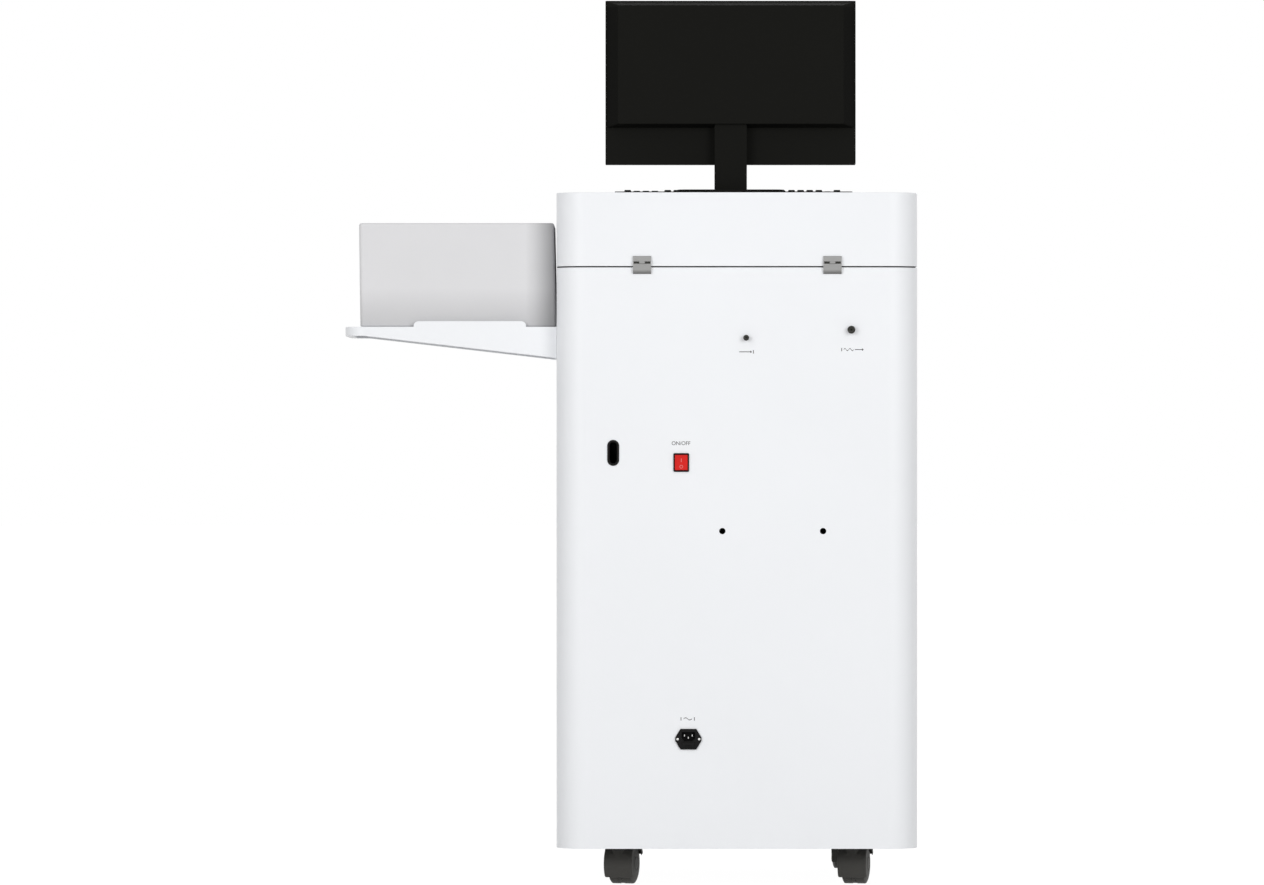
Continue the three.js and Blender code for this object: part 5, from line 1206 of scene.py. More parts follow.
@dataclass
class MainsRocker(SubAssembly):
    """The mains rocker switch: a bezel clipped into the wall, and the key that tilts in it."""

    x: float = 100.6
    z: float = 756.8
    width: float = 28.0
    height: float = 33.5
    corner: float = 2.0
    proud: float = 2.3
    ledge: float = 1.0
    body_depth: float = 26.0
    key_width: float = 22.7
    key_radius: float = 14.1
    travel: float = 14.0
    rise: float = 4.4
    under: float = 4.0
    cavity_depth: float = 12.0
    cavity_height: float = 29.0
    rear_y: float = 365.0
    pivot_y: float = 364.0
    pin: float = 1.6
    pin_reach: float = 1.4
    pin_hole: float = 2.0
    pin_room: float = 2.2
    mark_height: float = 6.6
    mark_stroke: float = 1.3
    mark_depth: float = 0.25
    mark_sunk: float = 0.08
    ring_radii: Span = (2.2, 3.1)
    mark_up: float = 4.6
    ring_down: float = 7.0

    def bezel(self) -> Solid:
        """The frame and the body behind it."""
        wall = self.rear_y + SEAT_GAP
        face = wall + self.proud
        outline = rounded_rect(about(self.x, self.width), about(self.z, self.height), self.corner)
        frame = Solid.prism(Axis.Y, outline, (wall, face)).softened(0.7)
        body = Solid.box(about(self.x, self.width - 2 * self.ledge),
                         (self.rear_y - self.body_depth, face - 1.0),
                         about(self.z, self.height - 2 * self.ledge))
        cavity = Solid.box(about(self.x, self.key_width + 2 * RUNNING_GAP),
                           (self.pivot_y - self.cavity_depth, self.rear_y + OVERRUN),
                           about(self.z, self.cavity_height))
        pins = Solid.rod(Axis.X, self.pin_hole, (self.pivot_y, self.z),
                         about(self.x, self.key_width + self.pin_room), 20)
        return frame.join(body).cut(cavity, pins)

    def key(self) -> Solid:
        """The two-way key, drawn about its pivot."""
        end_rise = self.rise + self.key_radius * math.tan(math.radians(self.travel / 2))
        loop = [(-self.under, -self.key_radius), (end_rise, -self.key_radius), (self.rise, 0),
                (end_rise, self.key_radius), (-self.under, self.key_radius)]
        faces = Solid.prism(Axis.X, loop, about(0, self.key_width))
        drum = Solid.rod(Axis.X, self.key_radius, (0, 0), about(0, self.key_width), 48)
        pins = Solid.rod(Axis.X, self.pin, (0, 0), about(0, self.key_width + self.pin_reach), 20)
        return faces.kept_inside(drum).softened(0.5).join(pins)

    def marks(self) -> Solid:
        """The line and the ring that stand for on and off, one on each face of the key."""
        slope = math.radians(self.travel / 2)
        made = []
        inner, outer = self.ring_radii
        bar = Solid.box(about(0, self.mark_stroke), (0, self.mark_depth), about(0, self.mark_height))
        ring = Solid.turned(Axis.Y,
                            [(inner, 0), (outer, 0), (outer, self.mark_depth), (inner, self.mark_depth)],
                            (0, 0), 32)
        for form, up, sign in ((bar, self.mark_up, 1), (ring, -self.ring_down, -1)):
            out = self.rise + abs(up) * math.tan(slope) - self.mark_sunk
            tilt = Matrix.Rotation(-sign * slope, 4, "X")
            made.append(form.moved(Matrix.Translation((0, out, up)) @ tilt))
        return made[0].beside(made[1])

    def build(self) -> None:
        """Build the bezel, and the key at rest with its lower half pressed in."""
        rest = Matrix.Translation((self.x, self.pivot_y, self.z)) @ Matrix.Rotation(
            math.radians(-self.travel / 2), 4, "X")
        self.keep("switch_bezel", self.bezel(), "cabinet", "rocker_bezel")
        self.keep("switch_key", self.key().moved(rest), "mains_rocker", "rocker_key")
        self.keep("switch_marks", self.marks().moved(rest), "mains_rocker")

    def dress(self) -> None:
        """Black frame, red key and pale marks."""
        self.paint(INLET_PLASTIC, "switch_bezel")
        self.paint(RED_PLASTIC, "switch_key")
        self.paint(PALE_INK, "switch_marks")


@dataclass
class MainsInlet(SubAssembly):
    """The appliance inlet with its pins and screws, and the fuse drawer below the plug's place."""

    x: float = 87.8
    z: float = 260.1
    wall_y: float = 365.3
    flange: float = 3.0
    flange_width: float = 47.0
    flange_height: float = 37.0
    flange_top: float = 28.4
    flange_tip: float = 6.0
    body_width: float = 27.6
    body_height: float = 32.4
    body_depth: float = 30.0
    screw_span: float = 38.8
    screw_hole: float = 1.7
    screw_profile: tuple = ((0, 0.03), (2.3, 0.03), (2.3, 0.4), (1.8, 1.1), (1.0, 1.4), (0, 1.5))
    cross: Span = (2.6, 0.6)
    cross_foot: float = 0.9
    plug_width: float = 24.2
    plug_height: float = 16.6
    plug_chamfer: float = 5.0
    plug_up: float = 4.4
    plug_depth: float = 18.0
    pin_length: float = 13.0
    pins: tuple = ((-7.0, 2.0), (7.0, 2.0), (0.0, -2.0))
    fuse_width: float = 22.4
    fuse_height: float = 8.6
    fuse_down: float = 9.8
    fuse_depth: float = 22.0

    @property
    def face(self) -> float:
        """The flange's outer face."""
        return self.wall_y + self.flange

    def housing(self) -> Solid:
        """Flange and body with the plug cavity, the drawer's bay and the screw holes."""
        half, up = self.flange_width / 2, self.flange_height / 2
        right = [(self.flange_top / 2, -up), (half, -self.flange_tip / 2), (half, self.flange_tip / 2),
                 (self.flange_top / 2, up)]
        outline = [(self.x + u, self.z + v) for u, v in right + [(-u, v) for u, v in reversed(right)]]
        plate = Solid.prism(Axis.Y, outline, (self.wall_y, self.face)).softened(0.8)
        body = Solid.box(about(self.x, self.body_width),
                         (self.wall_y - SEAT_GAP - self.body_depth, self.face - 1.5),
                         about(self.z, self.body_height))
        low = self.z + self.plug_up - self.plug_height / 2
        high = low + self.plug_height
        left, end, slope = self.x - self.plug_width / 2, self.x + self.plug_width / 2, self.plug_chamfer
        plug = Solid.prism(Axis.Y, [(left + slope, low), (end - slope, low), (end, low + slope),
                                    (end, high), (left, high), (left, low + slope)],
                           (self.face - self.plug_depth, self.face + 9))
        bay = Solid.box(about(self.x, self.fuse_width + 2 * SEAT_GAP),
                        (self.face - self.fuse_depth - SEAT_GAP, self.face + OVERRUN),
                        about(self.z - self.fuse_down, self.fuse_height + 2 * SEAT_GAP))
        holes = [Solid.rod(Axis.Y, self.screw_hole, (self.x + side * self.screw_span / 2, self.z),
                           (self.wall_y - OVERRUN, self.face + OVERRUN), 20) for side in (-1, 1)]
        return plate.join(body).cut(plug, bay, *holes).softened(0.25, 2)

    def contact_pins(self) -> Solid:
        """Three flat pins with rounded noses."""
        made = []
        for dx, dz in self.pins:
            end = self.face - self.plug_depth + self.pin_length
            pin = Solid.box(about(self.x + dx, 2.0), (self.face - self.plug_depth - 1, end),
                            about(self.z + self.plug_up + dz, 4.0))
            made.append(pin.softened(0.6))
        return made[0].beside(*made[1:])

    def screws(self) -> Solid:
        """Two domed screw heads with a cross slot."""
        made = []
        for side in (-1, 1):
            centre = (self.x + side * self.screw_span / 2, self.z)
            head = Solid.turned(Axis.Y, stepped(self.screw_profile, self.face), centre, 28)
            cross = [Solid.box(about(centre[0], wide), (self.face + self.cross_foot, self.face + 4),
                               about(centre[1], high)) for wide, high in (self.cross, self.cross[::-1])]
            made.append(head.cut(*cross))
        return made[0].beside(made[1])

    def drawer(self) -> Solid:
        """The fuse drawer, with its pocket and a finger groove."""
        middle = self.z - self.fuse_down
        box = Solid.box(about(self.x, self.fuse_width), (self.face - self.fuse_depth, self.face),
                        about(middle, self.fuse_height)).softened(0.4)
        pocket = Solid.box(about(self.x, self.fuse_width - 2), reach(self.face - self.fuse_depth + 1, 7),
                           reach(middle + self.fuse_height / 2 - 6.2, 6.2 + OVERRUN))
        groove = Solid.box(about(self.x, self.fuse_width / 2), (self.face - 1.5, self.face + OVERRUN),
                           reach(middle - self.fuse_height / 2 + 1, 2))
        return box.cut(pocket, groove)

    def build(self) -> None:
        """Build housing, pins, screws and drawer."""
        self.keep("inlet_housing", self.housing(), "cabinet", "power_inlet")
        self.keep("inlet_pins", self.contact_pins(), "cabinet")
        self.keep("inlet_screws", self.screws(), "cabinet")
        self.keep("inlet_fuse_drawer", self.drawer(), "fuse_carrier", "fuse_drawer")

    def dress(self) -> None:
        """Black plastic with bright pins and screws."""
        self.paint(BRIGHT_STEEL, "inlet_pins", "inlet_screws")
        self.paint(INLET_PLASTIC)


@dataclass
class RearMarks(SubAssembly):
    """Printed marks on the rear wall: a word at the switch, and signs for gas in, gas out and mains."""

    wall_y: float = 365.0
    ink: float = 0.08
    stroke: float = 1.3
    word: str = "ON/OFF"
    word_place: tuple = (101.0, 791.0)
    word_width: float = 33.5
    inlet_sign: tuple = (-16.5, 955.5, 26.0)
    outlet_sign: tuple = (-207.0, 959.5, 40.0)
    mains_sign: tuple = (89.0, 296.5, 25.0)
    sign_height: float = 6.0
    letter_size: float = 9.6
    letter_space: float = 0.98
    letter_weight: float = 0.04

    def flat(self, loop: Loop, x: float, z: float) -> Solid:
        """A thin printed form; it is drawn as a person behind the object sees it."""
        return Solid.prism(Axis.Y, [(x - u, z + v) for u, v in loop],
                           (self.wall_y + 0.01, self.wall_y + self.ink))

    def arrow(self, start: float, end: float) -> Loop:
        """An arrow from left to right."""
        half, head = self.stroke / 2, self.sign_height / 2
        return [(start, -half), (end - head, -half), (end - head, -head * 0.8), (end, 0),
                (end - head, head * 0.8), (end - head, half), (start, half)]

    def wave(self, start: float, end: float, turns: float) -> Loop:
        """A wavy line from left to right."""
        steps, size = 32, self.sign_height * 0.32
        middle = [(start + (end - start) * i / steps, size * math.sin(2 * math.pi * turns * i / steps))
                  for i in range(steps + 1)]
        half = self.stroke / 2
        return [(u, v - half) for u, v in middle] + [(u, v + half) for u, v in reversed(middle)]

    def bar(self, at: float) -> Loop:
        """An upright stroke."""
        half, tall = self.stroke / 2, self.sign_height / 2
        return [(at - half, -tall), (at + half, -tall), (at + half, tall), (at - half, tall)]

    def lettering(self) -> Solid:
        """The word at the switch, as a flat mesh."""
        text = bpy.data.curves.new("word", "FONT")
        text.body = self.word
        text.size = self.letter_size
        text.space_character = self.letter_space
        text.align_x = "CENTER"
        text.align_y = "CENTER"
        text.extrude = self.ink / 2
        text.offset = self.letter_weight
        loose = linked("word", text)
        bpy.context.view_layer.update()
        mesh = bpy.data.meshes.new_from_object(loose.evaluated_get(bpy.context.evaluated_depsgraph_get()))
        bpy.data.objects.remove(loose)
        form = bmesh.new()
        form.from_mesh(mesh)
        bmesh.ops.remove_doubles(form, verts=form.verts, dist=WELD)
        form.to_mesh(mesh)
        form.free()
        wide = max(v.co.x for v in mesh.vertices) - min(v.co.x for v in mesh.vertices)
        turn = Matrix(((-1, 0, 0, 0), (0, 0, 1, 0), (0, 1, 0, 0), (0, 0, 0, 1)))
        place = Matrix.Translation((self.word_place[0], self.wall_y + self.ink / 2 + 0.01,
                                    self.word_place[1]))
        return Solid(mesh).moved(place @ turn @ Matrix.Diagonal((self.word_width / wide, 1, 1, 1)))

    def sign(self, name: str, place: tuple, *forms: Loop) -> None:
        """Print a sign's forms at its place."""
        flat = [self.flat(form, place[0], place[1]) for form in forms]
        self.keep(name, flat[0].beside(*flat[1:]), "cabinet")

    def build(self) -> None:
        """Build the word and the three signs."""
        self.keep("switch_word", self.lettering(), "cabinet")
        half = self.inlet_sign[2] / 2
        self.sign("gas_in_sign", self.inlet_sign, self.arrow(-half, half - 3), self.bar(half - 0.5))
        half = self.outlet_sign[2] / 2
        self.sign("gas_out_sign", self.outlet_sign, self.bar(-half + 0.5), self.wave(-half + 4, 2, 2),
                  self.arrow(4, half))
        half = self.mains_sign[2] / 2
        self.sign("mains_sign", self.mains_sign, self.bar(-half + 0.5), self.wave(-half + 5, half - 5, 1),
                  self.bar(half - 0.5))

    def dress(self) -> None:
        """Grey printed ink."""
        self.paint(INK)


@dataclass
class SideShelf(SubAssembly):
    """The side shelf: a bent tray whose skirt tapers outward, with a stop tab along its rear edge."""

    root_x: float = 325.3
    tip_x: float = 707.0
    front_y: float = -20.0
    rear_y: float = 300.0
    top: float = 1001.6
    sheet: float = 2.0
    corner: float = 35.0
    skirt_root: float = 57.0
    skirt_tip: float = 17.0
    hem: float = 12.0
    root_flange: float = 2.5
    beyond: float = 99.0
    bend: float = 1.7
    tab_xs: Span = (380.0, 583.0)
    tab_height: float = 10.0
    tab_round: float = 9.0

    def plan(self, inset: float) -> Loop:
        """The tray's plan; it runs on inside the cabinet, where it is cut off."""
        return rounded_rect((self.root_x - 55, self.tip_x - inset),
                            (self.front_y + inset, self.rear_y - inset),
                            self.corner - inset, 12)

    def below(self, lift: float) -> Solid:
        """The room below the skirt's sloping edge, raised by a lift."""
        low = self.top - 2 * self.skirt_root
        tip, root = self.top - self.skirt_tip + lift, self.top - self.skirt_root + lift
        slope = (tip - root) / (self.tip_x - self.corner - self.root_x)
        start, end = self.root_x - self.beyond, self.tip_x + OVERRUN
        loop = [(start, low), (end, low), (end, tip), (self.tip_x - self.corner, tip),
                (start, root - self.beyond * slope)]
        return Solid.prism(Axis.Y, loop, (self.front_y - OVERRUN, self.rear_y + OVERRUN))

    def build(self) -> None:
        """Bend the tray from its outline, then hollow it and add its flange and tab."""
        foot = self.top - self.skirt_root - 4
        outer = Solid.prism(Axis.Z, self.plan(0), (foot, self.top)).cut(self.below(0)).softened(self.bend, 4)
        hollow = Solid.prism(Axis.Z, self.plan(self.sheet), (foot - OVERRUN, self.top - self.sheet)).cut(
            self.below(self.sheet))
        mouth = Solid.prism(Axis.Z, self.plan(self.sheet + self.hem), (foot - 40, self.top - self.sheet))
        inboard = Solid.box((self.root_x - self.beyond, self.root_x), (self.front_y - 9, self.rear_y + 9),
                            (foot - 60, self.top + 60))
        flange = Solid.box(reach(self.root_x, self.root_flange), (self.front_y, self.rear_y),
                           (self.top - self.skirt_root, self.top))
        low = self.top - 6
        left, right = self.tab_xs
        bend_z = self.top + self.tab_height - self.tab_round
        tab = [(left, low), (right, low)]
        tab += arc((right - self.tab_round, bend_z), self.tab_round, 0, 90, 8)
        tab += arc((left + self.tab_round, bend_z), self.tab_round, 90, 180, 8)
        stop = Solid.prism(Axis.Y, tab, (self.rear_y - self.sheet, self.rear_y)).softened(0.4, 2)
        tray = outer.cut(hollow, mouth, inboard).join(flange, stop)
        self.keep("side_tray", tray, "cabinet", "shelf_tray")

    def dress(self) -> None:
        """White powder paint."""
        self.paint(WHITE_PAINT)


@dataclass
class Printer(SubAssembly):
    """The compact printer on the side shelf: body, top cover, tray flap and button."""

    xs: Span = (329.5, 681.8)
    ys: Span = (50.0, 290.0)
    zs: Span = (1001.9, 1188.9)
    corner: float = 7.0
    edge: float = 4.5
    lean: float = 2.4
    fullness: float = 3.6
    cover_inset: float = 16.0
    cover_foot: float = 160.0
    cover_gap: float = 0.8
    cover_axis: tuple = (220.5, 1183.4)
    cover_barrel: float = 5.5
    cover_nose: float = 10.0
    bay: tuple = (24.0, 130.0, 95.0)
    scoop: tuple = (226.0, 34.0, 112.0, 17.0)
    paper: tuple = (230.0, 16.0, 26.0, 150.0)
    flap_width: float = 252.0
    flap_height: float = 78.0
    flap_thickness: float = 6.0
    flap_foot: float = 10.0
    flap_axis: tuple = (53.3, 1014.9)
    button_radius: float = 5.0
    button_place: tuple = (673.8, 84.0)
    button_length: float = 6.0
    button_proud: float = 1.2
    pin_reach: float = 5.0
    cover_pin: float = 2.0
    cover_pin_hole: float = 2.4
    flap_pin: float = 1.6
    flap_pin_hole: float = 2.0
    flap_pin_reach: float = 9.2
    grip: Span = (60.0, 12.0)

    @property
    def middle(self) -> float:
        """The printer's middle across."""
        return (self.xs[0] + self.xs[1]) / 2

    def body_rings(self) -> Solid:
        """The leaning body: its outer side draws in toward the foot, and its inner side is a little full."""
        foot, top = self.zs
        heights = [(foot, 2.0), (foot + 2.0, 0.0)]
        heights += [(foot + (top - foot) * share, 0.0) for share in (0.2, 0.4, 0.6, 0.75, 0.88)]
        for i in range(7):
            angle = math.pi / 2 * i / 6
            heights.append((top - self.edge * (1 - math.sin(angle)), self.edge * (1 - math.cos(angle))))
        rings = []
        for z, inset in heights:
            share = (z - foot) / (top - foot)
            outer = self.xs[1] - self.lean * (1 - share) ** 1.3
            inner = self.xs[0] - self.fullness * (1 - share)
            plan = rounded_rect((inner + inset, outer - inset), (self.ys[0] + inset, self.ys[1] - inset),
                                self.corner - inset, 8)
            rings.append((plan, z))
        return Solid.lofted(Axis.Z, rings)

    def body(self) -> Solid:
        """The body with the rooms for cover, cartridge, flap, paper and button."""
        foot, top = self.zs
        cover = (self.xs[0] + self.cover_inset, self.xs[1] - self.cover_inset)
        seat = foot + self.cover_foot
        bay_in, bay_long, bay_deep = self.bay
        paper_wide, paper_foot, paper_high, paper_deep = self.paper
        tools = [
            Solid.box(cover, (self.ys[0] - OVERRUN, self.cover_axis[0] + self.cover_barrel + self.cover_gap),
                      (seat, top + OVERRUN)),
            Solid.box((cover[0] + bay_in, cover[1] - bay_in), reach(self.ys[0] + bay_in, bay_long),
                      (seat - bay_deep, seat + OVERRUN)),
            Solid.rod(Axis.X, self.cover_pin_hole, self.cover_axis,
                      (cover[0] - self.pin_reach, cover[1] + self.pin_reach), 20),
            Solid.box(about(self.middle, self.flap_width + 2 * RUNNING_GAP),
                      (self.ys[0] - OVERRUN, self.flap_axis[0] + self.flap_thickness / 2 + RUNNING_GAP),
                      (foot + self.flap_foot - 2 * RUNNING_GAP,
                       foot + self.flap_foot + self.flap_height + RUNNING_GAP)),
            Solid.rod(Axis.X, self.flap_pin_hole, self.flap_axis,
                      about(self.middle, self.flap_width + 2 * self.pin_reach), 20),
            Solid.box(about(self.middle, paper_wide), (self.ys[0], self.ys[0] + paper_deep),
                      reach(foot + paper_foot, paper_high)),
            Solid.rod(Axis.Z, self.button_radius + RUNNING_GAP, self.button_place,
                      (top - self.button_length - self.button_proud, top + OVERRUN), 32),
        ]
        return self.body_rings().cut(*tools).softened(0.35, 2)

    def cover(self) -> Solid:
        """The top cover with its paper scoop and its pivot pins."""
        foot = self.zs[0] + self.cover_foot + SEAT_GAP
        top, front = self.zs[1], self.ys[0]
        xs = (self.xs[0] + self.cover_inset + self.cover_gap, self.xs[1] - self.cover_inset - self.cover_gap)
        side = [(front, foot), (self.cover_axis[0], foot)]
        side += arc(self.cover_axis, self.cover_barrel, -90, 90, 10)[1:]
        side += arc((front + self.cover_nose, top - self.cover_nose), self.cover_nose, 90, 180, 10)
        wide, start, long, deep = self.scoop
        scoop = Solid.prism(Axis.X, [(front + start, top), (front + start + long, top - deep),
                                     (front + start + long, top + OVERRUN), (front + start, top + OVERRUN)],
                            about(self.middle, wide))
        pins = Solid.rod(Axis.X, self.cover_pin, self.cover_axis,
                         (xs[0] - self.pin_reach, xs[1] + self.pin_reach), 20)
        return Solid.prism(Axis.X, side, xs).cut(scoop).softened(0.6).join(pins)

    def flap(self) -> Solid:
        """The tray flap with its barrel, pins and finger recess."""
        foot = self.zs[0] + self.flap_foot
        panel = Solid.box(about(self.middle, self.flap_width), about(self.flap_axis[0], self.flap_thickness),
                          (self.flap_axis[1], foot + self.flap_height))
        barrel = Solid.rod(Axis.X, self.flap_thickness / 2, self.flap_axis,
                           about(self.middle, self.flap_width), 24)
        wide, high = self.grip
        grip = Solid.box(about(self.middle, wide), (self.ys[0] - OVERRUN, self.flap_axis[0] - 0.5),
                         reach(foot + self.flap_height - high, high + OVERRUN))
        pins = Solid.rod(Axis.X, self.flap_pin, self.flap_axis,
                         about(self.middle, self.flap_width + self.flap_pin_reach), 16)
        return panel.join(barrel).cut(grip).softened(0.5).join(pins)

    def build(self) -> None:
        """Build the four pieces."""
        self.keep("printer_case", self.body(), "cabinet", "printer_body")
        self.keep("printer_lid", self.cover(), "printer_cover", "printer_top_cover")
        self.keep("printer_flap_panel", self.flap(), "printer_flap", "printer_tray_flap")
        top = self.zs[1]
        radius = self.button_radius
        knob = [(0, top - self.button_length), (radius, top - self.button_length),
                (radius, top + self.button_proud - 0.6), (radius - 0.6, top + self.button_proud),
                (radius - 1.6, top + self.button_proud - 0.15), (0, top + self.button_proud - 0.35)]
        self.keep("printer_key", Solid.turned(Axis.Z, knob, self.button_place, 36), "printer_push",
                  "printer_button")

    def dress(self) -> None:
        """Light grey plastic with painted shade toward the cabinet and the shelf, and a dark button."""
        self.paint(CASTOR_PLASTIC, "printer_key")
        self.paint(PRINTER_PLASTIC)


@dataclass
class Keyboard(SubAssembly):
    """The keyboard, tilted on its two flip feet."""

    x: float = -1.0
    front_y: float = -357.0
    foot_z: float = 1242.3
    width: float = 444.0
    depth: float = 150.0
    tray: float = 11.0
    rise: float = 9.0
    edge: float = 3.0
    pitch: float = 17.0
    row_pitch: float = 19.0
    gap: float = 2.6
    cap: float = 4.2
    taper: float = 1.6
    nav_gap: float = 27.6
    pad_gap: float = 6.9
    low_key: float = 1.6
    block_start: float = -202.0
    margin: float = 12.0
    function_gap: float = 9.0
    function_key_gap: float = 8.5
    well: float = 2.5
    stem: float = 3.0
    foot_x: float = 190.0
    foot_width: float = 18.0
    foot_thickness: float = 4.0
    foot_barrel: float = 2.2
    foot_axis: tuple = (134.0, 2.6)
    main_units: int = 15
    nav_units: int = 3
    key_room: float = 0.6
    foot_pin: float = 1.2
    foot_pin_reach: float = 4.0
    foot_pin_hole: float = 1.6
    foot_pin_room: float = 4.8
    rows: tuple = ((1.25, 1.25, 1.25, 6.25, 1.25, 1.25, 1.25, 1.25),
                   (2.25, 1, 1, 1, 1, 1, 1, 1, 1, 1, 1, 2.75),
                   (1.75, 1, 1, 1, 1, 1, 1, 1, 1, 1, 1, 1, 2.25),
                   (1.5, 1, 1, 1, 1, 1, 1, 1, 1, 1, 1, 1, 1, 1.5),
                   (1, 1, 1, 1, 1, 1, 1, 1, 1, 1, 1, 1, 1, 2))
    space_at: tuple = (0, 3)
    enter_at: tuple = (2, 12)

    @property
    def tilt(self) -> float:
        """The angle that the feet give it."""
        return math.asin(self.rise / self.depth)

    @property
    def pad_start(self) -> float:
        """Where the number pad begins."""
        blocks = self.main_units + self.nav_units
        return self.block_start + blocks * self.pitch + self.nav_gap + self.pad_gap

    def row_y(self, row: int) -> float:
        """The front edge of a row."""
        return self.margin + row * self.row_pitch + (self.function_gap if row == len(self.rows) else 0)

    def footprint(self, start: float, row: int, units: float) -> tuple[Span, Span]:
        """The place that a key covers."""
        half = self.gap / 2
        return ((start + half, start + units * self.pitch - half),
                (self.row_y(row) + half, self.row_y(row) + self.row_pitch - half))

    def fixed_footprints(self) -> list[tuple[Span, Span]]:
        """The places of all keys that are drawn with the tray."""
        made = []
        for row, widths in enumerate(self.rows):
            start = self.block_start
            for key, units in enumerate(widths):
                if (row, key) not in (self.space_at, self.enter_at):
                    made.append(self.footprint(start, row, units))
                start += units * self.pitch
        top = len(self.rows)
        start = self.block_start
        for count in (1, 4, 4, 4):
            made += [self.footprint(start + i * self.pitch, top, 1) for i in range(count)]
            start += count * self.pitch + self.function_key_gap * (2 if count == 1 else 1)
        nav = self.block_start + self.main_units * self.pitch + self.nav_gap
        for row, columns in enumerate(((0, 1, 2), (1,), (), (0, 1, 2), (0, 1, 2), (0, 1, 2))):
            made += [self.footprint(nav + c * self.pitch, row, 1) for c in columns]
        pad = self.pad_start
        three = ((0, 1), (1, 1), (2, 1))
        pads = (((0, 2), (2, 1)), three, three, three, (*three, (3, 1)), ((3, 1),))
        for row, keys in enumerate(pads):
            made += [self.footprint(pad + c * self.pitch, row, units) for c, units in keys]
        for row in (0, 2):
            xs, ys = self.footprint(pad + self.nav_units * self.pitch, row, 1)
            made.append((xs, (ys[0], ys[1] + self.row_pitch)))
        return made

    def low_footprints(self) -> list[tuple[Span, Span]]:
        """The places of the three flatter keys above the number pad."""
        return [self.footprint(self.pad_start + i * self.pitch, len(self.rows), 1) for i in range(3)]

    def key_place(self, at: tuple[int, int]) -> tuple[Span, Span]:
        """The place of a key that moves."""
        row, key = at
        return self.footprint(self.block_start + sum(self.rows[row][:key]) * self.pitch, row,
                              self.rows[row][key])

    def caps(self, places: Sequence[tuple[Span, Span]], foot: float, height: float) -> Solid:
        """Key caps over their places, raised by the recipe."""
        mesh = bpy.data.meshes.new("footprints")
        points, faces = [], []
        for xs, ys in places:
            first = len(points)
            points += [(xs[0], ys[0], foot), (xs[1], ys[0], foot), (xs[1], ys[1], foot), (xs[0], ys[1], foot)]
            faces.append(tuple(range(first, first + 4)))
        mesh.from_pydata(points, [], faces)
        for name, side in (("top_width_share", 0), ("top_depth_share", 1)):
            shares = [1 - 2 * self.taper / (place[side][1] - place[side][0]) for place in places]
            mesh.attributes.new(name, "FLOAT", "FACE").data.foreach_set("value", shares)
        return keycap_recipe().worked(mesh, {"Cap Height": height}, BLACK_PLASTIC, soften=0.55)

    def tray_body(self) -> Solid:
        """The tray with wells for the two moving keys and pockets for the feet."""
        side = [(self.edge, 0), (self.depth - self.edge, 0), (self.depth, self.edge),
                (self.depth, self.tray - self.edge), (self.depth - self.edge, self.tray),
                (2 * self.edge, self.tray), (0, self.tray / 2)]
        tools = []
        for at in (self.space_at, self.enter_at):
            xs, ys = self.key_place(at)
            room = self.key_room
            tools.append(Solid.box((xs[0] - room, xs[1] + room), (ys[0] - room, ys[1] + room),
                                   (self.tray - self.well, self.tray + OVERRUN)))
            stem = 2 * (self.stem + room)
            tools.append(Solid.box(about(sum(xs) / 2, stem), about(sum(ys) / 2, stem),
                                   (self.tray - 3 * self.well, self.tray)))
        for x in (-self.foot_x, self.foot_x):
            length = self.rise + 2 * self.foot_barrel
            tools.append(Solid.box(about(x, self.foot_width + 2 * RUNNING_GAP),
                                   (self.foot_axis[0] - length - 3,
                                    self.foot_axis[0] + self.foot_barrel + 0.4),
                                   (-OVERRUN, 6)))
            tools.append(Solid.rod(Axis.X, self.foot_pin_hole, self.foot_axis,
                                   about(x, self.foot_width + self.foot_pin_room), 16))
        return Solid.prism(Axis.X, side, about(0, self.width)).softened(0.9).cut(*tools)

    def moving_key(self, at: tuple[int, int]) -> Solid:
        """A key with its stem."""
        xs, ys = self.key_place(at)
        foot = self.tray + SEAT_GAP
        stem = Solid.box(about(sum(xs) / 2, 2 * self.stem), about(sum(ys) / 2, 2 * self.stem),
                         (self.tray - self.well, self.tray + self.cap / 2))
        return self.caps([(xs, ys)], foot, self.cap - SEAT_GAP).join(stem)

    def foot(self, x: float) -> Solid:
        """A flip foot about its own pivot, square to the lid."""
        lift = self.foot_axis[0] * math.sin(self.tilt) + self.foot_axis[1] * math.cos(self.tilt)
        leg = Solid.box(about(x, self.foot_width), about(0, self.foot_thickness), (-lift, 0))
        barrel = Solid.rod(Axis.X, self.foot_barrel, (0, 0), about(x, self.foot_width), 20)
        pins = Solid.rod(Axis.X, self.foot_pin, (0, 0), about(x, self.foot_width + self.foot_pin_reach), 16)
        return leg.softened(0.4, 2).join(barrel, pins)

    def build(self) -> None:
        """Build tray, caps, moving keys and feet, then tilt them into place."""
        seat = Matrix.Translation((self.x, self.front_y, self.foot_z)) @ Matrix.Rotation(self.tilt, 4, "X")
        self.keep("keyboard_tray", self.tray_body().moved(seat), "lid", "keyboard_body")
        foot, height = self.tray - 0.6, self.cap + 0.6
        caps = self.caps(self.fixed_footprints(), foot, height).beside(
            self.caps(self.low_footprints(), foot, height - self.low_key))
        self.keep("keyboard_caps", caps.moved(seat), "lid")
        self.keep("keyboard_space_key", self.moving_key(self.space_at).moved(seat), "space_key", "space_bar")
        self.keep("keyboard_enter_key", self.moving_key(self.enter_at).moved(seat), "return_key", "enter_key")
        stand = seat @ Matrix.Translation((0, *self.foot_axis)) @ Matrix.Rotation(-self.tilt, 4, "X")
        for side, x in (("left", -self.foot_x), ("right", self.foot_x)):
            self.keep(f"keyboard_leg_{side}", self.foot(x).moved(stand), f"keyboard_leg_{side}",
                      f"keyboard_foot_{side}")

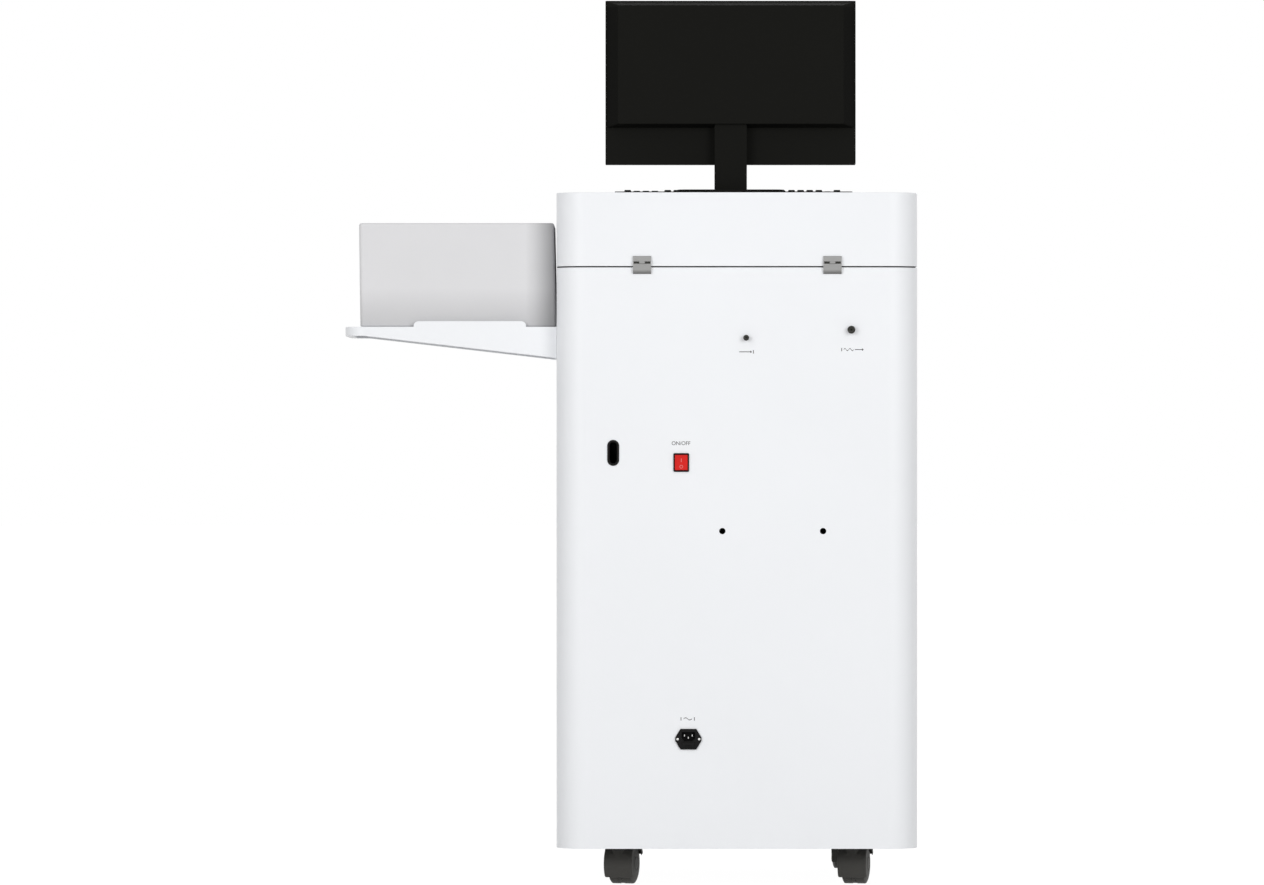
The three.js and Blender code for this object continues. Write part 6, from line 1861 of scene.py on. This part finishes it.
    def dress(self) -> None:
        """Black plastic."""
        self.paint(BLACK_PLASTIC)


@dataclass
class Monitor(SubAssembly):
    """The monitor on its stand: rear cover with a raised box, bezel, screen, button, column and base."""

    x: float = 8.0
    width: float = 459.5
    foot: float = 1303.0
    top: float = 1604.0
    corner: float = 1.6
    rear_y: float = 75.0
    cover_rear_y: float = 44.0
    cover_front_y: float = 26.0
    bezel_rear_y: float = 25.7
    bezel_front_y: float = 17.7
    raised_width: float = 412.7
    raised_zs: Span = (1377.0, 1594.0)
    bevel_side: float = 21.0
    bevel_top: float = 8.0
    bevel_foot: float = 6.4
    border: float = 14.0
    chin: float = 22.0
    screen_recess: float = 1.5
    screen_thickness: float = 6.0
    button_place: tuple = (207.75, 1314.0)
    column_width: float = 59.4
    column_thickness: float = 13.0
    column_y: float = 60.0
    tilt_z: float = 1386.0
    head_radius: float = 9.0
    pocket_ys: Span = (46.5, 73.0)
    pin: float = 4.0
    pin_reach: float = 12.0
    pin_hole: float = 4.4
    pin_room: float = 12.8
    key_hole: float = 4.4
    base_foot: float = 1242.3
    base_top: float = 1255.8
    base_width: float = 201.0
    base_ys: Span = (-68.0, 102.0)
    base_corner: float = 18.0
    base_bevel: float = 3.0

    def outline(self, inset: float) -> Loop:
        """The monitor's outline from behind."""
        return rounded_rect(about(self.x, self.width - 2 * inset), (self.foot + inset, self.top - inset),
                            self.corner, 6)

    def rear_cover(self) -> Solid:
        """The cover with its raised box, and the pocket for the stand's head."""
        shell = Solid.prism(Axis.Y, self.outline(0), (self.cover_front_y, self.cover_rear_y)).softened(0.8)
        half = self.raised_width / 2
        low, high = self.raised_zs
        face = rounded_rect((self.x - half, self.x + half), (low, high), 3, 4)
        root = rounded_rect((self.x - half - self.bevel_side, self.x + half + self.bevel_side),
                            (low - self.bevel_foot, high + self.bevel_top), 4, 4)
        raised = Solid.lofted(Axis.Y, [(root, self.cover_rear_y - 1), (root, self.cover_rear_y),
                                       (face, self.rear_y)]).softened(1.0, 3, 20)
        pocket = Solid.box(about(self.x, self.column_width + 2), self.pocket_ys,
                           (low - OVERRUN, self.tilt_z + 13))
        pins = Solid.rod(Axis.X, self.pin_hole, (self.column_y, self.tilt_z),
                         about(self.x, self.column_width + self.pin_room), 24)
        return shell.join(raised).cut(pocket, pins)

    def window(self, gap: float) -> Loop:
        """The screen's window in the bezel."""
        return rounded_rect(about(self.x, self.width - 2 * self.border + 2 * gap),
                            (self.foot + self.chin - gap, self.top - self.border + gap), 1.5, 4)

    def build(self) -> None:
        """Build the six pieces."""
        self.keep("monitor_back", self.rear_cover(), "monitor_head", "monitor_rear_cover")
        through = (self.bezel_front_y - OVERRUN, self.bezel_rear_y + OVERRUN)
        plate = Solid.prism(Axis.Y, self.outline(0), (self.bezel_front_y, self.bezel_rear_y)).softened(0.8)
        frame = plate.cut(Solid.prism(Axis.Y, self.window(0), through),
                          Solid.rod(Axis.Y, self.key_hole, self.button_place, through, 32))
        self.keep("monitor_frame", frame.softened(0.3, 2), "monitor_head", "monitor_bezel")
        panel = Solid.prism(Axis.Y, self.window(-SEAT_GAP), reach(self.bezel_front_y + self.screen_recess,
                                                                  self.screen_thickness))
        self.keep("monitor_panel", panel, "monitor_head", "monitor_screen")
        front = self.bezel_front_y - 1.0
        self.keep("monitor_key", Solid.turned(Axis.Y, [
            (0, front + 0.2), (3.2, front), (4.0, front + 0.6), (4.0, self.bezel_rear_y - 1.6),
            (0, self.bezel_rear_y - 1.6)], self.button_place, 32), "monitor_push", "monitor_button")
        self.keep("stand_column", self.column(), "lid", "monitor_column")
        self.keep("stand_base", self.base(), "lid", "monitor_base")

    def column(self) -> Solid:
        """The flat column with its round head and pivot pins."""
        post = Solid.box(about(self.x, self.column_width), about(self.column_y, self.column_thickness),
                         (self.base_top + SEAT_GAP, self.tilt_z)).softened(1.2)
        head = Solid.rod(Axis.X, self.head_radius, (self.column_y, self.tilt_z),
                         about(self.x, self.column_width), 40)
        pins = Solid.rod(Axis.X, self.pin, (self.column_y, self.tilt_z),
                         about(self.x, self.column_width + self.pin_reach), 24)
        return post.join(head.softened(0.6, 2), pins)

    def base(self) -> Solid:
        """The base plate with its bevelled edge."""

        def plan(inset: float) -> Loop:
            """The plate's plan, drawn in by an inset."""
            return rounded_rect(about(self.x, self.base_width - 2 * inset),
                                (self.base_ys[0] + inset, self.base_ys[1] - inset), self.base_corner, 8)

        return Solid.lofted(Axis.Z, [(plan(0.6), self.base_foot), (plan(0), self.base_foot + 0.6),
                                     (plan(0), self.base_top - self.base_bevel),
                                     (plan(self.base_bevel), self.base_top)]).softened(0.5, 2, 30)

    def dress(self) -> None:
        """Black plastic round a dark screen; the rear cover has painted shade on its raised box's bevels."""
        self.paint(SCREEN, "monitor_panel")
        self.paint(CASTOR_PLASTIC, "monitor_key")
        self.paint(MONITOR_PLASTIC, "monitor_back")
        self.paint(BLACK_PLASTIC)


@dataclass
class Castor(SubAssembly):
    """One castor: a hood with its stem, and a pair of wheels on one axle."""

    corner: Corner = Corner.REAR_LEFT
    spread_x: float = 211.0
    spread_y: float = 255.0
    height: float = 106.5
    trail: float = 25.0
    wheel_radius: float = 37.5
    wheel_width: float = 21.0
    facets: int = 18
    web_half: float = 3.1
    web_gap: float = 0.4
    web_radius: float = 36.2
    dome: float = 6.5
    hub_groove: float = 0.7
    hood_gap: float = 2.0
    hood_wall: float = 2.5
    lip: float = 1.4
    lip_depth: float = 8.0
    lip_gap: float = 0.5
    hood_angles: Span = (-38.0, 158.0)
    hood_round: float = 3.4
    hood_steps: int = 36
    axle: float = 5.0
    boss: float = 15.0
    stem: float = 5.5
    stem_length: float = 28.0
    sides: int = 72
    tread_edge: float = 1.2
    dome_steps: tuple = (1.0, 0.985, 0.95, 0.9, 0.8, 0.7, 0.6, 0.5, 0.42,
                         0.36, 0.345, 0.315, 0.3, 0.2, 0.1, 0.0)
    groove_share: Span = (0.315, 0.345)

    @property
    def axle_z(self) -> float:
        """The axle's height, with a flat of the wheel on the floor."""
        return self.wheel_radius * math.cos(math.pi / self.facets)

    def ring_sector(self, inner: float, outer: float) -> Loop:
        """A sector of a ring about the axle, or of a disc."""
        centre = (-self.trail, self.axle_z)
        start, end = self.hood_angles
        far = arc(centre, outer, start, end, self.hood_steps)
        return far + (arc(centre, inner, end, start, self.hood_steps) if inner else [centre])

    def hood(self) -> Solid:
        """The hood with its side lips, web, stem and axle bore."""
        inner = self.wheel_radius + self.hood_gap
        outer = inner + self.hood_wall
        half = self.web_half + self.web_gap + self.wheel_width + self.lip_gap + self.lip
        centre = (-self.trail, self.axle_z)
        block = Solid.prism(Axis.X, self.ring_sector(0, outer), (-half, half))
        block = block.softened(self.hood_round, 4, 50)
        rooms = []
        for side in (-1, 1):
            xs = between(side * self.web_half, side * (half - self.lip))
            rooms.append(Solid.rod(Axis.X, inner, centre, xs, self.sides))
            past = between(side * (half - self.lip - 1), side * (half + 1))
            rooms.append(Solid.rod(Axis.X, inner - self.lip_depth, centre, past, self.sides))
        disc = Solid.rod(Axis.X, self.web_radius, centre, (-self.web_half, self.web_half), self.sides)
        boss = Solid.rod(Axis.Z, self.boss, (0, 0), (self.axle_z, self.height), 36).cut(
            Solid.rod(Axis.X, inner + 0.5, centre, (-4 * half, 4 * half), self.sides))
        stem = Solid.rod(Axis.Z, self.stem, (0, 0), (self.height - 3, self.height + self.stem_length), 24)
        bore = Solid.rod(Axis.X, self.axle + RUNNING_GAP, centre, (-4 * half, 4 * half), 28)
        return block.cut(*rooms).join(disc, boss, stem).cut(bore).softened(0.4, 2)

    def wheels(self) -> Solid:
        """Both wheels and their axle, with domed outer faces and a groove round each hub."""
        near = self.web_half + self.web_gap
        far = near + self.wheel_width
        radius = self.axle_z
        half = [(self.axle, near), (radius - self.tread_edge, near), (radius, near + self.tread_edge)]
        for share in self.dome_steps:
            sunk = self.hub_groove if self.groove_share[0] <= share <= self.groove_share[1] else 0
            half.append((radius * share, far - (self.dome * (1 - math.sqrt(1 - share ** 2)) + sunk)))
        both = [(r, -x) for r, x in reversed(half)] + half
        return Solid.turned(Axis.X, both, (-self.trail, self.axle_z), self.sides)

    def build(self) -> None:
        """Build hood and wheels, and turn them to the castor's heading."""
        name, across, along, heading = self.corner.value
        turn = Matrix.Rotation(math.radians(heading), 4, "Z")
        place = Matrix.Translation((across * self.spread_x, along * self.spread_y, -DATUM_Z)) @ turn
        self.keep(f"hood_{name}", self.hood().moved(place), f"castor_{name}", f"castor_hood_{name}")
        self.keep(f"twin_wheels_{name}", self.wheels().moved(place), f"wheels_{name}",
                  f"castor_wheels_{name}")

    def dress(self) -> None:
        """Dark grey plastic."""
        self.paint(CASTOR_PLASTIC)


@dataclass
class Front(SubAssembly):
    """The front: upper panel with its recess opening, door with latch, and the two push buttons."""

    front_y: float = -365.0
    opening_half: float = 261.7
    panel_zs: Span = (813.0, 1107.1)
    pan_depth: float = 20.0
    sheet: float = 2.0
    recess_half: float = 205.0
    recess_zs: Span = (820.6, 1088.0)
    button_x: float = 232.0
    buttons: tuple = (("start", 1000.0), ("stop", 955.0))
    button_radius: float = 8.0
    collar_radius: float = 11.0
    door_half: float = 260.0
    door_zs: Span = (112.0, 811.0)
    door_pivot: tuple = (-248.0, -359.0)
    latch_place: tuple = (225.0, 480.0)
    latch_hole: float = 7.4
    latch_shaft: float = 6.9
    shaft_end: float = -341.2
    cam_ys: Span = (-343.5, -340.5)
    pivot_pin: float = 3.0
    pivot_hole: float = 3.4
    pivot_reach: float = 3.6
    collar_proud: float = 1.5
    collar_profile: tuple = ((8.4, 0), (10.2, 0), (11.0, 0.8), (11.0, 1.45),
                             (9.4, 1.45), (9.4, 14), (8.4, 14))
    button_proud: float = 6.5
    button_profile: tuple = ((0, 0.9), (4.0, 0.55), (6.6, 0), (7.5, 0.3), (8.0, 1.2), (8.0, 19), (0, 19))
    latch_profile: tuple = ((0, -2.5), (12.6, -2.5), (14.0, -1.4), (14.0, 0), (0, 0))

    def pan(self, half: float, zs: Span) -> Solid:
        """A sheet pan with soft outer bends."""
        outer = Solid.box((-half, half), (self.front_y, self.front_y + self.pan_depth), zs).softened(1.4)
        inner = Solid.box((self.sheet - half, half - self.sheet),
                          (self.front_y + self.sheet, self.front_y + self.pan_depth + OVERRUN),
                          (zs[0] + self.sheet, zs[1] - self.sheet))
        return outer.cut(inner)

    def panel(self) -> Solid:
        """The upper panel with its opening and holes."""
        opening = Solid.box((-self.recess_half, self.recess_half), (self.front_y - 9, self.front_y + 9),
                            self.recess_zs)
        holes = [Solid.rod(Axis.Y, self.collar_radius - 1.5, (self.button_x, z),
                           (self.front_y - 9, self.front_y + 9))
                 for _, z in self.buttons]
        pin = Solid.rod(Axis.Z, self.pivot_hole, self.door_pivot, about(self.panel_zs[0], 24), 20)
        return self.pan(self.opening_half, self.panel_zs).cut(opening, *holes, pin).softened(0.4, 2)

    def door(self) -> Solid:
        """The door with its latch hole."""
        hole = Solid.rod(Axis.Y, self.latch_hole, self.latch_place,
                         (self.front_y - 9, self.front_y + self.pan_depth))
        return self.pan(self.door_half, self.door_zs).cut(hole)

    def collar(self, z: float) -> Solid:
        """The ring round a push button, with its nut behind the panel."""
        profile = stepped(self.collar_profile, self.front_y - self.collar_proud)
        return Solid.turned(Axis.Y, profile, (self.button_x, z), 48)

    def button(self, z: float) -> Solid:
        """A push button with a dished face."""
        profile = stepped(self.button_profile, self.front_y - self.button_proud)
        return Solid.turned(Axis.Y, profile, (self.button_x, z), 48)

    def latch(self) -> Solid:
        """The quarter-turn latch: disc, grip, shaft and cam."""
        x, z = self.latch_place
        face = self.front_y - SEAT_GAP
        disc = Solid.turned(Axis.Y, stepped(self.latch_profile, face), self.latch_place, 48)
        grip = Solid.prism(Axis.Y, rounded_rect(about(x, 8), about(z, 34), 3.9, 8), (face - 14.5, face - 0.4))
        shaft = Solid.rod(Axis.Y, self.latch_shaft, self.latch_place, (face - 0.6, self.shaft_end), 36)
        cam = Solid.prism(Axis.Y, rounded_rect(about(x, 14.2), (z - 42, z + 7.1), 7, 8), self.cam_ys)
        return disc.join(shaft).join(grip.softened(1.2)).join(cam.softened(0.4, 2))

    def door_pins(self) -> Solid:
        """The two pivot pins of the door."""
        low, high = self.door_zs
        pins = [Solid.rod(Axis.Z, self.pivot_pin, self.door_pivot, span, 24).softened(0.4, 2)
                for span in ((low - self.pivot_reach, low + 0.05), (high - 0.05, high + self.pivot_reach))]
        return pins[0].beside(pins[1])

    def build(self) -> None:
        """Build panel, door, pins, latch, collars and buttons."""
        self.keep("upper_panel", self.panel(), "cabinet", "front_upper_panel")
        self.keep("door_pan", self.door(), "door", "front_door")
        self.keep("door_pivot_pins", self.door_pins(), "door")
        self.keep("quarter_turn_latch", self.latch(), "latch", "door_latch")
        for name, z in self.buttons:
            self.keep(f"{name}_collar", self.collar(z), "cabinet")
            self.keep(f"{name}_push_button", self.button(z), f"{name}_push", f"{name}_button")

    def dress(self) -> None:
        """White panels, bright collars and coloured buttons."""
        self.paint(GREEN_PLASTIC, "start_push_button")
        self.paint(RED_PLASTIC, "stop_push_button")
        self.paint(BRIGHT_STEEL, "start_collar", "stop_collar", "door_pivot_pins")
        self.paint(DARK_METAL, "quarter_turn_latch")
        self.paint(WHITE_PAINT)


@dataclass
class SparkStand(SubAssembly):
    """What stands in the recess: spark stand, plate, electrode and the sample clamp."""

    width: float = 110.0
    ys: Span = (-290.0, -150.0)
    zs: Span = (820.9, 914.9)
    corner: float = 10.0
    spark_y: float = -222.0
    chamber_radius: float = 15.0
    chamber_depth: float = 60.0
    light_z: float = 902.9
    plate_ys: Span = (-284.0, -160.0)
    plate_half: float = 60.0
    plate_zs: Span = (915.2, 923.2)
    spark_hole: float = 6.5
    post_x: float = 80.0
    post_top: float = 1040.0
    arm_zs: Span = (985.0, 1005.0)
    rod_top: float = 1052.0
    knob_height: float = 20.0
    light_radius: float = 8.0
    electrode_zs: Span = (913.6, 918.6)
    screw_xs: Span = (-50.0, 50.0)
    screw_ys: Span = (-274.0, -170.0)
    post_hole: float = 8.4
    rod_hole: float = 5.4
    rib_middle: float = 7.6
    fitting_proud: float = 10.0
    fitting_profile: tuple = ((0, 0), (10.4, 0), (12, 1.6), (12, 10.1), (0, 10.1))
    holder_profile: tuple = ((0, 0), (9, 0), (9, 13), (8, 14), (3, 14))
    flange_profile: tuple = ((0, 0), (14.4, 0), (15, 0.6), (15, 5), (14, 6), (8, 6))
    collar_profile: tuple = ((8, -8), (11.4, -8), (12, -7.4), (12, 0), (8, 0))
    pad_profile: tuple = ((0, 0), (6.2, 0), (7, 0.8), (7, 7), (6, 8), (5, 8))
    pad_rise: float = 26.0

    def stand(self) -> Solid:
        """The cast body with its chamber and light bore."""
        plan = rounded_rect(about(0, self.width), self.ys, self.corner, 10)
        body = Solid.prism(Axis.Z, plan, self.zs).softened(1.5)
        chamber = Solid.rod(Axis.Z, self.chamber_radius, (0, self.spark_y),
                            (self.zs[1] - self.chamber_depth, self.zs[1] + OVERRUN), 40)
        light = Solid.rod(Axis.Y, self.light_radius, (0, self.light_z),
                          (self.spark_y, self.ys[1] + OVERRUN), 28)
        return body.cut(chamber, light)

    def flush_knob(self) -> Solid:
        """The round flush fitting on the stand's front."""
        z = self.zs[0] + (self.zs[1] - self.zs[0]) / 2
        return Solid.turned(Axis.Y, stepped(self.fitting_profile, self.ys[0] - self.fitting_proud),
                            (0, z), 48)

    def plate(self) -> Solid:
        """The spark plate with a chamfered edge and its spark hole."""

        def plan(inset: float) -> Loop:
            """The plate's plan, drawn in by an inset."""
            return rounded_rect((inset - self.plate_half, self.plate_half - inset),
                                (self.plate_ys[0] + inset, self.plate_ys[1] - inset), 9, 8)

        low, high = self.plate_zs
        slab = Solid.lofted(Axis.Z, [(plan(0), low), (plan(0), high - 1.5), (plan(1.5), high)])
        hole = Solid.turned(Axis.Z, [(0, low - 5), (self.spark_hole, low - 5), (self.spark_hole, high - 0.8),
                                     (self.spark_hole + 2.8, high + 2), (0, high + 2)], (0, self.spark_y), 48)
        return slab.cut(hole)

    def electrode(self) -> Solid:
        """The counter electrode in its holder."""
        foot = self.zs[1] - self.chamber_depth + SEAT_GAP
        shoulder, tip = self.electrode_zs
        profile = [*stepped(self.holder_profile, foot), (3, shoulder), (0, tip)]
        return Solid.turned(Axis.Z, profile, (0, self.spark_y), 36)

    def post(self) -> Solid:
        """The clamp's post with its foot flange and stop collar."""
        profile = stepped(self.flange_profile, self.zs[0])
        profile += stepped(self.collar_profile, self.arm_zs[0] - SEAT_GAP)
        profile += [(8, self.post_top - 1), (7, self.post_top), (0, self.post_top)]
        return Solid.turned(Axis.Z, profile, (self.post_x, self.spark_y), 40)

    def arm(self) -> Solid:
        """The swinging arm between post and clamp rod."""
        outline = arc((0, self.spark_y), 12, 90, 270, 24) + arc((self.post_x, self.spark_y), 15, -90, 90, 28)
        bar = Solid.prism(Axis.Z, outline, self.arm_zs)
        through = (self.arm_zs[0] - OVERRUN, self.arm_zs[1] + OVERRUN)
        bores = [Solid.rod(Axis.Z, self.post_hole, (self.post_x, self.spark_y), through, 40),
                 Solid.rod(Axis.Z, self.rod_hole, (0, self.spark_y), through, 36)]
        return bar.softened(1.2).cut(*bores)

    def rod(self) -> Solid:
        """The clamp rod with its pad and knob."""
        knob, top = self.rod_top - self.knob_height, self.rod_top
        profile = stepped(self.pad_profile, self.plate_zs[1] + self.pad_rise)
        profile += [(5, knob), (10.6, knob), (11.4, knob + 1), (11.4, top - 5), (8.4, top - 0.8), (6.8, top),
                    (0, top)]
        return Solid.turned(Axis.Z, profile, (0, self.spark_y), 40)

    def knurl(self) -> Solid:
        """Grip ribs round the knob."""
        sizes = {"Count": 30, "Radius": 11.3, "Rib Length": 12.0, "Rib Width": 1.1, "Rib Depth": 1.3}
        ring = rib_ring_recipe().worked(seed_points([(0, 0, 0)]), sizes, DARK_METAL, 0.25)
        middle = self.rod_top - self.knob_height + self.rib_middle
        return ring.moved(Matrix.Translation((0, self.spark_y, middle)))

    def plate_screws(self) -> Solid:
        """Four screws that hold the spark plate down."""
        points = [(x, y, self.plate_zs[1] + 0.02) for x in self.screw_xs for y in self.screw_ys]
        return cap_screws(points, {"Head Radius": 3.4, "Head Height": 1.6, "Socket Radius": 1.9,
                                   "Socket Depth": 1.4}, 0.2)

    def build(self) -> None:
        """Build the stand and the clamp."""
        self.keep("stand_casting", self.stand(), "cabinet", "spark_stand_body")
        self.keep("flush_fitting", self.flush_knob(), "cabinet")
        self.keep("sample_plate", self.plate(), "cabinet", "spark_plate")
        self.keep("sample_plate_screws", self.plate_screws(), "cabinet")
        self.keep("electrode", self.electrode(), "cabinet", "counter_electrode")
        self.keep("clamp_column", self.post(), "cabinet", "clamp_post")
        self.keep("clamp_swing_bar", self.arm(), "clamp_swing_arm", "clamp_arm")
        self.keep("clamp_plunger_rod", self.rod(), "clamp_plunger", "clamp_rod")
        self.keep("clamp_knob_knurl", self.knurl(), "clamp_plunger")

    def dress(self) -> None:
        """Cast aluminium, satin steel and dark fittings."""
        self.paint(CAST_ALUMINIUM, "stand_casting", "clamp_swing_bar")
        self.paint(BRIGHT_STEEL, "sample_plate", "sample_plate_screws", "clamp_column", "electrode")
        self.paint(DARK_METAL)


@dataclass
class Interior(SubAssembly):
    """What the cabinet holds. Its solids are right as they are; here they get finishes and screws."""

    nodes: dict[str, Finish] = field(default_factory=lambda: {
        "base_frame": GREY_PAINT, "inner_deck": GREY_PAINT, "equipment_shelf": GREY_PAINT,
        "niche_liner": GREY_PAINT, "optics_chamber": CAST_ALUMINIUM, "optics_cover": CAST_ALUMINIUM,
        "concave_grating": GRATING, "detector_bar": DARK_METAL, "spark_source_box": ZINC,
        "power_supply": ZINC, "computer_case": DARK_METAL, "argon_manifold": BRASS})
    cover_xs: tuple = (-262.0, -157.0, -52.0, 52.0, 157.0, 262.0)
    cover_front_y: float = -113.0
    cover_rear_y: float = 283.0
    cover_side_ys: tuple = (-14.0, 86.0, 186.0)
    cover_top: float = 1070.9
    module_inset: float = 9.0
    modules: tuple = ("spark_source_box", "power_supply", "computer_case")

    def cover_screws(self) -> Solid:
        """Cap screws round the optics cover."""
        points = [(x, self.cover_front_y, self.cover_top) for x in self.cover_xs]
        points += [(x, self.cover_rear_y, self.cover_top) for x in self.cover_xs[1:-1]]
        points += [(x, y, self.cover_top) for x in self.cover_xs[::5] for y in self.cover_side_ys]
        return cap_screws(points, {}, 0.3)

    def module_screws(self) -> Solid:
        """Four screws on the top of each electrical module."""
        points = []
        for node in self.modules:
            low, high = (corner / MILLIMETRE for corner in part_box(node))
            for x in (low.x + self.module_inset, high.x - self.module_inset):
                for y in (low.y + self.module_inset, high.y - self.module_inset):
                    points.append((x - CENTRE_X, y, high.z - DATUM_Z))
        return cap_screws(points, {"Head Radius": 3.2, "Head Height": 1.8, "Socket Radius": 1.7,
                                   "Socket Depth": 1.5}, 0.2)

    def build(self) -> None:
        """Build the screws."""
        self.keep("optics_cover_screws", self.cover_screws(), "cabinet")
        self.keep("module_screws", self.module_screws(), "cabinet")

    def dress(self) -> None:
        """Dress the CAD nodes and the screws."""
        for node, finish in self.nodes.items():
            finish.dress(bpy.data.objects[node])
        self.paint(BRIGHT_STEEL)


@dataclass
class Studio:
    """Camera, lamps, pale floor and white surroundings."""

    camera_x: float = -0.002
    camera_distance: float = 14.0
    camera_z: float = 0.7992
    rear_y: float = 0.365
    focal: float = 222.07
    sky: float = 0.5
    lamp_x: float = 2.65
    lamp_y: float = 4.6
    lamp_z: float = 2.05
    side_aim: tuple = (0, 0.36, 0.95)
    side_size: tuple = (2.0, 2.6)
    side_power: float = 79.5
    front_place: tuple = (-1.5, -4.6, 2.8)
    front_aim: tuple = (0, 0, 0.9)
    front_size: tuple = (3.0, 2.4)
    front_power: float = 70.0
    floor_half: float = 60.0
    floor_drop: float = 0.0004
    floor_colour: tuple = (0.6, 0.59, 0.58)
    floor_roughness: float = 0.9
    floor_gloss: float = 0.1
    floor_glow: float = 1.16
    floor_share: float = 0.85

    def camera(self) -> None:
        """Look straight at the rear from the photograph's place."""
        data = bpy.data.cameras.new("camera")
        data.lens = self.focal
        data.sensor_width = 36.0
        data.clip_end = 200.0
        camera = linked("camera", data)
        camera.location = (self.camera_x, self.rear_y + self.camera_distance, self.camera_z)
        camera.rotation_euler = (math.pi / 2, 0, math.pi)
        bpy.context.scene.camera = camera

    def lamp(self, name: str, place: tuple, aim: tuple, size: tuple, power: float) -> None:
        """A soft rectangular lamp.

        Args:
            name: its name.
            place: where it stands.
            aim: the point that it faces.
            size: its width and height.
            power: its power in watts.
        """
        data = bpy.data.lights.new(name, "AREA")
        data.shape = "RECTANGLE"
        data.size, data.size_y = size
        data.energy = power
        lamp = linked(name, data)
        lamp.location = place
        lamp.rotation_euler = (Vector(aim) - Vector(place)).to_track_quat("-Z", "Y").to_euler()

    def seen_directly(self, tree: bpy.types.NodeTree) -> bpy.types.NodeSocket:
        """One where the camera, a reflection or a transmission looks, and nought for other rays."""
        path = add_node(tree, "ShaderNodeLightPath")
        seen = path.outputs["Is Camera Ray"]
        for ray in ("Is Glossy Ray", "Is Transmission Ray"):
            either = add_node(tree, "ShaderNodeMath", {"operation": "MAXIMUM"},
                              {0: seen, 1: path.outputs[ray]})
            seen = either.outputs[0]
        return seen

    def surroundings(self) -> None:
        """A white world that lights the object at a plain level."""
        world = bpy.data.worlds.new("studio")
        world.use_nodes = True
        tree = world.node_tree
        back = tree.nodes["Background"]
        strength = add_node(tree, "ShaderNodeMix", inputs={0: self.seen_directly(tree), 2: self.sky, 3: 1.0})
        feed(tree, back.inputs["Color"], (1, 1, 1))
        feed(tree, back.inputs["Strength"], strength.outputs[0])
        bpy.context.scene.world = world

    def floor(self) -> None:
        """A wide pale floor that keeps the object's shadow."""
        mesh = bpy.data.meshes.new("floor")
        half = self.floor_half
        mesh.from_pydata([(-half, -half, 0), (half, -half, 0), (half, half, 0), (-half, half, 0)], [],
                         [(0, 1, 2, 3)])
        mesh.transform(Matrix.Translation((0, 0, -self.floor_drop)))
        floor = linked("floor", mesh)
        material = bpy.data.materials.new("floor")
        material.use_nodes = True
        tree = material.node_tree
        matt = tree.nodes["Principled BSDF"]
        for label, value in (("Base Color", self.floor_colour), ("Roughness", self.floor_roughness),
                             ("Specular IOR Level", self.floor_gloss)):
            feed(tree, matt.inputs[label], value)
        glow = add_node(tree, "ShaderNodeEmission", inputs={"Strength": self.floor_glow})
        share = add_node(tree, "ShaderNodeMath", {"operation": "MULTIPLY"}, {
            0: self.seen_directly(tree), 1: self.floor_share})
        mix = add_node(tree, "ShaderNodeMixShader", inputs={
            0: share.outputs[0], 1: matt.outputs[0], 2: glow.outputs[0]})
        feed(tree, tree.nodes["Material Output"].inputs["Surface"], mix.outputs[0])
        mesh.materials.append(material)

    def build(self) -> None:
        """Set up camera, lamps, floor and world."""
        self.camera()
        for side in (-1, 1):
            self.lamp("side", (side * self.lamp_x, self.lamp_y, self.lamp_z), self.side_aim, self.side_size,
                      self.side_power)
        self.lamp("front", self.front_place, self.front_aim, self.front_size, self.front_power)
        self.floor()
        self.surroundings()
        bpy.context.scene.view_settings.view_transform = "Standard"


def main() -> None:
    """Load the frame, then build and dress every sub-assembly in order."""
    logging.basicConfig(level=logging.INFO, format="%(message)s")
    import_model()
    Studio().build()
    groups: list[SubAssembly] = [
        Enclosure(), LidHinges(), GasFittings(), CableSlot(), MainsRocker(), MainsInlet(), RearMarks(),
        SideShelf(), Printer(), Keyboard(), Monitor(), *[Castor(corner=corner) for corner in Corner],
        Front(), SparkStand(), Interior()]
    for group in groups:
        group.build()
        group.dress()
        log.info("%s: %s", type(group).__name__, ", ".join(
            f"{name} {len(obj.data.polygons)}" for name, obj in group.made.items()))


if __name__ == "__main__":
    main()
